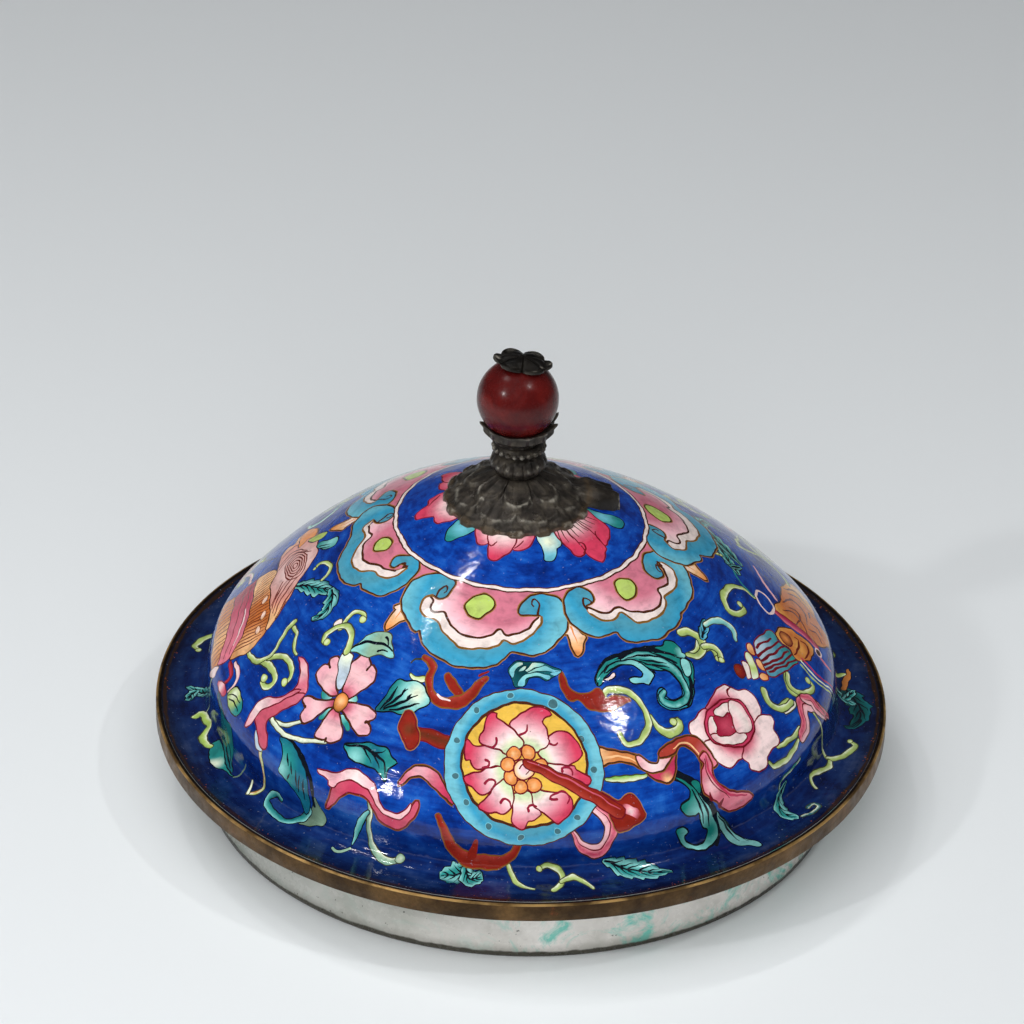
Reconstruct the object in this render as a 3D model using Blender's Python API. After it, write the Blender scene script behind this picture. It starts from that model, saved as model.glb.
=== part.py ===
"""Domed enamel lid with a beaded finial, standing on its fitting flange.

The lid is a thin spun dome with a short upright wall, a narrow hollow brim bound
by a brass band, and a plain white flange below it that fits inside a bowl.  On
its crown stand a lotus plate with a solder run, a fluted stem, a leafy cup, a
red bead and a flower cap.  Sizes are in metres, +Z is up, and the origin is the
centre of the flange's underside.
"""
import math

import bmesh
import bpy
from mathutils import Matrix, Vector

# Clearance between pieces that touch
GAP = 0.0003

# Dome
DOME_RADIUS = 0.0644
ENAMEL_WALL = 0.0013
CROWN_RADIUS = 0.0415
CROWN_ANGLE = math.radians(20.4)
SHOULDER_ANGLE = math.radians(49.5)
SHOULDER_RADIUS = 0.0103
WALL_HEIGHT = 0.0068
DOME_LEAN = -0.0020

# Brim
BRIM_WIDTH = 0.0095
BRIM_DISH = 0.0006
FOOT_FILLET = 0.0030

# Brass band round the brim
BAND_HEIGHT = 0.0039
BAND_THICKNESS = 0.0011
BAND_LEDGE = 0.0010
BAND_ROUNDING = 0.0004

# Flange that fits inside the bowl
FLANGE_DROP = 0.0159
FLANGE_WALL = 0.0014
FLANGE_STEP = 0.0005

# Lotus plate and its solder run
PLATE_RADIUS = 0.0149
PLATE_EDGE = 0.0009
PLATE_RISE = 0.0045
PLATE_PETALS = 8
PETAL_RELIEF = 0.0006
TAB_RELIEF = 0.0003
SOLDER_REACH = 0.0060
SOLDER_ANGLE = math.radians(12.0)
SOLDER_SPREAD = math.radians(19.0)

# Fluted stem
STEM_HEIGHT = 0.0070
BULB_RADIUS = 0.0059
NECK_RADIUS = 0.0043
BEADED_RING_RADIUS = 0.0050
STEM_FOOT_RADIUS = 0.0037
FLUTES = 12
FLUTE_DEPTH = 0.0002

# Leafy cup that holds the bead
CUP_WALL = 0.0008
CUP_DEPTH = 0.0034
CUP_LEAVES = 8
LEAF_CURL = 0.0008

# Bead
BEAD_RADIUS = 0.0082
BEAD_SHIFT = -0.0005

# Flower cap on the bead
CAP_RADIUS = 0.0060
CAP_SQUASH = 0.84
CAP_THICKNESS = 0.0008
CAP_RISE = 0.0008
CAP_DROOP = 0.0009
CAP_PETALS = 6
CAP_NOTCH = 0.26
CAP_TILT = math.radians(5.0)

# Facets round each piece
DOME_FACETS = 60
PLATE_FACETS = 64
STEM_FACETS = 36
CUP_FACETS = 40
BEAD_FACETS = 24
CAP_FACETS = 36

# Heights that follow from the sizes above
BAND_TOP = FLANGE_DROP + BAND_HEIGHT
BRIM_FLOOR = BAND_TOP - BRIM_DISH
SPRING_HEIGHT = BRIM_FLOOR + WALL_HEIGHT
BRIM_EDGE_RADIUS = DOME_RADIUS + BRIM_WIDTH - GAP
FLANK_RADIUS = (
    DOME_RADIUS
    - SHOULDER_RADIUS * (1.0 - math.sin(SHOULDER_ANGLE))
    - CROWN_RADIUS * math.sin(CROWN_ANGLE)
) / (math.sin(SHOULDER_ANGLE) - math.sin(CROWN_ANGLE))
SHOULDER_TOP = SPRING_HEIGHT + SHOULDER_RADIUS * math.cos(SHOULDER_ANGLE)
CROWN_EDGE = SHOULDER_TOP + FLANK_RADIUS * (math.cos(CROWN_ANGLE) - math.cos(SHOULDER_ANGLE))
DOME_TOP = CROWN_EDGE + CROWN_RADIUS * (1.0 - math.cos(CROWN_ANGLE))
FOOT_ROUND = min(FOOT_FILLET, WALL_HEIGHT, BRIM_WIDTH / 2.0)

PLATE_TOP = DOME_TOP + PLATE_RISE
STEM_BOTTOM = PLATE_TOP + GAP
STEM_TOP = STEM_BOTTOM + STEM_HEIGHT
CUP_BOTTOM = STEM_TOP + GAP
BEAD_CENTRE = CUP_BOTTOM + CUP_WALL + GAP + BEAD_RADIUS
CAP_SEAT = BEAD_RADIUS + GAP


def clear_scene():
    """Remove everything that the scene holds."""
    for old in list(bpy.data.objects):
        bpy.data.objects.remove(old, do_unlink=True)


def make_material(name, colour, roughness, metallic):
    """Return a Principled material of one colour."""
    material = bpy.data.materials.new(name)
    material.use_nodes = True
    shader = material.node_tree.nodes["Principled BSDF"]
    shader.inputs["Base Color"].default_value = (*colour, 1.0)
    shader.inputs["Roughness"].default_value = roughness
    shader.inputs["Metallic"].default_value = metallic
    material.diffuse_color = (*colour, 1.0)
    return material


def smooth_step(value):
    """Ease a value from 0 to 1."""
    value = min(max(value, 0.0), 1.0)
    return value * value * (3.0 - 2.0 * value)


def lean_at(height):
    """Return how far the dome has moved sideways at a height."""
    return DOME_LEAN * smooth_step((height - SPRING_HEIGHT) / (CROWN_EDGE - SPRING_HEIGHT))


def arc_points(centre, radius, start, end, steps):
    """Return points on an arc, whose angle is measured from straight up, clockwise."""
    points = []
    for step in range(steps + 1):
        angle = start + (end - start) * step / steps
        points.append((centre[0] + radius * math.sin(angle), centre[1] + radius * math.cos(angle)))
    return points


def brim_height(radius):
    """Return the height of the brim's upper face, which is slightly hollow."""
    start = DOME_RADIUS + FOOT_ROUND
    share = max(radius - start, 0.0) / (BRIM_EDGE_RADIUS - start)
    return BRIM_FLOOR + BRIM_DISH * share * share


def dome_outline(depth, steps):
    """Return the dome's outline, from its top to the brim's edge, at a depth below the surface."""
    crown_steps, flank_steps, shoulder_steps, foot_steps, brim_steps = steps
    crown_centre = (0.0, DOME_TOP - CROWN_RADIUS)
    flank_centre = (
        (CROWN_RADIUS - FLANK_RADIUS) * math.sin(CROWN_ANGLE),
        CROWN_EDGE - FLANK_RADIUS * math.cos(CROWN_ANGLE),
    )
    shoulder_centre = (DOME_RADIUS - SHOULDER_RADIUS, SPRING_HEIGHT)
    foot_centre = (DOME_RADIUS + FOOT_ROUND, BRIM_FLOOR + FOOT_ROUND)
    outline = arc_points(crown_centre, CROWN_RADIUS - depth, 0.0, CROWN_ANGLE, crown_steps)
    outline += arc_points(flank_centre, FLANK_RADIUS - depth, CROWN_ANGLE, SHOULDER_ANGLE, flank_steps)[1:]
    outline += arc_points(
        shoulder_centre, SHOULDER_RADIUS - depth, SHOULDER_ANGLE, math.pi / 2.0, shoulder_steps
    )[1:]
    outline += arc_points(foot_centre, FOOT_ROUND + depth, 1.5 * math.pi, math.pi, foot_steps)
    first = DOME_RADIUS + FOOT_ROUND
    for step in range(1, brim_steps + 1):
        radius = first + (BRIM_EDGE_RADIUS - first) * step / brim_steps
        outline.append((radius, brim_height(radius) - depth))
    return outline


def underside_height(radius):
    """Return the height just clear of the brim's underside at a radius."""
    centre = DOME_RADIUS + FOOT_ROUND
    if radius >= centre:
        return brim_height(radius) - ENAMEL_WALL - GAP
    reach = FOOT_ROUND + ENAMEL_WALL + GAP
    rise = math.sqrt(max(reach * reach - (centre - radius) ** 2, 0.0))
    return BRIM_FLOOR + FOOT_ROUND - rise


def dome_height(radius):
    """Return the height of the dome's outer face at a radius near its crown."""
    edge = CROWN_RADIUS * math.sin(CROWN_ANGLE)
    if radius <= edge:
        return DOME_TOP - CROWN_RADIUS + math.sqrt(CROWN_RADIUS ** 2 - radius ** 2)
    centre = edge - FLANK_RADIUS * math.sin(CROWN_ANGLE)
    base = CROWN_EDGE - FLANK_RADIUS * math.cos(CROWN_ANGLE)
    return base + math.sqrt(FLANK_RADIUS ** 2 - (radius - centre) ** 2)


def spin_solid(name, outline, facets, material, shape=None, sharp_angle=40.0):
    """Spin a closed outline of (radius, height) points into one solid and shape its points."""
    bm = bmesh.new()
    points = [bm.verts.new((radius, 0.0, height)) for radius, height in outline]
    edges = [bm.edges.new(pair) for pair in zip(points, points[1:])]
    if outline[0][0] > 0.0:
        edges.append(bm.edges.new((points[-1], points[0])))
    bmesh.ops.spin(
        bm,
        geom=points + edges,
        cent=(0.0, 0.0, 0.0),
        axis=(0.0, 0.0, 1.0),
        angle=math.tau,
        steps=facets,
    )
    bmesh.ops.remove_doubles(bm, verts=bm.verts, dist=1e-6)
    if shape is not None:
        for vertex in bm.verts:
            vertex.co = shape(vertex.co)
    bmesh.ops.recalc_face_normals(bm, faces=bm.faces)
    mesh = bpy.data.meshes.new(name)
    bm.to_mesh(mesh)
    bm.free()
    mesh.shade_smooth()
    mesh.set_sharp_from_angle(angle=math.radians(sharp_angle))
    mesh.materials.append(material)
    solid = bpy.data.objects.new(name, mesh)
    bpy.context.collection.objects.link(solid)
    return solid


def polar(point):
    """Return a point's distance from the axis and its angle round it."""
    return math.hypot(point.x, point.y), math.atan2(point.y, point.x)


def make_dome(material):
    """Make the thin enamelled dome with its upright wall and hollow brim."""
    outside = dome_outline(0.0, (3, 6, 5, 3, 2))
    inside = dome_outline(ENAMEL_WALL, (3, 4, 3, 2, 1))
    outline = outside + inside[::-1]

    def leaned(point):
        return Vector((point.x + lean_at(point.z), point.y, point.z))

    return spin_solid("enamel_dome", outline, DOME_FACETS, material, leaned)


def make_band(material):
    """Make the brass band, with the ledge that the brim rests on."""
    inner = DOME_RADIUS + BRIM_WIDTH
    outer = inner + BAND_THICKNESS
    ledge = inner - BAND_LEDGE
    ledge_top = underside_height(ledge)
    rounding = min(BAND_ROUNDING, BAND_THICKNESS / 2.0)
    corner = (outer - rounding, BAND_TOP - rounding)
    outline = [(ledge, FLANGE_DROP), (outer, FLANGE_DROP)]
    outline += arc_points(corner, rounding, math.pi / 2.0, 0.0, 3)
    outline += [(inner, BAND_TOP), (inner, ledge_top), (ledge, ledge_top)]
    return spin_solid("brass_rim_band", outline, DOME_FACETS, material)


def make_flange(material):
    """Make the flange, whose top follows the underside of the brim's foot."""
    outer = DOME_RADIUS + FLANGE_STEP
    inner = outer - FLANGE_WALL
    outline = [(inner, 0.0), (outer, 0.0)]
    for share in (1.0, 0.5, 0.0):
        radius = inner + FLANGE_WALL * share
        outline.append((radius, underside_height(radius)))
    return spin_solid("fitting_flange", outline, DOME_FACETS, material)


def solder_share(angle):
    """Return how far the solder run reaches at an angle, from 0 to 1."""
    turn = math.remainder(angle - SOLDER_ANGLE, math.tau) / SOLDER_SPREAD
    return math.sqrt(max(1.0 - turn * turn, 0.0))


def petal_tier(share, wave, tip, crease):
    """Return the height of one tier of petals, from 0 to 1, with rounded tips."""
    edge = tip * (crease + (1.0 - crease) * math.sqrt(max(1.0 - (1.0 - wave) ** 2, 0.0)))
    return smooth_step((edge - share) / 0.09)


def plate_relief(share, angle):
    """Return how far the plate's petals stand up, at a share of its radius."""
    wave = abs(math.cos(PLATE_PETALS / 2.0 * angle))
    between = abs(math.sin(PLATE_PETALS / 2.0 * angle))
    inner = petal_tier(share, wave, 0.74, 0.45)
    outer = petal_tier(share, between, 0.99, 0.84)
    return PETAL_RELIEF * (inner + outer)


def make_plate(material):
    """Make the lotus plate, which lies on the crown and carries the solder run."""
    under, over = 0.0, 1.0
    outline = [(0.0, under), (0.30, under), (0.55, under), (0.78, under), (1.0, under), (1.0, over)]
    outline += [(share, over) for share in (0.95, 0.87, 0.79, 0.71, 0.63, 0.54, 0.44, 0.34, 0.0)]
    seat_share = STEM_FOOT_RADIUS / PLATE_RADIUS

    def laid(point):
        share, angle = polar(point)
        tabs = 1.0 + TAB_RELIEF / PLATE_RADIUS * math.cos(2.0 * PLATE_PETALS * angle)
        run = SOLDER_REACH * solder_share(angle) * smooth_step((share - 0.70) / 0.30)
        radius = share * PLATE_RADIUS * tabs + run
        height = dome_height(radius) + GAP
        if point.z > 0.5:
            slope = min(max((1.0 - share) / (1.0 - seat_share), 0.0), 1.0)
            rim_top = dome_height(PLATE_RADIUS) + GAP + PLATE_EDGE
            cushion = rim_top + (PLATE_TOP - rim_top) * slope ** 0.80
            cushion += plate_relief(share, angle)
            height = min(max(cushion, height + PLATE_EDGE), PLATE_TOP)
            if share > 0.99:
                height = dome_height(radius) + GAP + PLATE_EDGE
        return Vector((DOME_LEAN + radius * math.cos(angle), radius * math.sin(angle), height))

    return spin_solid("finial_base_plate", outline, PLATE_FACETS, material, laid, 30.0)


def make_stem(material):
    """Make the fluted bulb with the beaded ring above it."""
    outline = [
        (0.0, 0.0),
        (STEM_FOOT_RADIUS, 0.0),
        (STEM_FOOT_RADIUS + 0.7 * (BULB_RADIUS - STEM_FOOT_RADIUS), 0.13 * STEM_HEIGHT),
        (BULB_RADIUS, 0.34 * STEM_HEIGHT),
        (NECK_RADIUS + 0.9 * (BULB_RADIUS - NECK_RADIUS), 0.50 * STEM_HEIGHT),
        (NECK_RADIUS + 0.5 * (BULB_RADIUS - NECK_RADIUS), 0.65 * STEM_HEIGHT),
        (NECK_RADIUS, 0.74 * STEM_HEIGHT),
        (BEADED_RING_RADIUS, 0.81 * STEM_HEIGHT),
        (BEADED_RING_RADIUS, 0.92 * STEM_HEIGHT),
        (NECK_RADIUS, STEM_HEIGHT),
        (0.0, STEM_HEIGHT),
    ]

    def fluted(point):
        radius, angle = polar(point)
        bulge = smooth_step((radius - NECK_RADIUS) / (BULB_RADIUS - NECK_RADIUS))
        radius += FLUTE_DEPTH * bulge * math.cos(FLUTES * angle)
        return Vector(
            (DOME_LEAN + radius * math.cos(angle), radius * math.sin(angle), STEM_BOTTOM + point.z)
        )

    return spin_solid("finial_stem", outline, STEM_FACETS, material, fluted)


def make_cup(material):
    """Make the leafy cup, whose inside follows the bead."""
    seat = BEAD_RADIUS + GAP
    rim_drop = BEAD_RADIUS + GAP + CUP_WALL - CUP_DEPTH
    rim_angle = math.acos(min(max(rim_drop / seat, 0.0), 1.0))
    rim_height = BEAD_CENTRE - seat * math.cos(rim_angle)
    outline = [
        (0.0, CUP_BOTTOM),
        (NECK_RADIUS, CUP_BOTTOM),
        (BEADED_RING_RADIUS + 0.0005, CUP_BOTTOM + 0.30 * CUP_DEPTH),
        (seat * math.sin(rim_angle) + CUP_WALL, rim_height),
    ]
    for step in range(5):
        angle = rim_angle * (1.0 - step / 4.0)
        outline.append((seat * math.sin(angle), BEAD_CENTRE - seat * math.cos(angle)))
    outer_rim = seat * math.sin(rim_angle) + CUP_WALL / 2.0

    def leafed(point):
        radius, angle = polar(point)
        tip = max(math.cos(CUP_LEAVES * angle + math.pi), 0.0)
        at_rim = smooth_step((point.z - rim_height) / 0.0002 + 1.0)
        if radius > outer_rim:
            radius += LEAF_CURL * tip * at_rim
            height = point.z - 0.3 * LEAF_CURL * tip * at_rim
        else:
            height = point.z
        centre = DOME_LEAN + BEAD_SHIFT
        return Vector((centre + radius * math.cos(angle), radius * math.sin(angle), height))

    return spin_solid("finial_leaf_cup", outline, CUP_FACETS, material, leafed)


def make_bead(material):
    """Make the red bead."""
    steps = BEAD_FACETS // 2
    outline = arc_points((0.0, BEAD_CENTRE), BEAD_RADIUS, 0.0, math.pi, steps)
    outline[0] = (0.0, BEAD_CENTRE + BEAD_RADIUS)
    outline[-1] = (0.0, BEAD_CENTRE - BEAD_RADIUS)

    def placed(point):
        return Vector((point.x + DOME_LEAN + BEAD_SHIFT, point.y, point.z))

    return spin_solid("finial_red_bead", outline, BEAD_FACETS, material, placed)


def make_cap(material):
    """Make the flower cap, whose underside follows the bead as far as its petals droop."""
    under, over = 0.0, 1.0
    outline = [(0.0, under), (0.30, under), (0.60, under), (1.0, under), (1.0, over)]
    outline += [(share, over) for share in (0.85, 0.65, 0.45, 0.25, 0.0)]
    tilt = Matrix.Rotation(CAP_TILT, 3, "Y")
    centre = Vector((DOME_LEAN + BEAD_SHIFT, 0.0, BEAD_CENTRE))

    def petalled(point):
        share, angle = polar(point)
        wave = abs(math.cos(CAP_PETALS / 2.0 * angle))
        reach = 1.0 - CAP_NOTCH * smooth_step(share) * (1.0 - math.sqrt(wave))
        radius = share * CAP_RADIUS * reach
        reach_x = radius * math.cos(angle)
        reach_y = radius * math.sin(angle) * CAP_SQUASH
        span = math.hypot(reach_x, reach_y)
        seat = math.sqrt(max(CAP_SEAT * CAP_SEAT - span * span, 0.0))
        droop = CAP_SEAT - CAP_DROOP * (span / CAP_RADIUS) ** 2
        height = max(seat, droop)
        if point.z > 0.5:
            boss = CAP_RISE * (1.0 - smooth_step(share / 0.45))
            height += CAP_THICKNESS + boss
        return centre + tilt @ Vector((reach_x, reach_y, height))

    return spin_solid("finial_flower_cap", outline, CAP_FACETS, material, petalled)


def main():
    """Make each piece with its own material."""
    clear_scene()
    blue_enamel = make_material("cobalt_enamel", (0.010, 0.035, 0.190), 0.15, 0.0)
    white_enamel = make_material("white_enamel", (0.520, 0.530, 0.510), 0.22, 0.0)
    brass = make_material("worn_brass", (0.230, 0.150, 0.070), 0.38, 1.0)
    dark_metal = make_material("patinated_metal", (0.045, 0.036, 0.028), 0.50, 0.85)
    bead_red = make_material("oxblood_bead", (0.120, 0.008, 0.008), 0.22, 0.0)
    make_dome(blue_enamel)
    make_band(brass)
    make_flange(white_enamel)
    make_plate(dark_metal)
    make_stem(dark_metal)
    make_cup(dark_metal)
    make_bead(bead_red)
    make_cap(dark_metal)


main()
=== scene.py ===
import math
import random

import bpy
import numpy as np
from mathutils import Matrix, Vector
from mathutils.geometry import delaunay_2d_cdt

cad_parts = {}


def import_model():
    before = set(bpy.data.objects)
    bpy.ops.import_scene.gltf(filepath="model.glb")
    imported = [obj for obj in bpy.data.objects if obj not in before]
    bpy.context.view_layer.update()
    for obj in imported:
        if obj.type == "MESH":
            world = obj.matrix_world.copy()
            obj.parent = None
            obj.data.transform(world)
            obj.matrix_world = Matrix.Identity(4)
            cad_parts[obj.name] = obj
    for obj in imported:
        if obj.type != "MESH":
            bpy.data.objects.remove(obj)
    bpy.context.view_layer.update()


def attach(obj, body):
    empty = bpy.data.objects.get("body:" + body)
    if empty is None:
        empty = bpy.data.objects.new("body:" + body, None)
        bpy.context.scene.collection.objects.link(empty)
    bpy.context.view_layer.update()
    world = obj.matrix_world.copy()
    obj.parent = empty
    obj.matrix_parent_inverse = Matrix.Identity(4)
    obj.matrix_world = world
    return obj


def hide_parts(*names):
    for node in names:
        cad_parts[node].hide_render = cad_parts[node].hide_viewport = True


# Millimetres to metres, and the small clearance that the solids keep
MM = 0.001
GAP = 0.3

# Dome and brim, in millimetres, as the solids have them
DOME_RADIUS = 64.4
ENAMEL_WALL = 1.3
CROWN_RADIUS = 41.5
CROWN_ANGLE = math.radians(20.4)
SHOULDER_ANGLE = math.radians(49.5)
SHOULDER_RADIUS = 10.3
WALL_HEIGHT = 6.8
DOME_LEAN = -2.0
BRIM_WIDTH = 9.5
BRIM_DISH = 0.6
FOOT_ROUND = 3.0

# Brass band and flange
BAND_HEIGHT = 3.9
BAND_THICKNESS = 1.1
BAND_LEDGE = 1.0
BAND_ROUNDING = 0.4
FLANGE_DROP = 15.9
FLANGE_WALL = 1.4
FLANGE_STEP = 0.5

# Finial
PLATE_RADIUS = 14.7
PLATE_SHIFT = 0.6
PLATE_EDGE = 0.9
PLATE_RISE = 4.5
PLATE_PETALS = 8
SOLDER_REACH = 6.0
SOLDER_ANGLE = math.radians(8.5)
SOLDER_SPREAD = math.radians(16.0)
STEM_HEIGHT = 7.0
BULB_RADIUS = 5.9
NECK_RADIUS = 4.3
STEM_FOOT_RADIUS = 3.7
STEM_FLUTES = 16
BULB_SHARE = 0.72
BEADED_RING_RADIUS = 5.0
RING_BEADS = 22
RING_BEAD_RADIUS = 0.58
CUP_WALL = 0.8
CUP_DEPTH = 3.4
CUP_LEAVES = 12
BEAD_RADIUS = 8.2
BEAD_SHIFT = -0.5
CAP_RADIUS = 6.0
CAP_SQUASH = 0.70
CAP_RISE = 1.6
CAP_DROOP = 1.2
CAP_PETALS = 6
CAP_TILT = math.radians(7.5)
CAP_SHIFT = -0.35

# Heights and radii that follow
BAND_TOP = FLANGE_DROP + BAND_HEIGHT
BRIM_FLOOR = BAND_TOP - BRIM_DISH
SPRING_HEIGHT = BRIM_FLOOR + WALL_HEIGHT
BRIM_EDGE_RADIUS = DOME_RADIUS + BRIM_WIDTH - 0.05
FLANK_RADIUS = (
    DOME_RADIUS
    - SHOULDER_RADIUS * (1.0 - math.sin(SHOULDER_ANGLE))
    - CROWN_RADIUS * math.sin(CROWN_ANGLE)
) / (math.sin(SHOULDER_ANGLE) - math.sin(CROWN_ANGLE))
SHOULDER_TOP = SPRING_HEIGHT + SHOULDER_RADIUS * math.cos(SHOULDER_ANGLE)
CROWN_EDGE = SHOULDER_TOP + FLANK_RADIUS * (math.cos(CROWN_ANGLE) - math.cos(SHOULDER_ANGLE))
DOME_TOP = CROWN_EDGE + CROWN_RADIUS * (1.0 - math.cos(CROWN_ANGLE))
PLATE_TOP = DOME_TOP + PLATE_RISE
STEM_BOTTOM = PLATE_TOP
CUP_BOTTOM = PLATE_TOP + GAP + STEM_HEIGHT
BEAD_CENTRE = CUP_BOTTOM + GAP + CUP_WALL + GAP + BEAD_RADIUS
FINIAL_AXIS = Vector((DOME_LEAN, 0.0, 0.0))
BEAD_AXIS = Vector((DOME_LEAN + BEAD_SHIFT, 0.0, 0.0))

# Lengths along the enamel from the crown to the end of each stretch of the outline
CROWN_END = CROWN_RADIUS * CROWN_ANGLE
FLANK_END = CROWN_END + FLANK_RADIUS * (SHOULDER_ANGLE - CROWN_ANGLE)
SHOULDER_END = FLANK_END + SHOULDER_RADIUS * (math.pi / 2.0 - SHOULDER_ANGLE)
WALL_END = SHOULDER_END + WALL_HEIGHT - FOOT_ROUND
FOOT_END = WALL_END + FOOT_ROUND * math.pi / 2.0
BRIM_END = FOOT_END + BRIM_EDGE_RADIUS - DOME_RADIUS - FOOT_ROUND

# Painting, in mm: the spacing of points on outlines and between them, and the widths of drawn lines
EDGE_STEP = 0.55
GROUND_STEP = 1.9
SHADE_STEP = 0.75
LINE = 0.22
BOLD = 1.3
FRINGE = 0.2
RING_STEPS = 360
MERGE_REACH = 0.004

# How bright the ground's red, green and blue are at lengths from the crown: darker and browner from the
# shoulder to the brim
GROUND_ARCS = (0.0, 74.0, 82.0, 86.0, 93.0, BRIM_END)
GROUND_SHADES = (
    (1.0, 0.95, 0.80, 0.90, 1.60, 1.20),
    (1.0, 0.95, 0.56, 0.38, 0.32, 0.10),
    (1.0, 0.95, 0.56, 0.36, 0.19, 0.04),
)

# Places of the picture's parts: degrees round from the right, and mm from the crown along the enamel
WHEEL = (-88.9, 64.0)
RED_RIBBONS = (-89.4, 64.0)
SCROLL_LEAF = (-55.9, 50.4)
WHEEL_KNOB = (-57.0, 73.6)
PEONY = (-42.5, 65.5)
BLOSSOM = (-131.4, 60.0)
LEFT_SPRAY = (-137.9, 74.1)
WAVE_RIBBON = (-118.3, 75.2)
CONCH_SCROLL = (-153.5, 62.4)
LEFT_EDGE = (-160.2, 86.0)

# The white ring round the crown, in mm on the unrolled enamel
RING_CENTRE = (0.9, -0.4)
RING_OUTSIDE = 26.9
RING_INSIDE = 26.0


def tint(red, green, blue):
    """Return a linear colour for one named in eight-bit screen values."""
    values = []
    for value in (red, green, blue):
        share = value / 255.0
        values.append(share / 12.92 if share <= 0.04045 else ((share + 0.055) / 1.055) ** 2.4)
    return np.array(values)


# Colours of the enamels
TURQUOISE = tint(52, 152, 190)
PALE_TURQUOISE = tint(112, 188, 206)
COLLAR_PINK = tint(206, 118, 138)
CREAM = tint(238, 222, 216)
OVAL_GREEN = tint(182, 206, 104)
PEACH = tint(246, 192, 138)
ROSE = tint(196, 58, 92)
CORAL = tint(208, 62, 92)
CRIMSON = tint(160, 34, 62)
BLUSH = tint(244, 190, 200)
PINK = tint(232, 130, 148)
WHITE_PINK = tint(250, 224, 222)
TEAL = tint(40, 140, 136)
DEEP_TEAL = tint(22, 96, 104)
PALE_TEAL = tint(138, 208, 204)
SCROLL_GREEN = tint(182, 202, 112)
PALE_GREEN = tint(214, 230, 188)
IRON_RED = tint(140, 36, 24)
YELLOW = tint(226, 182, 74)
ORANGE = tint(232, 146, 76)
MAGENTA = tint(186, 56, 98)
LINE_BROWN = tint(74, 38, 24)
RUST_LINE = tint(128, 82, 34)
LINE_BLACK = tint(14, 20, 30)
LINE_RED = tint(112, 22, 34)
DOT_GREY = tint(70, 110, 118)
BURNT = tint(40, 26, 20)
EMBER = tint(124, 62, 36)
RING_BLUE = tint(80, 152, 174)
PALE_PINK = tint(240, 190, 194)
PETAL_PINK = tint(232, 170, 180)
PINK_RIBBON = tint(214, 112, 132)
ROSE_RIBBON = tint(200, 88, 108)
ROSE_BROWN = tint(170, 62, 50)
HEART_ROSE = tint(196, 72, 96)
WHITE_GREEN = tint(232, 240, 214)
SKY_GREY = tint(190, 206, 220)
SAGE = tint(142, 176, 150)
LEAF_GREEN = tint(24, 120, 110)
LEAF_BLUE = tint(22, 104, 128)
STEM_GREEN = tint(110, 176, 84)
SQUIGGLE = tint(178, 206, 96)
TAN_BROWN = tint(206, 130, 74)
OCHRE = tint(206, 118, 58)
GOLD = tint(232, 166, 84)
WHEEL_GREEN = tint(206, 224, 178)
SHELL_GREY = tint(222, 176, 170)
SHELL_PINK = tint(222, 150, 136)
SHELL_LINE = tint(112, 34, 24)
GOLD_LINE = tint(158, 112, 54)
LINE_OLIVE = tint(60, 62, 34)


# The dome's outline
def lean_at(height):
    """Return how far the dome has moved sideways at a height."""
    share = np.clip((height - SPRING_HEIGHT) / (CROWN_EDGE - SPRING_HEIGHT), 0.0, 1.0)
    return DOME_LEAN * share * share * (3.0 - 2.0 * share)


def outline_at(arc, depth=0.0):
    """Return the radius and height of the enamel at lengths from the crown, at a depth below its face."""
    arc = np.asarray(arc, float)
    crown = arc / CROWN_RADIUS
    flank = CROWN_ANGLE + (arc - CROWN_END) / FLANK_RADIUS
    shoulder = SHOULDER_ANGLE + (arc - FLANK_END) / SHOULDER_RADIUS
    foot = (arc - WALL_END) / FOOT_ROUND
    brim = DOME_RADIUS + FOOT_ROUND + (arc - FOOT_END)
    dish = np.clip((brim - DOME_RADIUS - FOOT_ROUND) / (BRIM_WIDTH - FOOT_ROUND), 0.0, 1.0)
    flank_x = (CROWN_RADIUS - FLANK_RADIUS) * math.sin(CROWN_ANGLE)
    flank_z = CROWN_EDGE - FLANK_RADIUS * math.cos(CROWN_ANGLE)
    stretches = [arc <= CROWN_END, arc <= FLANK_END, arc <= SHOULDER_END, arc <= WALL_END, arc <= FOOT_END]
    radius = np.select(
        stretches,
        [
            (CROWN_RADIUS - depth) * np.sin(crown),
            flank_x + (FLANK_RADIUS - depth) * np.sin(flank),
            DOME_RADIUS - SHOULDER_RADIUS + (SHOULDER_RADIUS - depth) * np.sin(shoulder),
            DOME_RADIUS - depth + 0.0 * arc,
            DOME_RADIUS + FOOT_ROUND - (FOOT_ROUND + depth) * np.cos(foot),
        ],
        brim,
    )
    height = np.select(
        stretches,
        [
            DOME_TOP - CROWN_RADIUS + (CROWN_RADIUS - depth) * np.cos(crown),
            flank_z + (FLANK_RADIUS - depth) * np.cos(flank),
            SPRING_HEIGHT + (SHOULDER_RADIUS - depth) * np.cos(shoulder),
            SPRING_HEIGHT - (arc - SHOULDER_END),
            BRIM_FLOOR + FOOT_ROUND - (FOOT_ROUND + depth) * np.sin(foot),
        ],
        BRIM_FLOOR + BRIM_DISH * dish * dish - depth,
    )
    return radius, height


def on_enamel(angle, arc, depth=0.0):
    """Return points in space, in millimetres, for angles round the axis and lengths from the crown."""
    radius, height = outline_at(arc, depth)
    return np.stack([radius * np.cos(angle) + lean_at(height), radius * np.sin(angle), height], -1)


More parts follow.
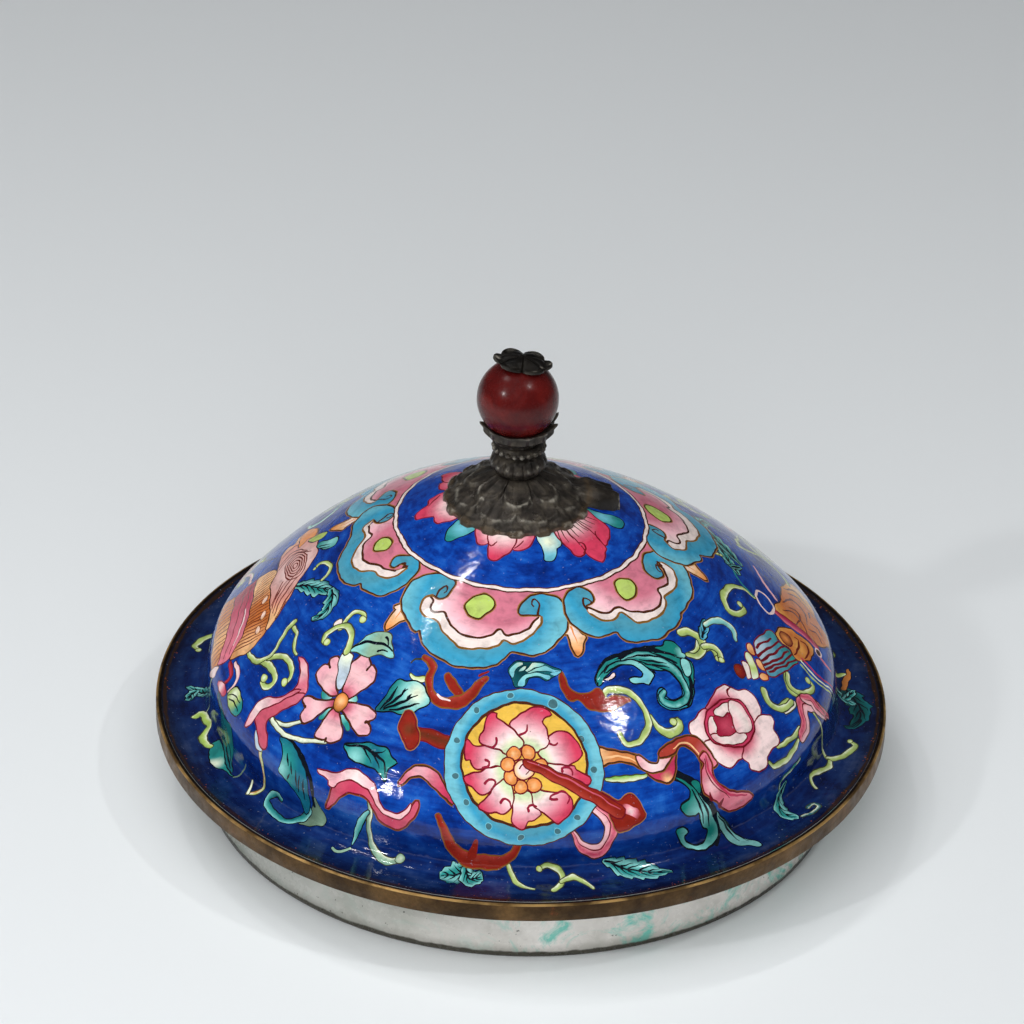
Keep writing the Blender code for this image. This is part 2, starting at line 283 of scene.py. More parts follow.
def enamel_normals(angle, arc):
    """Return the outward directions of the enamel's face."""
    nudge = 0.01
    ahead = on_enamel(angle, np.minimum(arc + nudge, BRIM_END))
    along = ahead - on_enamel(angle, np.maximum(arc - nudge, 0.001))
    turn = nudge / np.maximum(arc, 0.05)
    across = on_enamel(angle + turn, arc) - on_enamel(angle - turn, arc)
    normal = np.cross(along, across)
    normal /= np.maximum(np.linalg.norm(normal, axis=1), 1e-12)[:, None]
    normal[arc < 0.05] = (0.0, 0.0, 1.0)
    return normal


# Sketching on the unrolled enamel
def place(angle, arc):
    """Return where an angle in degrees and a length from the crown lie on the unrolled enamel."""
    turn = math.radians(angle)
    return np.array((arc * math.cos(turn), arc * math.sin(turn)))


def spot(angle, arc, turn=0.0):
    """Return a function that lays sketch points, in mm right and up, round a place on the lid."""
    centre = place(angle, arc)
    outward = centre / arc
    right = np.array((-outward[1], outward[0])) * arc / float(outline_at(arc)[0])
    cosine, sine = math.cos(math.radians(turn)), math.sin(math.radians(turn))

    def lay(points):
        points = np.atleast_2d(np.asarray(points, float))
        x = points[:, 0] * cosine - points[:, 1] * sine
        y = points[:, 0] * sine + points[:, 1] * cosine
        return centre + x[:, None] * right - y[:, None] * outward

    return lay


def spaced(points, step, closed=False):
    """Return evenly spaced points along a line of points."""
    if closed:
        points = np.vstack([points, points[:1]])
    lengths = np.concatenate([[0.0], np.cumsum(np.hypot(*np.diff(points, axis=0).T))])
    count = max(int(round(lengths[-1] / step)), 2)
    marks = np.linspace(0.0, lengths[-1], count + 1)
    found = np.stack([np.interp(marks, lengths, points[:, k]) for k in (0, 1)], 1)
    return found[:-1] if closed else found


def curve(points, closed=False, step=EDGE_STEP):
    """Return a smooth line through points, evenly spaced."""
    points = np.asarray(points, float)
    count = len(points)
    if closed:
        before, after, last = np.roll(points, 1, 0), np.roll(points, -1, 0), count
        beyond = np.roll(points, -2, 0)
    else:
        before = np.vstack([2 * points[0] - points[1], points[:-1]])
        after = np.vstack([points[1:], 2 * points[-1] - points[-2]])
        beyond = np.vstack([points[2:], 2 * points[-1] - points[-2], 2 * points[-1] - points[-2]])
        last = count - 1
    steps = np.linspace(0.0, 1.0, 12, endpoint=False)[:, None]
    pieces = []
    for k in range(last):
        a, b, c, d = before[k], points[k], after[k], beyond[k]
        pieces.append(
            0.5 * (2 * b + (c - a) * steps + (2 * a - 5 * b + 4 * c - d) * steps ** 2
                   + (3 * b - a - 3 * c + d) * steps ** 3)
        )
    line = np.vstack(pieces if closed else pieces + [points[-1:]])
    return spaced(line, step, closed)


def circle(centre, radius, squash=1.0, turn=0.0, steps=None):
    """Return the outline of a circle or an ellipse."""
    steps = steps or max(int(math.tau * radius / EDGE_STEP), 12)
    angles = np.linspace(0.0, math.tau, steps, endpoint=False)
    x, y = radius * np.cos(angles), radius * squash * np.sin(angles)
    cosine, sine = math.cos(turn), math.sin(turn)
    return np.stack([centre[0] + x * cosine - y * sine, centre[1] + x * sine + y * cosine], 1)


def normals_of(line, closed):
    """Return the sideways directions along a line."""
    if closed:
        along = np.roll(line, -1, 0) - np.roll(line, 1, 0)
    else:
        along = np.gradient(line, axis=0)
    along /= np.maximum(np.hypot(along[:, 0], along[:, 1]), 1e-9)[:, None]
    return np.stack([-along[:, 1], along[:, 0]], 1)


def grown(shape, reach):
    """Return a closed outline moved outwards by a reach."""
    area = np.sum(shape[:, 0] * np.roll(shape[:, 1], -1) - np.roll(shape[:, 0], -1) * shape[:, 1])
    return shape - normals_of(shape, True) * reach * math.copysign(1.0, area)


def widths_along(line, widths):
    """Return the width at each point of a line, from a few widths spread evenly along it."""
    return np.interp(np.linspace(0.0, 1.0, len(line)), np.linspace(0.0, 1.0, len(widths)), widths)


def band(line, widths, extra=0.0):
    """Return the outline of a brush stroke along a line, with round ends."""
    half = widths_along(line, widths) / 2.0 + extra
    side = normals_of(line, False)
    ends = []
    for index, turn in ((-1, 1.0), (0, -1.0)):
        for share in (-45.0, 0.0, 45.0):
            angle = math.radians(share)
            ahead = np.array((side[index][1], -side[index][0])) * turn
            reach = ahead * math.cos(angle) - side[index] * turn * math.sin(angle)
            ends.append(line[index] + reach * half[index])
    left = line + side * half[:, None]
    right = line - side * half[:, None]
    return np.vstack([left, ends[:3], right[::-1], ends[3:]])


def ramp(stops, share):
    """Return colours from a list of colours spread evenly over 0 to 1."""
    share = np.clip(share, 0.0, 1.0) * (len(stops) - 1)
    return np.stack([np.interp(share, range(len(stops)), [stop[k] for stop in stops]) for k in range(3)], 1)


def from_point(centre, near, far, *stops):
    """Return a wash that changes with the distance from a point."""
    def wash(points):
        reach = np.hypot(points[:, 0] - centre[0], points[:, 1] - centre[1])
        return ramp(stops, (reach - near) / (far - near))
    return wash


def across_line(line, widths, *stops):
    """Return a wash that changes from one side of a stroke to the other."""
    half = widths_along(line, widths) / 2.0
    side = normals_of(line, False)

    def wash(points):
        gaps = np.hypot(points[:, None, 0] - line[None, :, 0], points[:, None, 1] - line[None, :, 1])
        nearest = np.argmin(gaps, axis=1)
        offset = np.sum((points - line[nearest]) * side[nearest], axis=1)
        return ramp(stops, 0.5 + 0.5 * offset / np.maximum(half[nearest], 0.05))
    return wash


class Painting:
    """Shapes laid one over another on the unrolled enamel."""

    def __init__(self):
        self.shapes = []
        self.washes = []
        self.turn = 0.0

    def fill(self, shape, wash):
        """Lay one flat or shaded shape."""
        self.shapes.append(np.asarray(shape, float))
        self.washes.append(wash)

    def shape(self, outline, wash, edge=LINE_BROWN, line=LINE, fringe=None):
        """Lay a closed shape with a drawn line round it, and a burnt fringe round the line where asked."""
        if fringe is not None:
            self.fill(grown(outline, line * BOLD + FRINGE), fringe)
        if line > 0.0:
            self.fill(grown(outline, line * BOLD), edge)
        self.fill(outline, wash)

    def stroke(self, line, widths, wash, edge=LINE_BLACK, rim=LINE):
        """Lay a brush stroke with a drawn line round it."""
        if rim > 0.0:
            self.fill(band(line, widths, rim * BOLD), edge)
        self.fill(band(line, widths), wash)


class Sketch:
    """A part of the picture: in mm right and up of a place, or in degrees round and mm from the crown."""

    def __init__(self, art, angle=0.0, arc=None):
        self.art = art
        self.angle = angle + art.turn
        self.local = None if arc is None else spot(self.angle, arc)

    def lay(self, points):
        """Return points of the sketch on the unrolled enamel."""
        if self.local:
            return self.local(points)
        return np.array([place(self.angle + angle, arc) for angle, arc in points])

    def line(self, points):
        """Return a smooth line through points of the sketch."""
        return curve(self.lay(points))

    def glow(self, middle, near, far, *stops):
        """Return a wash that changes with the distance from a point of the sketch."""
        return from_point(self.lay([middle])[0], near, far, *stops)

    def patch(self, points, wash, edge=LINE_BROWN, line=LINE, fringe=None):
        """Lay a closed shape through points of the sketch."""
        self.art.shape(curve(self.lay(points), True), wash, edge, line, fringe)

    def brush(self, points, widths, stops, edge=LINE_BLACK, rim=LINE):
        """Lay a brush stroke through points of the sketch, shaded from its left to its right."""
        line = self.line(points)
        self.art.stroke(line, widths, across_line(line, widths, *stops), edge, rim)

    def ink(self, widths, colour, *lines):
        """Draw thin lines through points of the sketch."""
        for points in lines:
            self.art.fill(band(self.line(points), widths), colour)

    def hatch(self, left, right, count, slant, widths, colour):
        """Draw strokes across a shape, between a line along its left side and one along its right."""
        left, right = self.line(left), self.line(right)
        for step in range(1, count):
            start = left[int((len(left) - 1) * step / count)]
            share = min(max(step / count + slant, 0.0), 1.0)
            end = right[int((len(right) - 1) * share)]
            self.art.fill(band(spaced(np.array([start, end]), 0.9), widths), colour)

    def dot(self, middle, radius, wash, edge=LINE_BROWN, line=LINE, squash=1.0, lean=0.0):
        """Lay a round or oval spot."""
        centre = self.lay([middle])[0]
        near = spot(math.degrees(math.atan2(centre[1], centre[0])), math.hypot(*centre))
        self.art.shape(near(circle((0.0, 0.0), radius, squash, math.radians(lean))), wash, edge, line)

    def tendril(self, points, widths, colour=SCROLL_GREEN, ball=0.0):
        """Paint a pale tendril, darker along one side and lit along the other, with a round end."""
        shaded = DEEP_TEAL * 0.4 + colour * 0.6
        self.brush(points, widths, (shaded, colour, colour, WHITE_GREEN), LINE_OLIVE, 0.2)
        if ball > 0.0:
            lit = self.glow(points[-1], 0.0, ball, WHITE_GREEN, colour)
            self.dot(points[-1], ball, lit, LINE_OLIVE, 0.15)

    def ribbon(self, points, widths, dark=ROSE, middle=PINK, light=BLUSH):
        """Paint a ribbon whose one half is in shade, with a line where it folds."""
        self.brush(points, widths, (light, PALE_PINK, middle, dark, middle), LINE_BROWN, 0.25)
        line = self.line(points)
        half = widths_along(line, widths) / 2.0
        fold = line - normals_of(line, False) * (half * 0.15)[:, None]
        self.art.fill(band(fold, (0.1, 0.32, 0.3, 0.1)), LINE_RED)

    def leaf(self, points, widths, body=TEAL, light=PALE_TEAL, veins=6, teeth=0.42):
        """Paint a leaf: a toothed blade along a spine, with a bold tapering vein and feathered strokes."""
        line = self.line(points)
        count = len(line)
        share = np.linspace(0.0, 1.0, count)
        half = widths_along(line, widths) / 2.0
        side = normals_of(line, False)
        edges = []
        for sign, shift in ((1.0, 0.0), (-1.0, 0.45)):
            notch = 1.0 - teeth / 2.0 + teeth * np.mod(share * veins + shift, 1.0)
            edges.append(line + side * (sign * half * notch)[:, None])
        blade = np.vstack([edges[0], edges[1][::-1]])
        self.art.fill(grown(blade, 0.28), LINE_BLACK)
        self.art.fill(blade, across_line(line, 2.0 * half, light, body, body, light, DEEP_TEAL))
        for step in range(1, veins + 1):
            start = int(count * step / (veins + 1.5))
            last = min(start + max(int(count * 0.2), 3), count - 1)
            part = slice(start, last + 1)
            for sign in (1.0, -1.0):
                reach = np.linspace(0.1, 0.72, last - start + 1)[:, None] * half[part, None]
                self.art.fill(band(line[part] + side[part] * sign * reach, (0.42, 0.1)), LINE_BLACK)
        self.art.fill(band(line[1:-1], (0.5, 0.42, 0.2)), LINE_BLACK)


def inside(points, shape, batch=1500):
    """Return which points lie in a closed shape, by how often it winds round them."""
    x0, y0 = shape[:, 0][None], shape[:, 1][None]
    x1, y1 = np.roll(shape[:, 0], -1)[None], np.roll(shape[:, 1], -1)[None]
    found = []
    for start in range(0, len(points), batch):
        px = points[start:start + batch, 0][:, None]
        py = points[start:start + batch, 1][:, None]
        side = (x1 - x0) * (py - y0) - (px - x0) * (y1 - y0)
        up = (y0 <= py) & (y1 > py) & (side > 0.0)
        down = (y0 > py) & (y1 <= py) & (side < 0.0)
        found.append((up.sum(1) - down.sum(1)) != 0)
    return np.concatenate(found)


class Stack:
    """Closed shapes laid one over another, with the box round each."""

    def __init__(self, shapes):
        self.shapes = shapes
        self.low = np.array([shape.min(0) for shape in shapes])
        self.high = np.array([shape.max(0) for shape in shapes])

    def top(self, points, skip=-1):
        """Return the last shape that covers each point, or -1."""
        found = np.full(len(points), -1)
        near = np.all((self.low <= points.max(0)) & (self.high >= points.min(0)), axis=1)
        order = np.argsort(points[:, 0])
        sorted_x = points[order, 0]
        for index in np.where(near)[0]:
            if index <= skip:
                continue
            low, high = self.low[index], self.high[index]
            first, last = np.searchsorted(sorted_x, (low[0], high[0]))
            some = order[first:last]
            some = some[(points[some, 1] >= low[1]) & (points[some, 1] <= high[1])]
            if len(some):
                found[some[inside(points[some], self.shapes[index])]] = index
        return found


def wavered(points):
    """Move points a little, as a brush held by hand does."""
    x, y = points[:, 0], points[:, 1]
    push_x = 0.13 * np.sin(0.9 * y + 0.7 * x + 1.0) + 0.07 * np.sin(2.3 * y - 1.1 * x)
    push_y = 0.13 * np.sin(0.8 * x - 0.6 * y + 2.0) + 0.07 * np.sin(2.1 * x + 1.3 * y)
    moved = points + np.stack([push_x, push_y], 1)
    reach = np.hypot(moved[:, 0], moved[:, 1])
    limit = BRIM_END - 0.25
    return moved * np.minimum(1.0, limit / np.maximum(reach, 1e-6))[:, None]


def thinned(shape, slack=0.012):
    """Return an outline without the points that lie almost straight between their neighbours."""
    for _ in range(2):
        before, after = np.roll(shape, 1, 0), np.roll(shape, -1, 0)
        along, step = after - before, shape - before
        reach = np.maximum(np.hypot(along[:, 0], along[:, 1]), 1e-9)
        off = np.abs(along[:, 0] * step[:, 1] - along[:, 1] * step[:, 0]) / reach
        keep = (off > slack) | (np.arange(len(shape)) % 2 == 0) | (reach > 2.2)
        if keep.sum() >= 6:
            shape = shape[keep]
    return shape


def hex_points(step, radius):
    """Return points of an even net inside a circle."""
    rows = []
    count = int(radius / (step * 0.866)) + 1
    for row in range(-count, count + 1):
        x = np.arange(-radius, radius, step) + (step / 2.0 if row % 2 else 0.0)
        rows.append(np.stack([x, np.full(len(x), row * step * 0.866)], 1))
    points = np.vstack(rows)
    return points[np.hypot(points[:, 0], points[:, 1]) < radius - 0.5 * step]


# What is painted on the lid
def paint_wheel(art):
    """Paint the wheel: a turquoise ring of studs round nine curled petals and a ring of beads."""
    draw = Sketch(art, *WHEEL)
    draw.brush(
        [(-14.6, 5.4), (-18.4, 7.4), (-21.2, 8.8)], (2.6, 2.5, 2.2), (IRON_RED, EMBER * 0.6, IRON_RED),
        LINE_RED, 0.2)
    draw.patch(
        [(-22.1, 13.0), (-21.1, 12.6), (-20.5, 11.4), (-20.3, 9.9), (-19.9, 7.4), (-21.0, 5.6),
         (-22.2, 5.8), (-22.9, 7.4), (-23.7, 9.8), (-23.0, 11.5)],
        draw.glow((-21.8, 9.4), 0.3, 3.4, EMBER * 0.8, IRON_RED, IRON_RED), LINE_RED, 0.24, GOLD_LINE)
    ring = draw.glow((0.35, -0.35), 11.5, 16.0, RING_BLUE, RING_BLUE, TURQUOISE, PALE_TURQUOISE)
    draw.dot((0.35, -0.35), 15.6, ring, LINE_BROWN, 0.22)
    studs = ((-1.6, 14.0), (11.7, 6.3), (14.1, 0.5), (10.9, -9.6), (7.0, -12.6), (-0.5, -14.3),
             (-7.0, -11.9), (-11.2, -6.9), (-13.3, -1.4), (-12.5, 5.4), (-8.2, 11.1))
    for x, y in studs:
        draw.dot((x, y), 0.62, DOT_GREY, PALE_TURQUOISE, 0.12)
    draw.dot((6.4, 12.6), 0.95, DOT_GREY, PALE_TURQUOISE, 0.14)
    draw.dot((0.5, 0.15), 12.1, YELLOW, LINE_BROWN, 0.45)
    petals = (
        [(0.5, 4.0), (-0.3, 5.7), (-1.5, 7.0), (-1.5, 8.2), (1.2, 10.3), (3.1, 11.2), (5.5, 9.9),
         (4.3, 9.2), (4.0, 8.1), (4.8, 6.8), (4.9, 4.1), (2.9, 2.8)],
        [(3.3, 2.4), (4.7, 3.6), (5.4, 4.6), (5.3, 5.7), (7.6, 6.8), (10.4, 4.7), (10.7, 2.2), (7.5, 0.3),
         (5.3, 0.4)],
        [(4.8, 0.2), (9.5, 0.4), (9.9, -0.4), (12.6, -1.2), (12.2, -2.4), (8.4, -2.4), (6.1, -1.2),
         (4.8, -0.7)],
        [(1.9, -6.9), (4.1, -8.8), (6.1, -10.2), (7.5, -9.8), (9.3, -7.2), (8.6, -5.1), (5.2, -4.9),
         (2.3, -4.6)],
        [(-1.8, -5.6), (-1.6, -7.8), (-2.1, -10.5), (-1.0, -11.6), (0.2, -11.6), (1.1, -10.2),
         (2.2, -10.0), (3.2, -9.0), (2.9, -8.2), (2.0, -7.8), (1.6, -6.9), (1.7, -5.5), (0.7, -5.1)],
        [(-3.2, -2.9), (-2.0, -4.5), (-1.8, -6.9), (-2.5, -8.3), (-3.9, -8.9), (-5.2, -8.5), (-6.8, -8.6),
         (-8.2, -7.5), (-5.8, -5.3), (-5.3, -4.0)],
        [(-3.6, -0.5), (-6.3, -0.5), (-7.6, -1.2), (-10.6, -1.9), (-10.5, -3.2), (-9.3, -3.7),
         (-8.5, -4.7), (-7.2, -5.3), (-6.0, -4.8), (-4.1, -2.9), (-3.0, -2.0)],
        [(-2.8, 2.2), (-5.9, 3.3), (-8.5, 3.8), (-10.0, 5.1), (-10.3, 1.7), (-9.3, 1.4), (-9.1, 0.3),
         (-8.1, -0.5), (-5.1, 0.1), (-3.6, 0.0)],
        [(0.5, 3.6), (-0.3, 5.2), (-1.5, 6.8), (-4.1, 8.7), (-4.3, 9.8), (-5.6, 9.6), (-6.6, 6.9),
         (-7.3, 5.8), (-7.2, 4.4), (-6.3, 3.7), (-3.9, 3.1), (-2.6, 2.2)],
    )
    wash = draw.glow(
        (0.4, -0.9), 3.8, 12.4, WHEEL_GREEN, WHEEL_GREEN, WHITE_PINK, PETAL_PINK, PINK_RIBBON, CORAL)
    middle, spread = np.array((0.5, 0.1)), 1.06
    for petal in petals:
        draw.patch(middle + spread * (np.array(petal) - middle), wash, LINE_RED, 0.28)
    draw.ink(
        (0.6, 0.5, 0.35), CRIMSON * 0.8, [(-0.1, 6.0), (1.1, 6.8), (1.2, 8.0)],
        [(5.4, 4.6), (6.5, 4.2), (7.2, 4.7)],
        [(7.9, -0.7), (7.9, 0.0), (9.1, 0.3), (9.7, -0.4), (9.8, -1.3)],
        [(6.8, -6.5), (6.1, -6.7), (5.4, -6.2), (6.1, -5.5), (7.5, -4.9), (8.8, -5.0), (9.3, -5.9),
         (8.8, -7.0)], [(1.2, -8.9), (0.9, -8.2), (1.8, -7.8), (2.7, -7.9)],
        [(-4.4, -7.3), (-3.4, -6.5), (-2.5, -7.2), (-2.3, -8.1)],
        [(-7.3, -3.4), (-6.6, -2.8), (-5.5, -3.1), (-5.3, -4.0), (-6.1, -4.9)],
        [(-7.2, 1.1), (-6.4, 0.9), (-6.6, 0.0), (-7.7, -0.4)],
        [(-4.9, 5.2), (-4.8, 4.3), (-5.4, 3.6), (-6.4, 3.7)])
    for bead in ((-1.5, 2.2), (1.4, 2.5), (3.7, 0.0), (2.3, -4.0), (-0.3, -4.3), (-2.3, -2.5), (-2.7, 0.0)):
        draw.dot(bead, 1.3, draw.glow(bead, 0.2, 1.5, PEACH, ORANGE, ORANGE), LINE_RED, 0.24)
    draw.dot((0.4, -0.9), 1.8, draw.glow((0.4, -0.9), 0.4, 2.0, BLUSH, CREAM, PEACH), LINE_RED, 0.26)
    draw.ink((0.3, 0.2), LINE_RED, [(-0.5, -0.6), (0.1, 0.2), (1.1, 0.0), (1.4, -1.0), (0.8, -1.8)])
    knob = Sketch(art, *WHEEL_KNOB)
    knob.patch(
        [(-17.5, 6.0), (-16.6, 5.3), (-15.7, 4.0), (-14.6, 3.3), (-13.3, 3.7), (-12.4, 3.7), (-11.7, 2.8),
         (-11.2, 1.3), (-10.9, -0.1), (-10.8, -1.1), (-11.7, -1.8), (-13.1, -2.0), (-14.6, -2.3),
         (-16.3, -2.1), (-17.4, -1.4), (-17.6, 1.6)], IRON_RED, LINE_RED, 0.22, GOLD_LINE)
    knob.patch(
        [(-15.0, 2.4), (-14.1, 2.4), (-12.9, 1.2), (-11.9, 0.4), (-11.7, -1.0), (-12.1, -1.6),
         (-13.2, -0.7), (-14.5, 0.5)], knob.glow((-13.4, 0.6), 0.2, 2.2, WHITE_PINK, PINK, IRON_RED),
        LINE_RED, 0.0)
    rod = spaced(np.vstack([draw.lay([(0.9, 0.4)]), knob.lay([(-15.6, 1.4)])]), EDGE_STEP)
    widths = (1.6, 2.3, 2.8)
    art.stroke(rod, widths, across_line(rod, widths, ROSE_BROWN, IRON_RED, IRON_RED), LINE_RED, 0.22)
    art.fill(band(rod + normals_of(rod, False) * 0.55, (0.15, 0.35, 0.2)), ROSE_RIBBON)


def paint_red_ribbons(art):
    """Paint the iron-red ribbons that fly from the wheel, with the small leaves at their ends."""
    draw = Sketch(art, *RED_RIBBONS)
    draw.ink((0.5, 0.35), LINE_OLIVE, [(-17.6, 23.6), (-19.0, 23.7), (-19.8, 23.1)])
    draw.brush(
        [(-20.3, 20.6), (-19.4, 19.6), (-17.8, 19.0)], (0.5, 1.1, 1.2), (WHITE_GREEN, SCROLL_GREEN),
        LINE_OLIVE, 0.2)
    draw.brush(
        [(-13.2, 19.1), (-12.7, 18.0), (-12.0, 16.4), (-10.5, 13.9)], (1.0, 1.6, 1.7, 1.6), (IRON_RED,),
        RUST_LINE)
    draw.brush(
        [(-17.4, 23.8), (-16.3, 22.5), (-15.8, 20.9), (-16.5, 19.3), (-16.8, 17.6), (-16.5, 15.8),
         (-15.6, 14.4), (-14.1, 13.3), (-12.3, 13.1), (-10.8, 13.3), (-9.4, 14.0), (-8.2, 15.4),
         (-7.2, 16.6), (-5.8, 17.5)], (0.7, 1.1, 1.2, 1.4, 1.1, 1.2, 1.7, 1.9, 2.2, 2.0, 1.8, 1.5, 1.0),
        (IRON_RED, IRON_RED, ROSE_BROWN), RUST_LINE, 0.25)
    draw.ink((0.5, 0.4), IRON_RED, [(-6.9, 18.4), (-5.4, 19.2)])
    # A painted highlight: a white streak on the red ribbon where a softbox's reflection falls.
    draw.ink((0.4, 0.6, 0.3), WHITE_PINK, [(-15.4, 15.4), (-14.4, 14.2), (-13.0, 13.6)])
    draw.patch(
        [(8.4, 19.7), (8.1, 18.3), (8.2, 16.7), (8.6, 15.5), (9.4, 14.3), (10.3, 14.1), (11.5, 14.5),
         (12.6, 13.8), (13.4, 12.9), (14.5, 12.7), (17.6, 13.4), (19.1, 14.5), (20.4, 15.7), (21.4, 16.8),
         (19.5, 16.9), (18.3, 16.6), (17.2, 15.7), (16.4, 15.9), (15.8, 17.2), (14.9, 17.2), (13.9, 16.4),
         (13.0, 15.8), (11.4, 15.7), (10.3, 15.9), (9.6, 16.7), (9.0, 18.3)], IRON_RED, RUST_LINE, 0.24)
    # The teal leaf is whitest where a softbox's reflection falls on it: a painted highlight over the leaf's own
    # teal to deep teal.
    draw.patch(
        [(-27.7, 14.8), (-25.9, 16.7), (-24.4, 18.6), (-22.7, 19.9), (-21.4, 19.4), (-20.2, 19.2),
         (-19.1, 18.7), (-18.1, 17.7), (-17.6, 16.3), (-16.8, 14.0), (-18.2, 13.4), (-19.6, 12.9),
         (-20.8, 12.4), (-22.4, 12.7), (-24.4, 13.9)],
        draw.glow((-19.2, 16.2), 0.6, 7.5, WHITE_GREEN, PALE_TEAL, TEAL, DEEP_TEAL), LINE_BLACK, 0.25)
    draw.ink(
        (0.3, 0.75, 0.2), LINE_BLACK, [(-26.8, 14.8), (-24.6, 16.6), (-22.8, 18.6)],
        [(-26.0, 14.9), (-23.4, 16.2), (-20.9, 17.8)], [(-26.0, 14.6), (-22.8, 15.2), (-19.0, 15.8)],
        [(-24.8, 14.2), (-21.8, 13.9), (-18.9, 14.0)], [(-22.4, 16.6), (-21.4, 17.9)],
        [(-21.6, 15.3), (-20.2, 16.4)])
    draw.patch(
        [(-1.5, 18.9), (-0.9, 20.4), (0.3, 21.3), (1.9, 21.2), (3.8, 21.3), (5.6, 20.8), (7.3, 20.4),
         (8.4, 19.9), (7.3, 18.9), (6.0, 17.9), (5.2, 17.6), (3.6, 18.0), (2.3, 17.6), (1.5, 16.1),
         (-0.4, 15.8), (-0.8, 17.0)], draw.glow((2.0, 19.0), 1.0, 5.0, DEEP_TEAL * 0.35, DEEP_TEAL),
        LINE_BLACK, 0.14)
    blades = (
        [(-0.9, 17.7), (-1.3, 18.5), (-1.1, 19.6), (-0.3, 20.6), (0.4, 21.0), (1.2, 20.9), (-0.1, 19.6),
         (-0.5, 18.5)],
        [(0.4, 19.2), (1.0, 20.0), (1.5, 20.5), (1.7, 20.3), (1.2, 19.4)],
        [(1.5, 19.4), (2.3, 20.3), (2.9, 21.0), (3.8, 21.1), (5.3, 20.6), (3.2, 20.0), (1.9, 19.2)],
        [(1.9, 18.8), (3.0, 19.5), (4.3, 20.1), (5.6, 20.4), (6.9, 20.1), (8.3, 19.9), (7.7, 19.5),
         (6.2, 19.5), (4.7, 19.4)],
        [(0.0, 16.0), (0.4, 17.1), (1.1, 17.9), (2.1, 18.6), (3.4, 18.8), (6.2, 18.6), (5.8, 17.9),
         (3.8, 18.2), (2.6, 18.0), (1.7, 17.4), (1.3, 16.1)],
        [(6.2, 19.0), (7.3, 18.9), (8.3, 19.8), (7.3, 19.7)],
    )
    for blade in blades:
        draw.patch(
            blade, draw.glow((2.0, 21.4), 0.5, 5.0, WHITE_GREEN, PALE_TEAL, PALE_TURQUOISE), LINE_BLACK,
            0.05)
    low = Sketch(art)
    low.brush(
        [(-104.1, 75.6), (-102.8, 78.4), (-101.1, 82.0), (-98.8, 84.0), (-95.6, 84.4), (-92.5, 83.9),
         (-90.4, 81.8), (-89.3, 78.6)], (1.0, 1.8, 2.4, 3.2, 3.0, 2.6, 1.8, 0.9),
        (IRON_RED, IRON_RED, ROSE_BROWN), RUST_LINE, 0.25)
    low.brush([(-97.8, 83.0), (-96.9, 79.6)], (2.4, 0.9), (IRON_RED,), RUST_LINE, 0.0)


def paint_front_leaves(art):
    """Paint the leaves, tendrils and ribbons below and beside the wheel."""
    draw = Sketch(art)
    draw.leaf([(-74.7, 84.5), (-71.3, 86.6), (-67.6, 88.4), (-63.4, 90.0)], (0.8, 4.4, 4.6, 0.8))
    draw.leaf([(-98.6, 84.8), (-99.8, 87.4), (-102.8, 88.6)], (2.2, 5.2, 2.2), veins=4)
    draw.leaf([(-98.8, 85.6), (-97.8, 88.4), (-95.6, 87.4)], (2.2, 4.8, 1.8), veins=4)
    draw.tendril([(-91.3, 85.0), (-90.1, 87.8), (-88.5, 89.8), (-86.8, 90.4)], (0.9, 1.3, 1.0, 0.3))
    draw.tendril(
        [(-83.9, 91.0), (-82.6, 89.6), (-82.0, 87.6), (-82.6, 85.6), (-84.6, 84.8), (-85.9, 85.6)],
        (1.3, 1.2, 1.1, 0.8), ball=0.6)
    draw.tendril([(-82.2, 88.3), (-80.2, 87.4), (-78.5, 88.5), (-77.3, 91.2)], (0.9, 1.1, 1.0, 0.9))
    draw.ribbon(
        [(-75.6, 72.9), (-73.6, 75.2), (-73.4, 78.7), (-75.6, 82.2), (-78.4, 80.9), (-80.0, 77.6)],
        (2.4, 3.0, 2.6, 3.0, 2.4, 0.8))


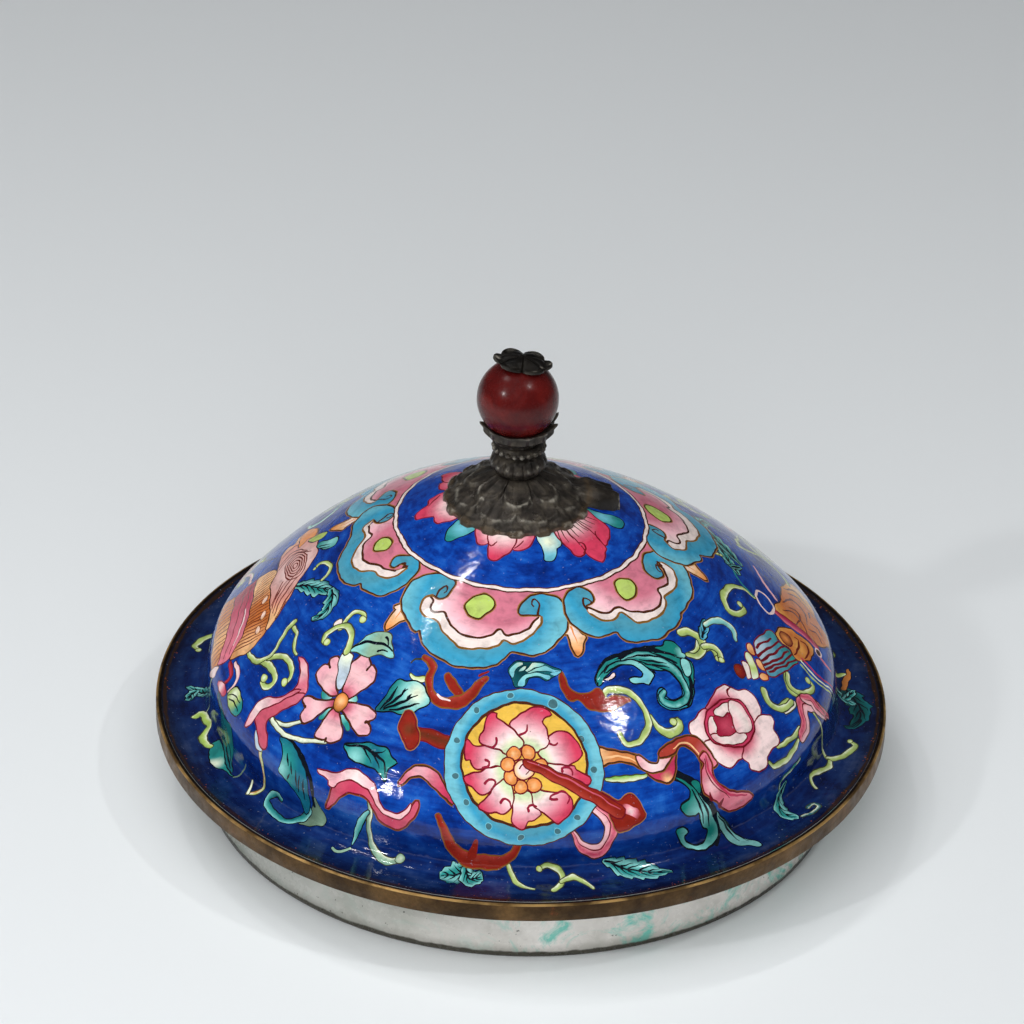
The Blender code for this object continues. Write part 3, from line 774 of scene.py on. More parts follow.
def paint_scroll_leaf(art):
    """Paint the large curling leaf to the right of the wheel, with the green tendrils under it."""
    draw = Sketch(art, *SCROLL_LEAF)
    draw.tendril(
        [(-2.4, -6.9), (-2.5, -8.4), (-2.3, -9.8), (-1.4, -10.9), (0.0, -11.6), (1.5, -11.4),
         (2.7, -10.6), (2.7, -9.8), (1.5, -9.6)], (0.4, 0.9, 1.5, 1.7, 1.5, 1.3, 1.2), ball=0.7)
    draw.tendril(
        [(-9.6, 0.1), (-8.9, 0.6), (-7.5, 0.5), (-6.0, -0.1), (-4.7, -0.8), (-3.9, -2.3), (-3.4, -4.0),
         (-3.2, -5.8), (-3.5, -7.6), (-4.3, -9.1), (-5.6, -10.1), (-7.2, -10.8), (-8.9, -10.8),
         (-10.2, -10.1), (-10.4, -8.0)], (0.9, 1.3, 1.3, 1.3, 1.3, 1.3, 1.1, 0.9))
    draw.patch(
        [(-9.8, 2.6), (-8.8, 4.4), (-7.0, 5.9), (-4.5, 6.7), (-2.5, 6.7), (0.2, 6.5), (3.0, 6.1),
         (5.9, 5.6), (8.0, 4.4), (10.6, 2.4), (11.9, 0.6), (11.0, -1.2), (9.8, -3.4), (8.8, -5.6),
         (6.2, -7.5), (3.2, -7.6), (0.9, -6.0), (0.7, -3.9), (2.2, -2.7), (3.2, -3.2), (2.6, -4.3),
         (3.6, -5.6), (5.6, -5.5), (7.0, -3.8), (6.9, -1.6), (5.2, 0.7), (3.2, 1.4), (0.0, 4.0),
         (-4.0, 4.4), (-7.4, 3.6), (-8.8, 2.4)],
        draw.glow((4.0, -4.0), 2.0, 13.0, TURQUOISE, TEAL, LEAF_GREEN, TEAL), LINE_BLACK, 0.26)
    draw.ink(
        (0.4, 1.1, 0.8, 1.5, 1.3, 0.5), LINE_BLACK,
        [(-9.6, 2.6), (-8.4, 4.4), (-4.6, 6.3), (0.2, 6.1), (4.6, 5.6), (8.6, 3.8)])
    draw.ink(
        (0.2, 0.9, 0.5), LINE_BLACK, [(-5.0, 6.1), (0.6, 5.4), (6.0, 3.6), (8.4, 1.4)],
        [(9.8, 1.6), (10.0, -1.0), (8.6, -5.2), (6.2, -7.3)])
    draw.brush(
        [(-9.2, 3.2), (-8.0, 4.8), (-6.0, 5.7), (-3.0, 6.1)], (0.3, 0.5, 0.5, 0.2), (TEAL,), LINE_BLACK,
        0.0)
    draw.brush(
        [(-2.4, 5.3), (1.5, 4.7), (4.4, 3.1), (6.3, 1.3), (7.6, -0.7), (7.9, -3.2), (7.4, -5.1),
         (5.7, -6.4), (3.6, -6.6), (2.0, -5.5), (1.5, -4.2), (2.9, -3.5)],
        (0.5, 1.6, 2.3, 2.5, 2.3, 1.7, 1.4, 1.3, 1.3, 1.4, 1.5, 0.8), (LEAF_GREEN, TEAL, PALE_TEAL, TEAL),
        LINE_BLACK, 0.22)
    draw.patch(
        [(-7.1, 4.4), (-5.8, 5.0), (-4.1, 5.2), (-2.1, 4.9), (-0.2, 4.3), (0.9, 3.2), (1.9, 2.0),
         (2.4, 0.8), (2.2, 0.0), (0.2, -1.0), (-0.4, -0.4), (-1.7, -0.1), (-2.6, 0.4), (-2.9, 1.1),
         (-2.1, 1.3), (-0.7, 0.8), (0.4, 1.4), (0.2, 2.4), (-1.0, 3.6), (-2.8, 4.5), (-4.9, 4.6)],
        draw.glow((0.0, 0.6), 0.5, 6.0, PALE_TURQUOISE, PALE_TEAL, TEAL), LINE_BLACK, 0.26)
    draw.patch(
        [(-8.0, 2.9), (-6.7, 3.1), (-5.3, 3.4), (-5.5, 2.8), (-6.5, 2.6)], WHITE_PINK, LINE_BLACK, 0.2)
    draw.patch(
        [(5.4, 5.4), (7.5, 5.6), (8.2, 6.4), (9.1, 6.4), (10.4, 5.7), (11.0, 4.4), (10.8, 3.3),
         (11.5, 2.8), (10.7, 2.2), (9.5, 2.7), (8.5, 3.5)],
        draw.glow((11.0, 3.2), 0.4, 3.4, PALE_TEAL, LEAF_GREEN, LEAF_GREEN), LINE_BLACK, 0.24)
    draw.patch(
        [(9.6, 2.0), (10.9, 1.7), (11.4, 0.8), (10.5, -0.9), (9.6, -1.6), (9.1, -0.6)], PALE_TEAL,
        LINE_BLACK, 0.22)
    draw.ink(
        (0.15, 0.55, 0.15), LINE_BLACK, [(-1.9, 5.3), (1.6, 4.8), (4.7, 4.0), (6.7, 2.8)],
        [(1.7, 3.0), (4.3, 2.1), (6.5, 0.8)], [(2.7, 1.8), (2.9, 0.4)],
        [(7.6, 1.9), (8.5, 0.0), (8.5, -2.7)], [(1.0, 4.0), (4.2, 3.0), (6.4, 1.8)])
    draw.ink((1.1, 0.5, 0.2), LINE_BLACK, [(5.2, 5.0), (7.4, 4.2), (9.3, 3.2)])
    draw.tendril([(12.3, 2.4), (14.1, 3.1), (15.6, 4.3), (16.5, 5.6)], (1.0, 1.3, 1.4, 1.4))
    draw.tendril([(15.8, 3.0), (17.9, 3.6), (18.7, 2.6), (18.7, 1.2)], (0.9, 1.0, 1.1, 1.1), ball=0.6)
    below = Sketch(art, *WHEEL_KNOB)
    dark = [(-2.0, 3.9), (0.1, 2.3), (1.7, 0.1), (3.2, -2.7), (4.6, -5.2), (6.3, -8.8), (6.5, -11.4),
            (5.1, -13.2)]
    below.ink((2.4, 2.0, 1.4, 1.2, 1.2, 0.9), LINE_BLACK, dark)
    below.patch(
        [(-1.8, 3.3), (-0.4, 2.0), (0.7, 0.4), (1.7, -1.3), (2.5, -2.7), (3.9, -5.6), (5.9, -9.9),
         (5.9, -11.7), (4.5, -12.8), (2.3, -13.4), (0.5, -13.3), (-1.3, -12.6), (-2.6, -11.6),
         (-3.5, -10.4), (-4.3, -8.7), (-4.8, -7.3), (-4.1, -7.0), (-2.8, -7.5), (-1.8, -8.6),
         (-2.8, -9.4), (-2.0, -10.9), (-0.6, -12.2), (1.4, -12.5), (2.9, -12.0), (3.3, -10.8),
         (3.4, -9.5), (2.2, -8.4), (1.4, -7.0), (0.9, -5.0), (-0.1, -5.1), (-1.5, -4.7), (-2.5, -3.7),
         (-3.0, -2.6), (-2.1, -2.0), (-0.6, -1.8), (-0.0, -0.8), (-0.0, 0.4)],
        below.glow((4.0, -10.0), 1.0, 10.0, LEAF_GREEN, PALE_TEAL, LEAF_GREEN), LINE_BLACK, 0.32)
    below.patch(
        [(0.8, 1.2), (1.8, 1.4), (2.5, 0.8), (2.3, -0.2), (1.7, -1.1)], LEAF_GREEN, LINE_BLACK, 0.2)
    below.ink(
        (0.25, 0.6, 0.2), LINE_BLACK, [(0.5, -0.1), (1.1, -2.4), (1.6, -5.0), (2.2, -7.7)],
        [(1.5, -1.2), (2.3, -3.3), (3.1, -6.1), (3.6, -8.8)], [(2.3, -2.3), (3.4, -4.2), (4.4, -6.7)])
    below.patch(
        [(5.4, -6.0), (7.4, -8.4), (9.4, -10.7), (11.0, -12.2), (12.2, -13.7), (14.4, -16.0),
         (13.5, -17.3), (11.6, -15.8), (9.9, -15.3), (9.1, -13.9), (8.3, -12.1), (6.8, -10.1)],
        PALE_TEAL * 0.6, LINE_BLACK, 0.28)
    below.ink(
        (0.25, 0.55, 0.2), LINE_BLACK, [(6.1, -7.1), (8.6, -10.3), (10.1, -12.3), (10.8, -13.8)],
        [(6.6, -7.0), (9.4, -10.3), (11.4, -12.5), (12.5, -14.6)])


def paint_right_ribbon(art):
    """Paint the ribbon that runs from the wheel past the peony, with the green stem under it."""
    draw = Sketch(art, *WHEEL_KNOB)
    draw.brush(
        [(-15.4, 8.1), (-13.8, 7.4), (-11.9, 6.7), (-9.8, 6.2), (-7.6, 5.6)], (0.6, 0.9, 1.0, 1.0, 0.6),
        (WHITE_GREEN, SCROLL_GREEN, STEM_GREEN), LINE_OLIVE, 0.2)
    draw.patch(
        [(-14.2, 14.0), (-12.8, 13.3), (-11.3, 12.4), (-9.8, 11.3), (-8.7, 10.4), (-7.6, 9.4),
         (-7.6, 7.5), (-8.9, 8.6), (-10.2, 9.6), (-11.6, 10.4), (-13.1, 10.9), (-14.9, 11.4)],
        draw.glow((-14.6, 13.6), 0.5, 7.0, PEACH, TAN_BROWN, TAN_BROWN), LINE_BROWN, 0.28, RUST_LINE)
    draw.ink((0.5, 0.4, 0.2), PEACH, [(-14.0, 12.1), (-11.4, 11.5), (-9.2, 9.7), (-7.8, 8.4)])
    draw.patch(
        [(-7.0, 5.9), (-5.2, 5.5), (-3.5, 5.5), (-1.7, 6.6), (-0.1, 8.0), (-0.8, 6.1), (-1.4, 4.6),
         (-2.4, 3.5), (-3.9, 3.1), (-5.1, 3.6), (-6.1, 4.4)],
        draw.glow((-3.6, 3.2), 0.4, 3.4, PEACH, ROSE, ROSE), LINE_BROWN, 0.26, RUST_LINE)
    draw.patch(
        [(-7.7, 9.6), (-6.9, 9.1), (-5.8, 7.6), (-4.5, 6.9), (-3.3, 8.0), (-2.0, 9.2), (-0.5, 9.6),
         (0.2, 8.5), (-1.2, 7.1), (-2.3, 6.2), (-4.2, 5.5), (-5.9, 5.7), (-7.1, 6.6), (-7.8, 8.0)],
        draw.glow((-5.0, 7.0), 0.4, 5.0, WHITE_PINK, PALE_PINK, PINK), LINE_BROWN, 0.24, RUST_LINE)
    draw.patch(
        [(-3.3, 8.0), (-1.9, 9.4), (-0.6, 9.8), (1.1, 9.9), (2.7, 10.1), (4.5, 9.9), (5.9, 8.9),
         (6.9, 7.6), (7.4, 6.0), (7.6, 4.3), (7.9, 3.4), (6.4, 3.0), (4.4, 3.0), (4.8, 4.5), (4.5, 6.3),
         (3.5, 7.8), (2.5, 8.7), (1.1, 8.6), (-0.7, 7.7)],
        draw.glow((7.6, 4.0), 0.5, 10.0, PINK, ROSE_BROWN, ROSE_BROWN), LINE_BROWN, 0.26, RUST_LINE)
    draw.ink((0.2, 0.4, 0.4, 0.2), PEACH, [(0.0, 8.6), (2.6, 9.1), (4.4, 7.4), (5.2, 5.0)])
    draw.patch(
        [(4.8, 5.6), (5.2, 4.2), (4.2, 2.6), (3.4, 1.1), (3.0, -1.0), (3.9, -2.1), (4.2, -2.6),
         (5.3, -3.6), (6.7, -5.0), (8.4, -6.1), (10.5, -6.5), (12.5, -6.3), (14.2, -5.4), (15.5, -4.5),
         (13.3, -3.3), (11.1, -3.2), (9.0, -2.6), (7.3, -1.2), (6.3, 0.2), (5.9, 1.6), (6.6, 4.1),
         (6.3, 6.3)], draw.glow((5.0, -0.6), 0.5, 7.5, PALE_PINK, PINK_RIBBON, PINK_RIBBON, PINK),
        LINE_RED, 0.26, RUST_LINE)
    draw.ink((0.3, 0.6, 0.5, 0.3), ROSE, [(6.1, 5.6), (5.5, 2.4), (6.6, -0.4), (9.0, -3.2), (13.6, -3.8)])
    draw.ink((0.2, 0.3, 0.2), LINE_RED, [(5.6, 5.0), (5.0, 2.0), (6.0, -0.8), (8.6, -3.6)])
    draw.ink((1.2, 0.3), LINE_RED, [(4.2, -2.9), (4.3, -1.5)], [(6.2, -4.9), (7.1, -3.6)])


def paint_peony(art):
    """Paint the open peony: notched petals round a rose ring, with a cupped heart."""
    draw = Sketch(art, *PEONY)
    petals = (
        [(0.5, 6.6), (2.0, 7.1), (3.3, 7.5), (4.8, 7.6), (5.9, 6.7), (7.1, 5.3), (8.9, 4.9), (9.8, 3.8),
         (10.1, 1.8), (9.5, 0.0), (8.2, -1.2), (5.0, -2.0), (0.0, 2.0), (-2.0, 4.8), (-2.0, 5.5)],
        [(-2.5, 5.2), (-4.1, 5.4), (-6.0, 4.8), (-7.8, 4.3), (-8.7, 3.2), (-8.2, 1.4), (-7.4, 0.2),
         (-6.0, -0.1), (-3.0, 1.0), (-2.2, 4.4)],
        [(-7.2, -0.1), (-5.8, -0.2), (0.0, 0.0), (1.1, -4.3), (-0.8, -6.4), (-2.0, -6.3), (-3.6, -6.5),
         (-5.2, -6.6), (-6.3, -5.4), (-7.1, -4.1), (-7.1, -2.2)],
        [(5.6, -2.1), (7.4, -1.4), (8.7, -0.9), (10.3, -1.3), (11.4, -2.0), (11.3, -3.1), (10.1, -4.2),
         (10.3, -5.4), (10.1, -6.7), (8.6, -7.6), (6.4, -7.9), (4.9, -8.7), (4.2, -10.0), (3.0, -10.6),
         (0.9, -10.2), (-0.4, -9.2), (-0.1, -7.8), (-0.8, -6.4), (1.0, -4.5), (2.0, -2.0)],
    )
    wash = draw.glow((0.6, 0.4), 4.8, 9.4, CRIMSON, PINK_RIBBON, PALE_PINK, WHITE_PINK, WHITE_PINK)
    for petal in petals:
        draw.patch(petal, wash, LINE_RED, 0.25)
    draw.patch(
        [(-5.1, 2.4), (-3.7, 3.8), (-1.8, 4.7), (0.7, 5.1), (3.1, 4.8), (5.1, 4.0), (6.4, 2.6),
         (6.6, 0.7), (6.2, -1.4), (4.8, -3.1), (3.0, -4.2), (1.0, -4.5), (-1.3, -3.9), (-3.5, -2.5),
         (-5.1, -0.8), (-5.5, 0.8)], ROSE, LINE_RED, 0.3)
    inner_petals = (
        [(-1.2, 3.9), (0.3, 4.4), (2.9, 4.2), (2.9, 3.5), (1.9, 2.3), (-0.2, 2.3), (-1.3, 3.1)],
        [(3.5, 4.2), (5.0, 3.6), (5.7, 2.2), (5.9, 0.5), (5.6, -1.4), (4.2, -2.7), (2.8, -2.6),
         (1.4, -2.0), (1.2, -0.8), (2.2, 1.3), (2.4, 2.6)],
        [(-2.5, 3.4), (-1.9, 2.4), (-2.5, 0.9), (-3.3, -0.1), (-4.5, 0.3), (-5.0, 1.0), (-4.2, 2.4)],
        [(-4.9, 0.5), (-3.3, -0.1), (-1.3, -1.3), (0.3, -1.1), (1.5, -2.3), (2.8, -3.0), (2.6, -3.6),
         (0.9, -3.8), (-1.3, -3.5), (-3.3, -2.3), (-4.6, -1.0)],
    )
    for petal in inner_petals:
        draw.patch(
            petal, draw.glow((0.8, 0.2), 1.5, 6.0, PALE_PINK, WHITE_PINK, CREAM, PALE_PINK), LINE_RED,
            0.22)
    draw.patch(
        [(-1.9, 3.1), (-0.3, 2.2), (2.0, 2.1), (0.9, -0.4), (0.8, -1.3), (-1.3, -1.3), (-3.3, -0.1),
         (-2.4, 1.1)], draw.glow((-0.4, 0.4), 0.4, 2.6, HEART_ROSE, CRIMSON), LINE_RED, 0.2)
    draw.ink((0.3, 0.5, 0.3), LINE_RED, [(5.9, 6.7), (4.7, 6.5), (4.2, 5.8), (4.2, 5.1)])


def paint_peony_spray(art):
    """Paint the peony with its stems, curls and small leaves."""
    draw = Sketch(art, *PEONY)
    draw.tendril([(9.0, -7.9), (11.5, -7.8), (14.6, -7.3), (17.9, -6.0)], (0.8, 0.9, 1.0, 0.8))
    draw.tendril(
        [(15.9, -8.2), (13.6, -9.8), (11.0, -10.8), (8.0, -11.2), (5.8, -10.9), (4.9, -10.0)],
        (0.7, 1.1, 1.2, 1.1, 0.9, 0.6))
    draw.tendril(
        [(15.8, -12.0), (12.9, -13.5), (9.7, -14.4), (8.0, -15.7), (7.9, -17.0)],
        (0.5, 0.6, 0.7, 0.6, 0.4), TEAL)
    draw.tendril(
        [(22.9, 5.9), (21.8, 4.2), (21.0, 2.4), (21.3, 1.2), (22.8, 0.1)], (1.2, 1.4, 1.4, 1.2, 1.2))
    draw.tendril(
        [(18.7, 0.1), (16.9, -0.4), (15.0, -0.7), (13.7, 0.1), (13.2, 1.4), (13.2, 2.2)],
        (0.9, 1.0, 1.1, 1.2, 1.3, 1.0), ball=0.8)
    draw.tendril([(19.9, -0.8), (18.0, -1.6), (15.9, -2.0)], (1.0, 1.4, 1.0), CREAM)
    paint_peony(art)
    draw = Sketch(art)
    draw.leaf([(-34.0, 82.2), (-36.0, 84.8), (-37.0, 88.0), (-36.2, 91.2)], (0.8, 2.6, 4.4, 1.6), veins=4)
    draw.tendril(
        [(-35.6, 91.6), (-33.5, 92.6), (-31.6, 92.4), (-31.4, 90.9), (-33.0, 90.8)], (0.6, 0.8, 0.7, 0.6),
        DEEP_TEAL)
    draw.ribbon(
        [(-27.2, 76.2), (-24.4, 75.0), (-22.6, 72.6), (-21.2, 71.8), (-19.0, 73.6), (-17.0, 76.8),
         (-14.4, 80.0)], (2.2, 2.8, 3.0, 3.4, 2.8, 2.2, 0.7))
    draw.tendril([(-20.2, 74.8), (-19.2, 79.0), (-18.3, 83.6), (-18.3, 87.6)], (0.5, 0.6, 0.8, 1.2))
    draw.tendril(
        [(-18.3, 87.4), (-16.6, 89.2), (-14.4, 90.8), (-12.2, 91.4), (-11.2, 90.2)], (1.0, 1.5, 1.3, 0.8),
        ball=0.6)
    draw.tendril(
        [(-18.5, 87.9), (-20.4, 88.3), (-23.1, 86.9), (-25.7, 86.6), (-27.2, 88.8)], (1.0, 1.1, 0.9, 0.6))
    draw.tendril(
        [(-28.4, 64.0), (-29.3, 66.0), (-28.6, 68.2), (-26.2, 69.6), (-23.6, 69.6)], (1.6, 1.4, 1.3, 1.0))
    draw.tendril(
        [(-18.6, 65.6), (-20.7, 67.4), (-19.6, 70.0), (-16.6, 71.9), (-14.4, 71.7), (-14.6, 70.2)],
        (0.9, 1.2, 1.3, 1.1, 0.9), ball=0.7)
    draw.tendril(
        [(-37.6, 45.0), (-35.0, 45.6), (-33.2, 48.0), (-34.8, 50.2), (-38.4, 50.6), (-40.4, 49.6)],
        (1.4, 1.6, 1.7, 1.2, 0.8))
    draw.tendril([(-34.4, 50.0), (-32.0, 50.9), (-31.4, 52.6), (-32.6, 54.0)], (1.0, 1.2, 1.1), ball=0.6)
    draw.leaf(
        [(-33.0, 48.6), (-30.2, 47.4), (-26.4, 46.6)], (0.8, 2.2, 1.2), TURQUOISE, PALE_TURQUOISE, 2)
    draw.tendril(
        [(-28.0, 47.0), (-24.6, 47.4), (-22.0, 49.0), (-21.6, 51.6), (-23.6, 53.2)],
        (0.9, 1.2, 1.6, 1.4, 0.8), PALE_TEAL)


def paint_blossom(art):
    """Paint the five-petalled blossom with its sepals, its curls and the leaf beside them."""
    draw = Sketch(art, *BLOSSOM)
    sepals = (
        [(1.4, -2.1), (2.5, -2.0), (4.2, -3.0), (5.0, -3.8), (4.4, -4.5), (2.0, -2.7)],
        [(-1.2, -1.8), (-2.9, -4.4), (-3.0, -5.0), (-2.0, -4.9), (-1.1, -2.5)],
        [(-5.3, 0.6), (-3.0, 0.0), (-2.4, -0.3), (-4.2, -1.1), (-5.0, -0.7)],
        [(1.2, 1.7), (2.4, 2.8), (3.3, 2.1), (3.1, 1.3), (1.9, 0.7)],
    )
    for sepal in sepals:
        draw.patch(sepal, draw.glow((0.0, 0.0), 1.5, 5.0, WHITE_GREEN, PALE_TEAL, TEAL), LINE_OLIVE, 0.15)
    petals = (
        [(-2.9, 0.3), (-5.2, 0.9), (-7.2, 1.8), (-8.5, 2.9), (-8.8, 4.0), (-7.8, 5.4), (-6.6, 5.3),
         (-7.2, 6.7), (-6.8, 7.5), (-6.1, 8.1), (-4.7, 7.1), (-4.5, 5.6), (-3.3, 2.8), (-1.6, 1.0)],
        [(0.6, 1.2), (-0.8, 2.5), (-1.2, 4.1), (-2.0, 7.6), (-1.6, 9.2), (-1.0, 10.6), (0.0, 10.7),
         (1.6, 9.5), (1.6, 8.5), (2.1, 9.5), (3.4, 9.0), (4.0, 8.1), (4.2, 6.8), (2.9, 4.0), (1.1, 1.4)],
        [(1.0, 0.4), (3.5, 1.0), (6.1, 2.0), (8.3, 1.4), (8.4, 0.4), (7.2, -0.9), (8.2, -1.1),
         (9.1, -1.8), (9.2, -2.8), (8.2, -3.4), (6.8, -3.6), (3.9, -2.3), (1.0, -0.9)],
        [(-0.5, -1.4), (-1.5, -4.9), (-1.8, -8.0), (-0.9, -8.5), (0.3, -8.2), (0.9, -7.7), (1.9, -8.0),
         (3.9, -6.9), (3.8, -5.7), (2.8, -4.2), (0.2, -1.4)],
        [(-1.2, -0.4), (-5.2, -1.8), (-8.2, -2.0), (-8.6, -2.9), (-7.2, -4.0), (-7.4, -6.1), (-6.1, -7.1),
         (-4.9, -6.2), (-2.6, -2.7), (-1.0, -1.3)],
    )
    wash = draw.glow(
        (0.0, 0.1), 1.4, 8.6, CRIMSON, PINK_RIBBON, PETAL_PINK, PALE_PINK, PALE_PINK, PETAL_PINK)
    for petal in petals:
        draw.patch(petal, wash, LINE_BROWN, 0.34)
    draw.ink(
        (0.7, 0.4), LINE_BROWN, [(-6.6, 5.3), (-7.4, 6.0)], [(1.6, 8.5), (1.9, 9.5)],
        [(7.2, -0.9), (8.2, -0.6)], [(0.9, -7.7), (1.1, -8.4)], [(-7.2, -4.0), (-7.9, -3.9)])
    draw.patch(
        [(-5.5, 8.2), (-5.2, 9.7), (-3.3, 9.6), (-2.6, 8.7), (-2.1, 7.1), (-1.4, 3.6), (-1.4, 2.3),
         (-2.0, 2.2), (-3.2, 3.3), (-4.2, 5.2)],
        draw.glow((-4.0, 9.0), 0.5, 6.0, WHITE_GREEN, SKY_GREY, SKY_GREY), LINE_BROWN, 0.22)
    draw.dot(
        (0.0, 0.05), 1.45, draw.glow((0.0, 0.2), 0.3, 2.2, PEACH, ORANGE, RUST_LINE), LINE_BROWN, 0.2,
        1.35)
    draw.patch(
        [(-4.8, 10.2), (-3.7, 11.8), (-2.7, 13.5), (-2.5, 14.6), (-0.6, 16.5), (1.1, 17.1), (2.2, 16.6),
         (2.9, 15.6), (4.2, 14.5), (5.2, 13.4), (4.1, 12.8), (2.3, 12.3), (0.8, 11.5), (-0.2, 10.6),
         (-3.3, 10.4)], draw.glow((5.0, 13.6), 1.0, 9.0, PALE_TEAL, SAGE, SAGE, PALE_TEAL), LINE_OLIVE,
        0.2)
    draw.ink(
        (0.2, 0.7, 0.6, 0.3), LINE_BLACK,
        [(-4.8, 10.2), (-3.3, 12.0), (-1.9, 13.4), (-0.1, 14.2), (2.0, 14.6), (4.3, 14.3)])
    draw.ink(
        (0.6, 0.2), LINE_BLACK, [(1.2, 16.1), (2.1, 15.6), (2.9, 14.8)],
        [(1.5, 12.8), (2.3, 13.5), (3.5, 13.6)])
    draw.tendril(
        [(-9.3, 13.9), (-9.3, 15.4), (-9.1, 16.7), (-8.6, 17.9), (-7.6, 18.5), (-6.6, 18.6), (-5.8, 18.2),
         (-5.8, 17.4)], (1.3, 1.0, 0.9, 0.8, 0.9, 1.2), ball=0.8)
    draw.patch([(-11.2, 13.8), (-11.5, 14.9), (-10.6, 15.7), (-9.7, 14.0)], CREAM, LINE_OLIVE, 0.2)
    draw.tendril(
        [(-5.0, 9.8), (-5.3, 11.7), (-5.8, 13.2), (-7.2, 14.4), (-8.9, 14.5), (-10.3, 13.8),
         (-11.4, 12.5), (-11.9, 11.1), (-11.6, 10.0), (-10.7, 10.1)], (1.5, 1.3, 1.2, 1.1, 1.0, 1.0, 1.2),
        ball=0.75)


def paint_left_spray(art):
    """Paint the ribbon, the leaf and the stems between the conch and the blossom."""
    draw = Sketch(art, *LEFT_SPRAY)
    draw.tendril(
        [(-7.4, 4.0), (-5.9, 3.7), (-4.2, 4.0), (-2.3, 4.8), (0.5, 6.8)], (1.0, 0.8, 0.7, 0.8, 0.5),
        WHITE_GREEN)
    draw.tendril(
        [(-7.1, 3.9), (-4.8, 3.0), (-2.2, 2.6), (0.1, 2.8), (2.6, 3.7), (4.8, 4.7), (7.7, 6.4)],
        (0.8, 1.0, 0.9, 0.9, 0.8, 0.8), WHITE_GREEN)
    draw.brush(
        [(-6.5, -2.4), (-6.4, -3.9), (-5.5, -5.7), (-4.8, -7.8), (-5.0, -10.2), (-5.6, -11.6),
         (-6.7, -12.7), (-8.0, -13.6)], (1.3, 0.9, 0.7, 0.7, 0.6, 0.7),
        (TAN_BROWN, WHITE_GREEN, SCROLL_GREEN), LINE_OLIVE, 0.18)
    draw.brush(
        [(-8.0, -13.6), (-8.9, -12.3), (-9.4, -10.9)], (0.6, 0.8, 0.4), (WHITE_GREEN,), LINE_OLIVE, 0.18)
    draw.patch(
        [(-9.7, 0.3), (-9.0, -1.6), (-7.8, -2.9), (-6.1, -2.7), (-7.2, -1.6)], SKY_GREY, LINE_BROWN, 0.2)
    draw.patch(
        [(-9.4, 17.6), (-7.6, 17.4), (-5.9, 16.5), (-4.4, 15.0), (-3.3, 13.3), (-2.9, 11.6), (-4.0, 9.4),
         (-6.3, 9.6), (-5.7, 11.2), (-5.7, 13.2), (-6.5, 15.0), (-7.9, 16.3)],
        draw.glow((-6.6, 15.6), 0.6, 6.0, PALE_PINK, PINK_RIBBON, PINK), LINE_RED, 0.26)
    draw.patch(
        [(-2.9, 11.6), (-3.4, 9.5), (-4.5, 8.0), (-6.6, 5.4), (-8.1, 3.5), (-7.7, 1.8), (-6.4, 0.5),
         (-4.9, -1.5), (-5.6, -2.1), (-7.1, -1.8), (-9.4, 0.4), (-11.3, 2.5), (-11.4, 3.9), (-10.5, 4.9),
         (-7.9, 7.5), (-5.3, 10.3)],
        draw.glow((-9.6, 2.0), 0.5, 11.0, ROSE_RIBBON, ROSE_RIBBON, PINK_RIBBON), LINE_RED, 0.26)
    draw.patch(
        [(-4.4, 11.9), (-6.3, 10.3), (-7.4, 8.9), (-11.0, 7.2), (-12.6, 6.2), (-13.3, 5.0), (-13.5, 3.6),
         (-13.4, 2.0), (-13.4, -0.2), (-11.7, 1.7), (-11.4, 3.9), (-10.5, 4.9), (-7.9, 7.5),
         (-5.3, 10.3)], draw.glow((-12.4, 5.0), 0.5, 8.0, WHITE_PINK, PETAL_PINK, PINK_RIBBON), LINE_RED,
        0.26)
    draw.patch(
        [(11.0, -4.5), (12.1, -5.8), (14.6, -7.5), (14.7, -9.0), (13.7, -10.1), (10.2, -12.0),
         (8.5, -12.7), (10.2, -10.1), (10.6, -7.6)],
        draw.glow((14.0, -9.0), 0.5, 4.0, SAGE, SAGE * 0.6, SAGE * 0.45), LINE_BLACK, 0.15)
    draw.brush(
        [(9.9, -8.6), (9.0, -11.0), (6.9, -12.9), (4.4, -14.3), (0.9, -14.0), (-2.0, -13.1),
         (-2.3, -11.6), (-0.2, -10.2), (1.6, -10.8)], (1.7, 1.5, 1.1, 1.1, 1.2, 1.4, 1.5, 1.1, 0.7),
        (DEEP_TEAL, TEAL, PALE_TEAL), LINE_BLACK, 0.2)
    draw.ink(
        (0.4, 0.9, 1.2, 1.1, 0.8), LINE_BLACK,
        [(-2.8, 1.6), (0.4, 1.9), (4.2, 1.0), (7.4, -0.8), (9.9, -3.5), (11.1, -6.8)])
    draw.patch(
        [(-2.8, 1.6), (0.1, 1.8), (4.0, 0.6), (6.9, -1.3), (8.9, -4.2), (9.9, -7.9), (9.2, -10.0),
         (8.1, -8.7), (6.8, -7.4), (5.5, -6.5), (3.6, -5.6), (0.9, -4.9), (-0.2, -4.3), (0.2, -3.2),
         (0.1, -1.1), (-0.7, 0.1)],
        draw.glow((0.4, -3.8), 0.5, 9.0, PALE_TEAL, TEAL, LEAF_BLUE, LEAF_BLUE), LINE_BLACK, 0.22)
    draw.ink(
        (0.2, 0.55, 0.25), LINE_BLACK, [(1.2, -0.3), (2.3, -2.4)], [(2.7, -1.3), (3.7, -3.5)],
        [(4.4, -2.2), (5.9, -5.2)], [(5.8, -2.8), (6.7, -6.0)], [(7.1, -2.9), (8.5, -6.9)],
        [(3.2, -3.8), (2.9, -5.0)])


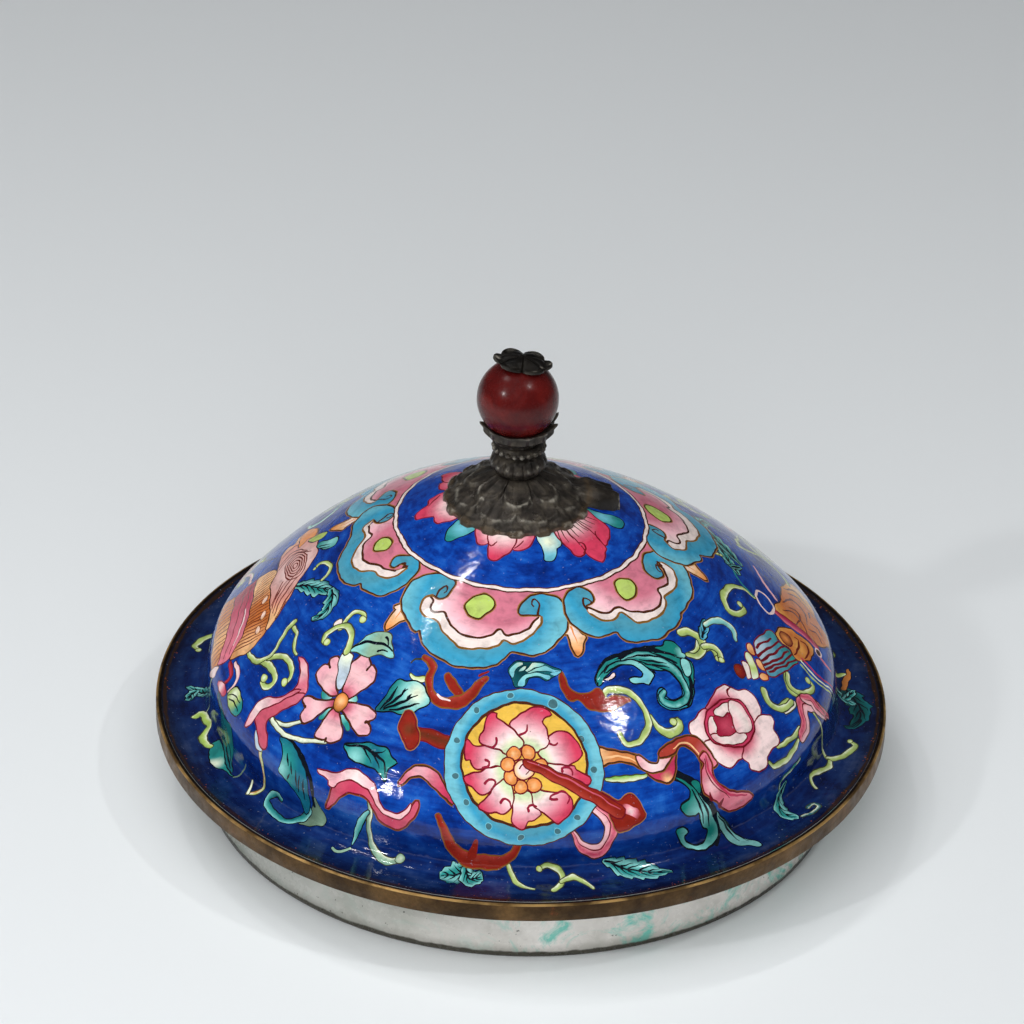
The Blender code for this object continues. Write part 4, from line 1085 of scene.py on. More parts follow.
def paint_wave_ribbon(art):
    """Paint the waving ribbon left of the wheel, with the leaf above it and the scrolls below."""
    draw = Sketch(art, *WAVE_RIBBON)
    draw.tendril(
        [(1.2, -1.2), (1.7, -2.9), (1.7, -5.2), (1.8, -7.5), (2.4, -9.7), (3.8, -11.0), (5.5, -11.9),
         (8.1, -12.0), (9.9, -10.7)], (0.8, 1.0, 1.1, 1.2, 1.3, 1.6, 1.6, 1.2), SAGE, 0.9)
    draw.brush(
        [(1.3, -3.1), (0.1, -5.3), (-1.1, -8.1), (-1.7, -11.3)], (0.6, 1.5, 1.4, 0.4), (PALE_TEAL, TEAL),
        LINE_BLACK, 0.22)
    draw.brush(
        [(-1.9, -12.3), (-3.0, -13.4), (-4.3, -14.1), (-5.6, -13.6)], (0.6, 0.9, 0.9, 0.5), (SAGE,),
        LINE_BLACK, 0.15)
    draw.patch(
        [(-7.6, -0.5), (-6.5, 0.8), (-4.9, 1.7), (-3.2, 2.0), (-1.3, 1.7), (0.6, 1.1), (2.0, -0.1),
         (3.5, -1.5), (4.8, -2.3), (6.4, -2.5), (8.1, -2.1), (9.3, -0.7), (9.8, 0.7), (10.6, 2.8),
         (11.2, 1.8), (11.1, 0.0), (10.3, -1.8), (9.1, -3.5), (7.4, -4.4), (5.6, -4.4), (3.9, -3.7),
         (1.1, -0.8), (-0.7, -0.1), (-2.3, 0.0), (-4.0, -0.6), (-5.5, -1.8), (-6.8, -3.3), (-9.0, -5.1),
         (-8.1, -3.1)], draw.glow((2.0, -1.6), 1.0, 11.0, ROSE_RIBBON, ROSE, ROSE_RIBBON), LINE_RED, 0.26,
        RUST_LINE)
    draw.patch(
        [(-11.8, 2.6), (-8.6, 2.3), (-6.7, 3.0), (-5.2, 3.8), (-3.2, 4.1), (-1.5, 3.7), (0.1, 3.0),
         (1.6, 2.0), (4.0, -0.9), (5.6, -1.6), (7.3, -1.3), (8.6, -0.3), (9.6, 1.8), (9.6, 0.4),
         (9.1, -0.9), (8.0, -2.0), (6.4, -2.4), (4.8, -2.2), (3.5, -1.4), (2.0, 0.0), (0.6, 1.2),
         (-1.3, 1.8), (-3.2, 2.1), (-4.9, 1.8), (-6.5, 0.9), (-7.5, -0.2), (-8.7, -0.1), (-8.7, 0.9),
         (-10.8, 1.7)], draw.glow((-3.0, 3.0), 1.0, 9.0, WHITE_PINK, PETAL_PINK, PALE_PINK), LINE_RED,
        0.24)
    draw.patch(
        [(6.2, 4.1), (6.3, 5.6), (6.9, 7.3), (8.1, 8.8), (9.5, 9.7), (11.2, 9.7), (12.7, 9.3),
         (14.2, 8.3), (17.5, 5.2), (15.3, 6.0), (13.6, 6.5), (11.9, 6.9), (10.3, 7.7), (9.0, 7.6),
         (7.7, 6.6), (6.9, 5.0)], draw.glow((9.0, 8.6), 0.5, 7.0, PETAL_PINK, PINK_RIBBON, ROSE),
        LINE_BROWN, 0.26, RUST_LINE)
    draw.patch(
        [(-7.5, 8.6), (-6.6, 7.4), (-5.6, 6.4), (-4.2, 5.7), (-2.7, 5.9), (0.5, 5.6), (3.1, 4.0),
         (2.8, 6.0), (3.4, 7.5), (4.0, 8.3), (2.5, 8.8), (1.6, 10.0), (-0.2, 10.2), (-2.4, 10.0),
         (-4.8, 9.3)], draw.glow((-4.6, 6.4), 0.5, 8.0, PALE_TEAL, TEAL, LEAF_BLUE, TEAL), LINE_BLACK,
        0.28)
    draw.ink(
        (0.3, 0.7, 0.5, 0.2), LINE_BLACK,
        [(-7.5, 8.6), (-6.4, 8.7), (-3.8, 9.0), (-1.4, 8.6), (0.6, 7.8), (2.1, 6.8), (3.0, 4.2)])
    draw.ink(
        (0.5, 0.15), LINE_BLACK, [(-3.8, 8.9), (-2.0, 7.6), (-0.8, 6.6)],
        [(-1.6, 8.6), (0.2, 7.2), (1.2, 6.0)], [(-1.0, 8.5), (0.6, 9.2), (1.2, 9.8)])


def paint_conch_scroll(art):
    """Paint the green scroll between the conch and the blossom."""
    draw = Sketch(art, *CONCH_SCROLL)
    draw.tendril(
        [(-4.7, -2.0), (-2.0, -1.1), (0.5, -1.0), (2.4, -1.6), (3.2, -2.9), (2.6, -4.1), (1.0, -4.7),
         (-0.2, -4.4), (-0.2, -3.6)], (0.8, 1.3, 1.4, 1.3, 1.3, 1.2, 1.0, 0.9), ball=0.9)
    draw.tendril(
        [(-3.1, -0.4), (-1.7, 1.3), (0.3, 2.4), (2.7, 2.7), (4.7, 2.3), (5.8, 1.3), (5.9, -0.1),
         (5.4, -0.7)], (0.9, 1.2, 1.3, 1.2, 1.1, 1.0, 0.9), ball=0.85)
    draw.tendril([(-3.5, 8.1), (-1.6, 7.7), (-0.4, 6.6), (1.1, 5.4), (2.7, 4.9)], (1.0, 0.7, 0.7, 0.6))
    draw.tendril(
        [(-10.2, -2.8), (-8.6, -3.0), (-5.9, -2.6), (-4.2, -1.3), (-3.2, 0.3), (-3.2, 2.3), (-3.9, 4.0),
         (-4.4, 5.6), (-4.8, 7.1), (-4.6, 9.1)], (0.9, 1.0, 1.1, 0.9, 0.8, 0.8, 1.0, 1.3))


def paint_left_edge(art):
    """Paint the blades, the squiggle and the small leaves by the brim under the conch."""
    draw = Sketch(art, *LEFT_EDGE)
    draw.ink((0.4, 0.5, 0.4), SAGE * 0.5, [(12.0, -0.5), (12.8, 1.0), (13.0, 2.6), (13.3, 4.3)])
    draw.patch(
        [(-3.4, 9.7), (-0.3, 8.1), (3.3, 7.2), (6.0, 7.3), (7.5, 4.2), (8.0, 0.8), (10.7, -0.1),
         (9.0, -0.6), (5.9, -0.5), (1.4, 2.0), (0.6, 6.4), (-2.4, 8.0)],
        draw.glow((5.0, 3.0), 0.5, 9.0, TEAL * 0.7, DEEP_TEAL, LEAF_BLUE * 0.6), LINE_BLACK, 0.22)
    draw.patch(
        [(2.7, -3.2), (0.5, -2.3), (-0.6, -1.1), (0.4, 0.2), (2.4, 0.3), (6.1, -0.8), (9.4, -0.9),
         (12.0, -0.5), (8.8, -1.6), (7.7, -2.6), (5.6, -3.4)],
        draw.glow((6.0, -3.2), 0.5, 5.0, WHITE_GREEN, TEAL, TEAL * 0.8), LINE_BLACK, 0.22)
    draw.ink(
        (0.3, 0.6, 0.2), LINE_BLACK, [(1.3, 4.5), (3.3, 2.1), (5.7, 0.3), (9.4, -0.2)],
        [(3.7, 5.5), (5.5, 2.6), (7.9, 0.2)])
    draw.tendril(
        [(-11.4, -1.8), (-12.2, -0.4), (-10.7, 0.0), (-8.7, -0.2), (-6.3, 0.1), (-5.5, -1.1),
         (-4.5, -2.3), (-2.9, -2.8), (-0.8, -2.6), (0.0, -2.0)], (1.4, 1.5, 1.5, 1.4, 1.5, 1.4, 1.2),
        SQUIGGLE)
    draw = Sketch(art)
    draw.leaf([(-174.0, 84.4), (-177.4, 87.6), (-179.6, 90.2)], (0.9, 2.8, 1.2), veins=3)
    draw.leaf([(-178.2, 88.2), (-177.0, 89.4), (-175.2, 90.4)], (1.6, 2.2, 0.8), veins=2)
    draw.leaf(
        [(-172.2, 51.0), (-167.2, 47.6), (-161.8, 45.0), (-157.6, 43.4)], (0.8, 3.4, 4.2, 1.2), veins=5)
    draw.leaf(
        [(-159.4, 43.4), (-155.2, 44.6), (-153.2, 47.4), (-155.0, 50.4)], (1.4, 3.6, 2.8, 0.8), veins=4)
    draw.tendril(
        [(-165.6, 44.2), (-166.8, 42.4), (-170.2, 41.6), (-173.6, 43.4), (-173.0, 45.4)],
        (0.7, 0.9, 0.9, 0.7), ball=0.4)


def paint_conch(art):
    """Paint the conch emblem with its ribbon, its curl and the bud beside it."""
    draw = Sketch(art)
    draw.ink((1.0, 0.7, 0.3), LINE_BLACK, [(156.5, 74.0), (161.5, 66.0), (166.8, 58.2)])
    draw.tendril([(-169.2, 77.4), (-169.6, 81.5), (-170.0, 86.2)], (1.0, 0.9, 0.4), SAGE)
    draw.tendril(
        [(165.8, 70.3), (162.4, 71.6), (163.2, 69.4), (166.6, 66.6), (170.2, 65.6)],
        (1.2, 1.0, 1.1, 1.0, 0.8), BLUSH)
    draw.brush(
        [(-166.5, 71.2), (-163.5, 71.6), (-162.6, 73.1), (-163.1, 74.5)], (0.6, 1.0, 0.9, 0.5),
        (ROSE, IRON_RED), LINE_RED, 0.15)
    draw.brush(
        [(-164.9, 70.0), (-162.0, 70.0), (-159.9, 72.1), (-160.3, 74.2)], (0.6, 1.1, 1.0, 0.6),
        (WHITE_PINK, BLUSH), LINE_BROWN, 0.18)
    draw.patch(
        [(-169.9, 76.9), (-173.5, 76.6), (-177.7, 75.3), (177.0, 74.7), (169.8, 74.7), (170.5, 71.7),
         (172.1, 69.7), (179.6, 69.5), (-174.4, 71.1), (-170.8, 73.7), (-169.5, 74.5)],
        draw.glow((-171.0, 76.0), 1.0, 16.0, TAN_BROWN, PEACH, TAN_BROWN), LINE_BROWN, 0.26)
    draw.patch(
        [(-169.8, 74.4), (-170.6, 73.5), (-175.7, 70.6), (176.0, 69.3), (171.7, 69.6), (171.1, 67.2),
         (171.8, 64.4), (172.0, 62.6), (179.2, 62.5), (-177.5, 63.3), (-174.1, 64.0), (-170.4, 66.0),
         (-168.5, 68.9), (-168.0, 71.7), (-168.9, 73.7)],
        draw.glow((172.0, 66.0), 2.0, 21.0, CRIMSON, ROSE, PINK_RIBBON, PINK), LINE_RED, 0.26)
    draw.ink(
        (0.2, 0.3, 0.2), LINE_RED, [(-169.4, 72.6), (-174.0, 68.8), (178.0, 66.6), (172.4, 66.4)],
        [(-169.0, 70.8), (-173.6, 66.6), (179.0, 64.6), (173.0, 64.4)])
    draw.ink((0.3, 0.5, 0.3), WHITE_PINK, [(-170.4, 69.0), (-174.0, 66.0), (-178.6, 64.6)])
    draw.patch(
        [(172.0, 62.6), (172.6, 58.8), (175.5, 55.8), (179.7, 57.1), (-175.9, 57.2), (-170.8, 57.7),
         (-166.7, 58.9), (-164.8, 60.4), (-164.0, 62.6), (-163.8, 65.6), (-165.5, 68.5), (-167.2, 71.0),
         (-168.5, 68.9), (-170.4, 66.0), (-174.1, 64.0), (179.2, 62.5)],
        draw.glow((-166.0, 66.0), 1.0, 18.0, PEACH, OCHRE, OCHRE, PEACH), LINE_BROWN, 0.26)
    draw.hatch(
        [(173.0, 60.6), (178.6, 62.2), (-174.4, 64.0), (-170.6, 66.0), (-168.7, 68.7), (-167.6, 70.4)],
        [(173.4, 57.8), (176.2, 56.4), (-175.9, 57.5), (-170.8, 58.2), (-166.0, 60.2), (-164.2, 65.0)],
        24, -0.03, (0.26, 0.34, 0.2), SHELL_LINE)
    draw.hatch(
        [(171.0, 74.2), (177.0, 74.4), (-177.7, 75.0), (-173.5, 76.2), (-170.2, 76.6)],
        [(172.4, 70.0), (179.6, 69.9), (-174.6, 71.4), (-171.4, 73.7), (-169.8, 74.6)], 15, 0.0,
        (0.24, 0.3), SHELL_LINE)
    draw.patch(
        [(175.5, 55.8), (179.7, 57.1), (-175.9, 57.2), (-170.8, 57.7), (-166.7, 58.9), (-164.8, 60.4),
         (-165.3, 57.8), (-166.8, 55.5), (-168.6, 52.9), (-172.0, 50.3), (-175.0, 47.6), (-178.5, 45.4),
         (178.1, 44.7), (168.7, 46.0), (163.4, 47.6), (160.4, 51.1), (161.8, 52.9), (165.6, 53.8),
         (165.4, 55.8), (169.9, 56.3)],
        draw.glow((179.0, 50.4), 1.0, 15.0, WHITE_PINK, SHELL_GREY, SHELL_PINK, PEACH), LINE_BROWN, 0.26)
    for oval in ((-175.6, 58.9), (-170.7, 59.9), (-167.4, 62.1)):
        draw.dot(oval, 1.1, draw.glow(oval, 0.0, 1.2, WHITE_PINK, PEACH), SHELL_LINE, 0.16, 0.6, -30.0)
    for radius in (4.9, 3.9, 2.9, 1.9, 0.9):
        draw.dot((178.9, 50.4), radius, SHELL_GREY, SHELL_LINE, 0.24, 0.58, 10.0)
    draw.ink(
        (0.25, 0.45, 0.25), SHELL_LINE, [(-168.3, 57.6), (-172.7, 54.7), (-175.5, 51.5), (-177.4, 49.0)],
        [(-165.7, 57.3), (-169.0, 53.6), (-172.0, 50.3)],
        [(-171.2, 57.4), (-175.4, 55.0), (-177.6, 53.6)],
        [(-167.0, 57.4), (-170.6, 54.6), (-173.6, 51.2), (-175.4, 48.6)],
        [(-166.0, 56.2), (-168.4, 53.6)], [(-169.8, 57.6), (-174.0, 55.2), (-176.6, 52.4)],
        [(175.4, 55.6), (172.2, 53.0), (172.8, 50.0), (176.4, 46.6)],
        [(174.0, 56.0), (170.4, 53.4), (171.0, 50.6), (174.6, 47.6)],
        [(170.0, 56.0), (167.0, 53.4), (168.0, 50.8)])
    draw.patch(
        [(163.0, 52.4), (160.4, 51.1), (163.4, 47.6), (167.7, 47.0), (167.4, 49.3), (169.8, 50.9)],
        ORANGE, LINE_BROWN, 0.22)
    draw.patch(
        [(168.9, 48.5), (167.8, 46.2), (169.3, 43.4), (171.7, 44.0), (171.5, 46.1)], SCROLL_GREEN,
        LINE_BLACK, 0.22)
    draw.patch(
        [(175.9, 44.8), (174.3, 44.3), (175.4, 42.1), (176.8, 39.6), (-179.0, 40.0), (179.9, 42.4)],
        draw.glow((177.0, 41.0), 0.4, 4.0, PALE_TEAL, TEAL), LINE_BLACK, 0.24)
    draw.ink((0.4, 0.15), LINE_BLACK, [(176.4, 44.0), (178.6, 41.0)], [(177.6, 44.0), (179.9, 41.4)])
    draw.patch(
        [(-171.3, 77.3), (-171.4, 78.4), (-168.3, 76.8), (-168.3, 75.4), (-168.9, 74.4)], WHITE_PINK,
        LINE_BROWN, 0.2)
    draw.patch(
        [(-165.7, 75.8), (-163.7, 76.3), (-161.2, 76.0), (-160.7, 74.8), (-162.6, 74.5), (-163.4, 74.6)],
        draw.glow((-163.6, 75.6), 0.3, 3.0, WHITE_PINK, PINK, ROSE), LINE_RED, 0.2)
    draw.patch(
        [(-159.8, 74.5), (-159.1, 72.5), (-157.0, 72.0), (-153.4, 74.0), (-154.4, 76.0), (-157.6, 76.2)],
        draw.glow((-157.8, 73.4), 0.4, 4.0, WHITE_GREEN, SCROLL_GREEN, TEAL), LINE_BLACK, 0.24)
    draw.ink(
        (0.25, 0.4, 0.2), LINE_BLACK, [(-159.4, 74.6), (-157.6, 73.4), (-155.0, 73.6)],
        [(-158.8, 75.2), (-156.8, 74.6), (-154.2, 74.8)])


def paint_lantern(art):
    """Paint the lotus-topped jar emblem with its sash, its tassels and its curls."""
    draw = Sketch(art)
    draw.dot(
        (-30.3, 58.0), 1.35, draw.glow((-30.6, 57.6), 0.0, 1.8, EMBER, IRON_RED, LINE_RED), LINE_BROWN,
        0.2)
    draw.patch(
        [(-27.9, 57.1), (-26.8, 57.7), (-27.2, 58.8), (-27.7, 59.9), (-29.2, 60.4), (-29.8, 60.1),
         (-28.7, 58.8)], CREAM, LINE_RED, 0.22)
    draw.patch(
        [(-25.0, 56.4), (-23.8, 56.8), (-24.0, 58.1), (-24.8, 59.4), (-26.0, 60.8), (-27.5, 61.2),
         (-28.6, 60.7), (-27.1, 59.1), (-25.9, 57.0)],
        draw.glow((-25.0, 57.6), 0.3, 4.4, WHITE_GREEN, OVAL_GREEN, WHITE_GREEN), LINE_RED, 0.22)
    beads = (
        [(-21.9, 55.6), (-20.8, 56.0), (-21.8, 57.3), (-22.8, 58.2), (-23.3, 57.4), (-23.0, 56.4)],
        [(-23.4, 59.0), (-22.6, 59.5), (-23.0, 60.9), (-23.5, 61.5), (-24.4, 60.7), (-24.2, 59.7)],
        [(-26.5, 61.4), (-25.2, 61.5), (-24.2, 62.5), (-24.9, 63.2), (-26.2, 62.7)],
    )
    for bead in beads:
        draw.patch(bead, draw.glow(bead[0], 0.2, 2.6, PEACH, ORANGE), LINE_RED, 0.22)
    draw.patch(
        [(-11.0, 58.6), (-14.9, 57.2), (-18.6, 56.6), (-20.1, 56.9), (-21.8, 58.2), (-22.3, 60.0),
         (-23.3, 61.7), (-23.7, 63.2), (-20.9, 64.3), (-16.5, 65.5), (-12.7, 66.4), (-12.4, 64.8),
         (-11.8, 63.7), (-12.6, 61.3), (-11.5, 60.1)],
        draw.glow((-20.0, 58.0), 1.0, 11.0, SKY_GREY, RING_BLUE, TEAL), LINE_RED, 0.26)
    stripes = (
        [(-20.3, 57.4), (-17.4, 58.0), (-13.4, 59.4)],
        [(-22.2, 58.6), (-17.2, 59.7), (-12.3, 61.2)],
        [(-22.0, 59.8), (-17.5, 61.0), (-12.3, 62.4)],
        [(-22.5, 60.7), (-16.9, 62.6), (-12.4, 63.6)],
        [(-23.0, 61.5), (-16.6, 63.7), (-12.1, 64.7)],
        [(-22.9, 62.4), (-17.4, 64.3), (-12.4, 66.0)],
    )
    for stripe in stripes:
        draw.ink((0.62, 0.55, 0.45), LINE_RED, stripe)
    draw.patch(
        [(-10.5, 59.9), (-7.4, 60.5), (-4.4, 62.9), (-4.2, 64.7), (-3.7, 66.8), (-3.4, 68.4),
         (-4.5, 69.7), (-7.6, 69.4), (-9.9, 68.3), (-11.7, 67.1), (-12.1, 65.4), (-11.1, 63.9),
         (-11.7, 61.6)], draw.glow((-8.0, 66.0), 0.6, 6.0, GOLD, OCHRE, GOLD), LINE_BROWN, 0.26)
    draw.dot((-9.2, 62.5), 1.7, draw.glow((-9.2, 62.3), 0.2, 1.8, ORANGE, EMBER), LINE_RED, 0.22)
    draw.patch(
        [(13.2, 63.4), (17.9, 67.3), (19.2, 70.1), (17.3, 71.5), (14.3, 72.5), (10.1, 72.2), (7.7, 73.5),
         (6.6, 75.2), (2.7, 74.7), (-1.2, 70.9), (-1.1, 69.0), (-1.8, 66.7), (-2.2, 64.0), (-3.0, 61.6),
         (-2.8, 59.3), (0.4, 59.0), (4.2, 60.8), (8.5, 61.5)],
        draw.glow((5.0, 67.0), 3.0, 14.0, OCHRE, OCHRE, GOLD, PEACH), LINE_BROWN, 0.26)
    draw.ink(
        (0.3, 0.6, 0.5, 0.3), SHELL_LINE, [(0.6, 61.0), (3.0, 64.0), (1.6, 67.0), (-0.8, 68.0)],
        [(7.0, 69.4), (9.6, 70.0), (9.4, 71.8)], [(1.8, 68.4), (3.0, 71.0), (1.0, 72.4)],
        [(11.4, 63.0), (14.6, 67.0), (12.6, 71.6)],
        [(4.0, 61.3), (8.1, 63.8), (8.9, 66.5), (6.7, 68.3), (3.3, 68.0)],
        [(13.6, 65.5), (15.7, 68.3), (13.5, 69.4)], [(3.9, 63.1), (4.9, 65.1), (2.7, 66.0), (-0.6, 64.6)],
        [(5.0, 69.5), (5.7, 71.7), (3.8, 72.6)],
        [(-6.1, 64.2), (-6.2, 65.5), (-9.9, 65.8), (-11.5, 65.2)],
        [(-5.5, 66.0), (-4.9, 67.8), (-6.3, 68.6), (-9.6, 67.9)],
        [(10.6, 64.0), (12.4, 67.4), (11.0, 70.6)])
    draw.brush(
        [(-2.7, 58.7), (-2.8, 61.0), (-2.2, 64.0), (-1.8, 66.7), (-1.9, 69.0), (-2.0, 70.6)],
        (1.4, 2.2, 2.4, 2.2, 1.8), (PINK, MAGENTA, CRIMSON), LINE_RED, 0.2)
    draw.dot((-3.4, 71.2), 0.85, LINE_BROWN, WHITE_PINK, 0.3)
    draw.ink((0.8, 0.9, 0.4), PINK_RIBBON, [(-4.5, 72.0), (-5.0, 73.7), (-4.6, 75.8)])
    draw.ink(
        (0.55, 0.7, 0.55), WHITE_PINK,
        [(-0.6, 53.8), (0.5, 54.2), (1.0, 56.2), (-1.0, 58.3), (-4.6, 58.0), (-5.6, 57.2), (-4.5, 55.1),
         (-2.8, 54.0), (-0.6, 53.8)])
    for shift, colour in ((0.0, SCROLL_GREEN), (1.1, WHITE_GREEN), (2.2, ROSE)):
        draw.ink(
            (0.6, 0.5, 0.3), colour,
            [(-12.6 + shift, 67.4), (-12.8 + shift, 69.7), (-12.6 + shift, 71.9), (-11.8 + shift, 74.5),
             (-10.4 + shift, 76.9), (-9.4 + shift, 80.2)])
    draw.ink((0.5, 0.9, 0.8), BLUSH, [(12.4, 55.0), (8.6, 55.8), (5.4, 57.0), (2.8, 59.2)])
    draw.tendril(
        [(-3.6, 53.4), (-3.4, 50.1), (-7.3, 47.2), (-12.9, 46.8), (-16.4, 48.7), (-14.8, 51.0),
         (-11.4, 51.6), (-10.8, 50.4)], (0.8, 1.1, 1.3, 1.5, 1.5, 1.3, 1.0), ball=0.7)
    draw.ribbon([(-20.0, 71.3), (-18.5, 73.0), (-18.3, 75.2), (-16.2, 79.0)], (2.0, 2.6, 2.2, 0.6))
    draw.ink((0.5, 0.6, 0.7), TEAL, [(-3.5, 53.2), (-0.8, 49.8), (2.0, 48.4), (6.0, 47.4)])
    draw.leaf([(2.0, 49.6), (4.8, 47.8), (8.6, 46.4), (13.4, 45.4)], (0.8, 2.8, 2.8, 0.8), veins=3)
    draw.leaf([(6.6, 50.4), (5.0, 48.8), (3.6, 47.4)], (0.8, 1.8, 0.8), veins=2)
    draw.tendril([(26.0, 45.0), (20.0, 44.6), (14.6, 45.4)], (1.4, 1.6, 1.2))


def paint_right_edge(art):
    """Paint the small things on the brim at the right."""
    draw = Sketch(art)
    draw.leaf(
        [(5.6, 88.6), (2.0, 90.4), (-2.3, 91.6), (-6.0, 90.6), (-7.0, 88.6)], (1.6, 4.0, 4.4, 3.0, 1.0),
        DEEP_TEAL * 0.35, TEAL * 0.3, 4)
    draw.brush(
        [(5.2, 88.4), (9.0, 90.0), (11.4, 90.8)], (1.0, 1.4, 0.5), (ORANGE * 0.7, ORANGE * 0.5),
        LINE_BLACK, 0.15)
    draw.tendril([(12.6, 83.6), (15.4, 85.4), (17.6, 88.0)], (0.7, 1.0, 0.7), SAGE)


def paint_lotus_emblem(art):
    """Paint the lotus blossom of the hidden side, in keeping with the rest."""
    draw = Sketch(art, *WHEEL)
    for side in (-1.0, 1.0):
        draw.leaf(
            [(0.0, -4.0), (4.0 * side, -7.4), (9.0 * side, -7.0), (13.0 * side, -10.0)],
            (1.0, 4.2, 4.0, 0.8), veins=5)
    corners = ((0.12, -0.5), (0.5, -1.1), (0.8, -0.8), (1.0, 0.0), (0.8, 0.8), (0.5, 1.1), (0.12, 0.5))
    for row, count, reach, spread in ((0, 7, 14.5, 14.0), (1, 6, 11.0, 13.0), (2, 5, 7.6, 13.0)):
        wash = draw.glow((0.0, -2.0), 2.0, reach, PALE_GREEN, WHITE_PINK, PALE_PINK, PINK_RIBBON, ROSE)
        for step in range(count):
            direction = 90.0 + (step - (count - 1) / 2.0) * (168.0 - 24.0 * row) / (count - 1)
            outline = []
            for share, side in corners:
                turn = math.radians(direction + spread * side)
                outline.append((reach * share * math.cos(turn), -2.0 + reach * share * math.sin(turn)))
            draw.patch(outline, wash, LINE_RED, 0.24)
    draw.patch(
        [(-3.2, 1.4), (0.0, 2.4), (3.2, 1.4), (2.2, -2.6), (0.0, -3.4), (-2.2, -2.6)],
        draw.glow((0.0, -2.0), 0.0, 4.0, SCROLL_GREEN, TEAL), LINE_BLACK, 0.2)
    for seed in ((-1.6, 0.8), (0.0, 1.2), (1.6, 0.8), (-0.8, -0.4), (0.8, -0.4)):
        draw.dot(seed, 0.45, YELLOW, LINE_BROWN, 0.12)


# The three patterns of lobe in the cloud collar, in degrees from the lobe's middle and mm from the crown
LOBE_FRONT = (
    [(-18.7, 31.6), (-16.1, 31.7), (-14.5, 30.8), (-14.0, 28.2), (-16.4, 26.9), (-20.3, 26.8),
     (-25.4, 27.6), (-29.3, 29.1), (-31.4, 31.0), (-31.1, 33.4), (-29.2, 35.6), (-26.1, 37.7),
     (-19.4, 40.0), (-17.4, 39.8), (-13.9, 42.5), (-6.9, 44.5), (0.5, 44.9), (7.3, 43.6), (9.8, 42.4),
     (11.8, 40.8), (17.6, 41.2), (21.1, 40.9), (25.0, 39.5), (28.2, 37.8), (31.1, 35.7), (32.3, 33.4),
     (31.9, 31.0), (29.7, 29.2), (25.4, 28.2), (21.2, 28.4), (17.6, 29.4), (15.0, 32.2), (21.4, 32.6)],
    [(22.7, 33.4), (22.2, 35.0), (17.3, 37.8), (13.3, 39.1), (9.6, 38.3), (7.5, 39.6), (4.1, 40.6),
     (-2.9, 41.1), (-6.2, 40.3), (-11.2, 38.2), (-13.2, 36.8), (-19.6, 36.3), (-22.6, 33.6),
     (-20.3, 31.6)],
    [(-20.8, 32.3), (-18.7, 32.8), (-18.5, 34.1), (-17.0, 35.0), (-14.6, 35.0), (-12.3, 34.6),
     (-8.8, 36.5), (-4.3, 38.2), (1.8, 38.3), (5.0, 37.7), (8.2, 36.1), (9.9, 36.9), (11.8, 37.1),
     (17.5, 35.8), (21.6, 33.4)],
    [(-5.3, 32.4), (-5.2, 30.8), (-3.0, 29.5), (0.6, 28.9), (4.4, 29.9), (4.6, 31.0), (2.8, 32.4),
     (0.0, 34.1), (-3.1, 33.9)],
)
LOBE_RIGHT = (
    [(-19.3, 33.1), (-19.3, 32.3), (-16.8, 31.8), (-15.3, 30.9), (-15.2, 29.7), (-17.1, 28.5),
     (-20.7, 28.2), (-26.9, 30.2), (-26.8, 35.3), (-22.4, 38.3), (-19.0, 39.2), (-13.5, 39.4),
     (-12.7, 40.6), (-10.6, 42.0), (-3.5, 43.6), (1.1, 43.7), (8.6, 43.0), (11.3, 41.9), (20.5, 41.0),
     (28.3, 38.3), (32.0, 35.0), (30.4, 31.1), (23.4, 29.2), (19.0, 29.5), (15.4, 30.7), (14.5, 32.3),
     (16.0, 33.6), (19.1, 34.3), (20.5, 33.8), (21.4, 32.3), (23.7, 31.9)],
    [(24.8, 32.7), (25.5, 34.2), (24.6, 35.7), (18.8, 37.8), (11.4, 37.5), (9.8, 38.8), (3.5, 39.9),
     (-4.1, 39.4), (-6.3, 38.0), (-7.7, 35.8), (-10.8, 36.4), (-14.9, 36.4), (-19.1, 34.4)],
    [(-18.8, 32.9), (-15.1, 34.6), (-12.6, 34.9), (-7.5, 34.6), (-4.8, 36.4), (2.0, 38.4), (8.9, 37.8),
     (11.4, 35.8), (13.3, 35.5), (17.9, 36.1), (21.9, 34.0), (22.5, 32.6)],
    [(-2.7, 30.1), (0.7, 29.7), (4.2, 30.7), (4.1, 32.4), (1.8, 33.7), (-2.2, 33.8), (-4.1, 32.4)],
)
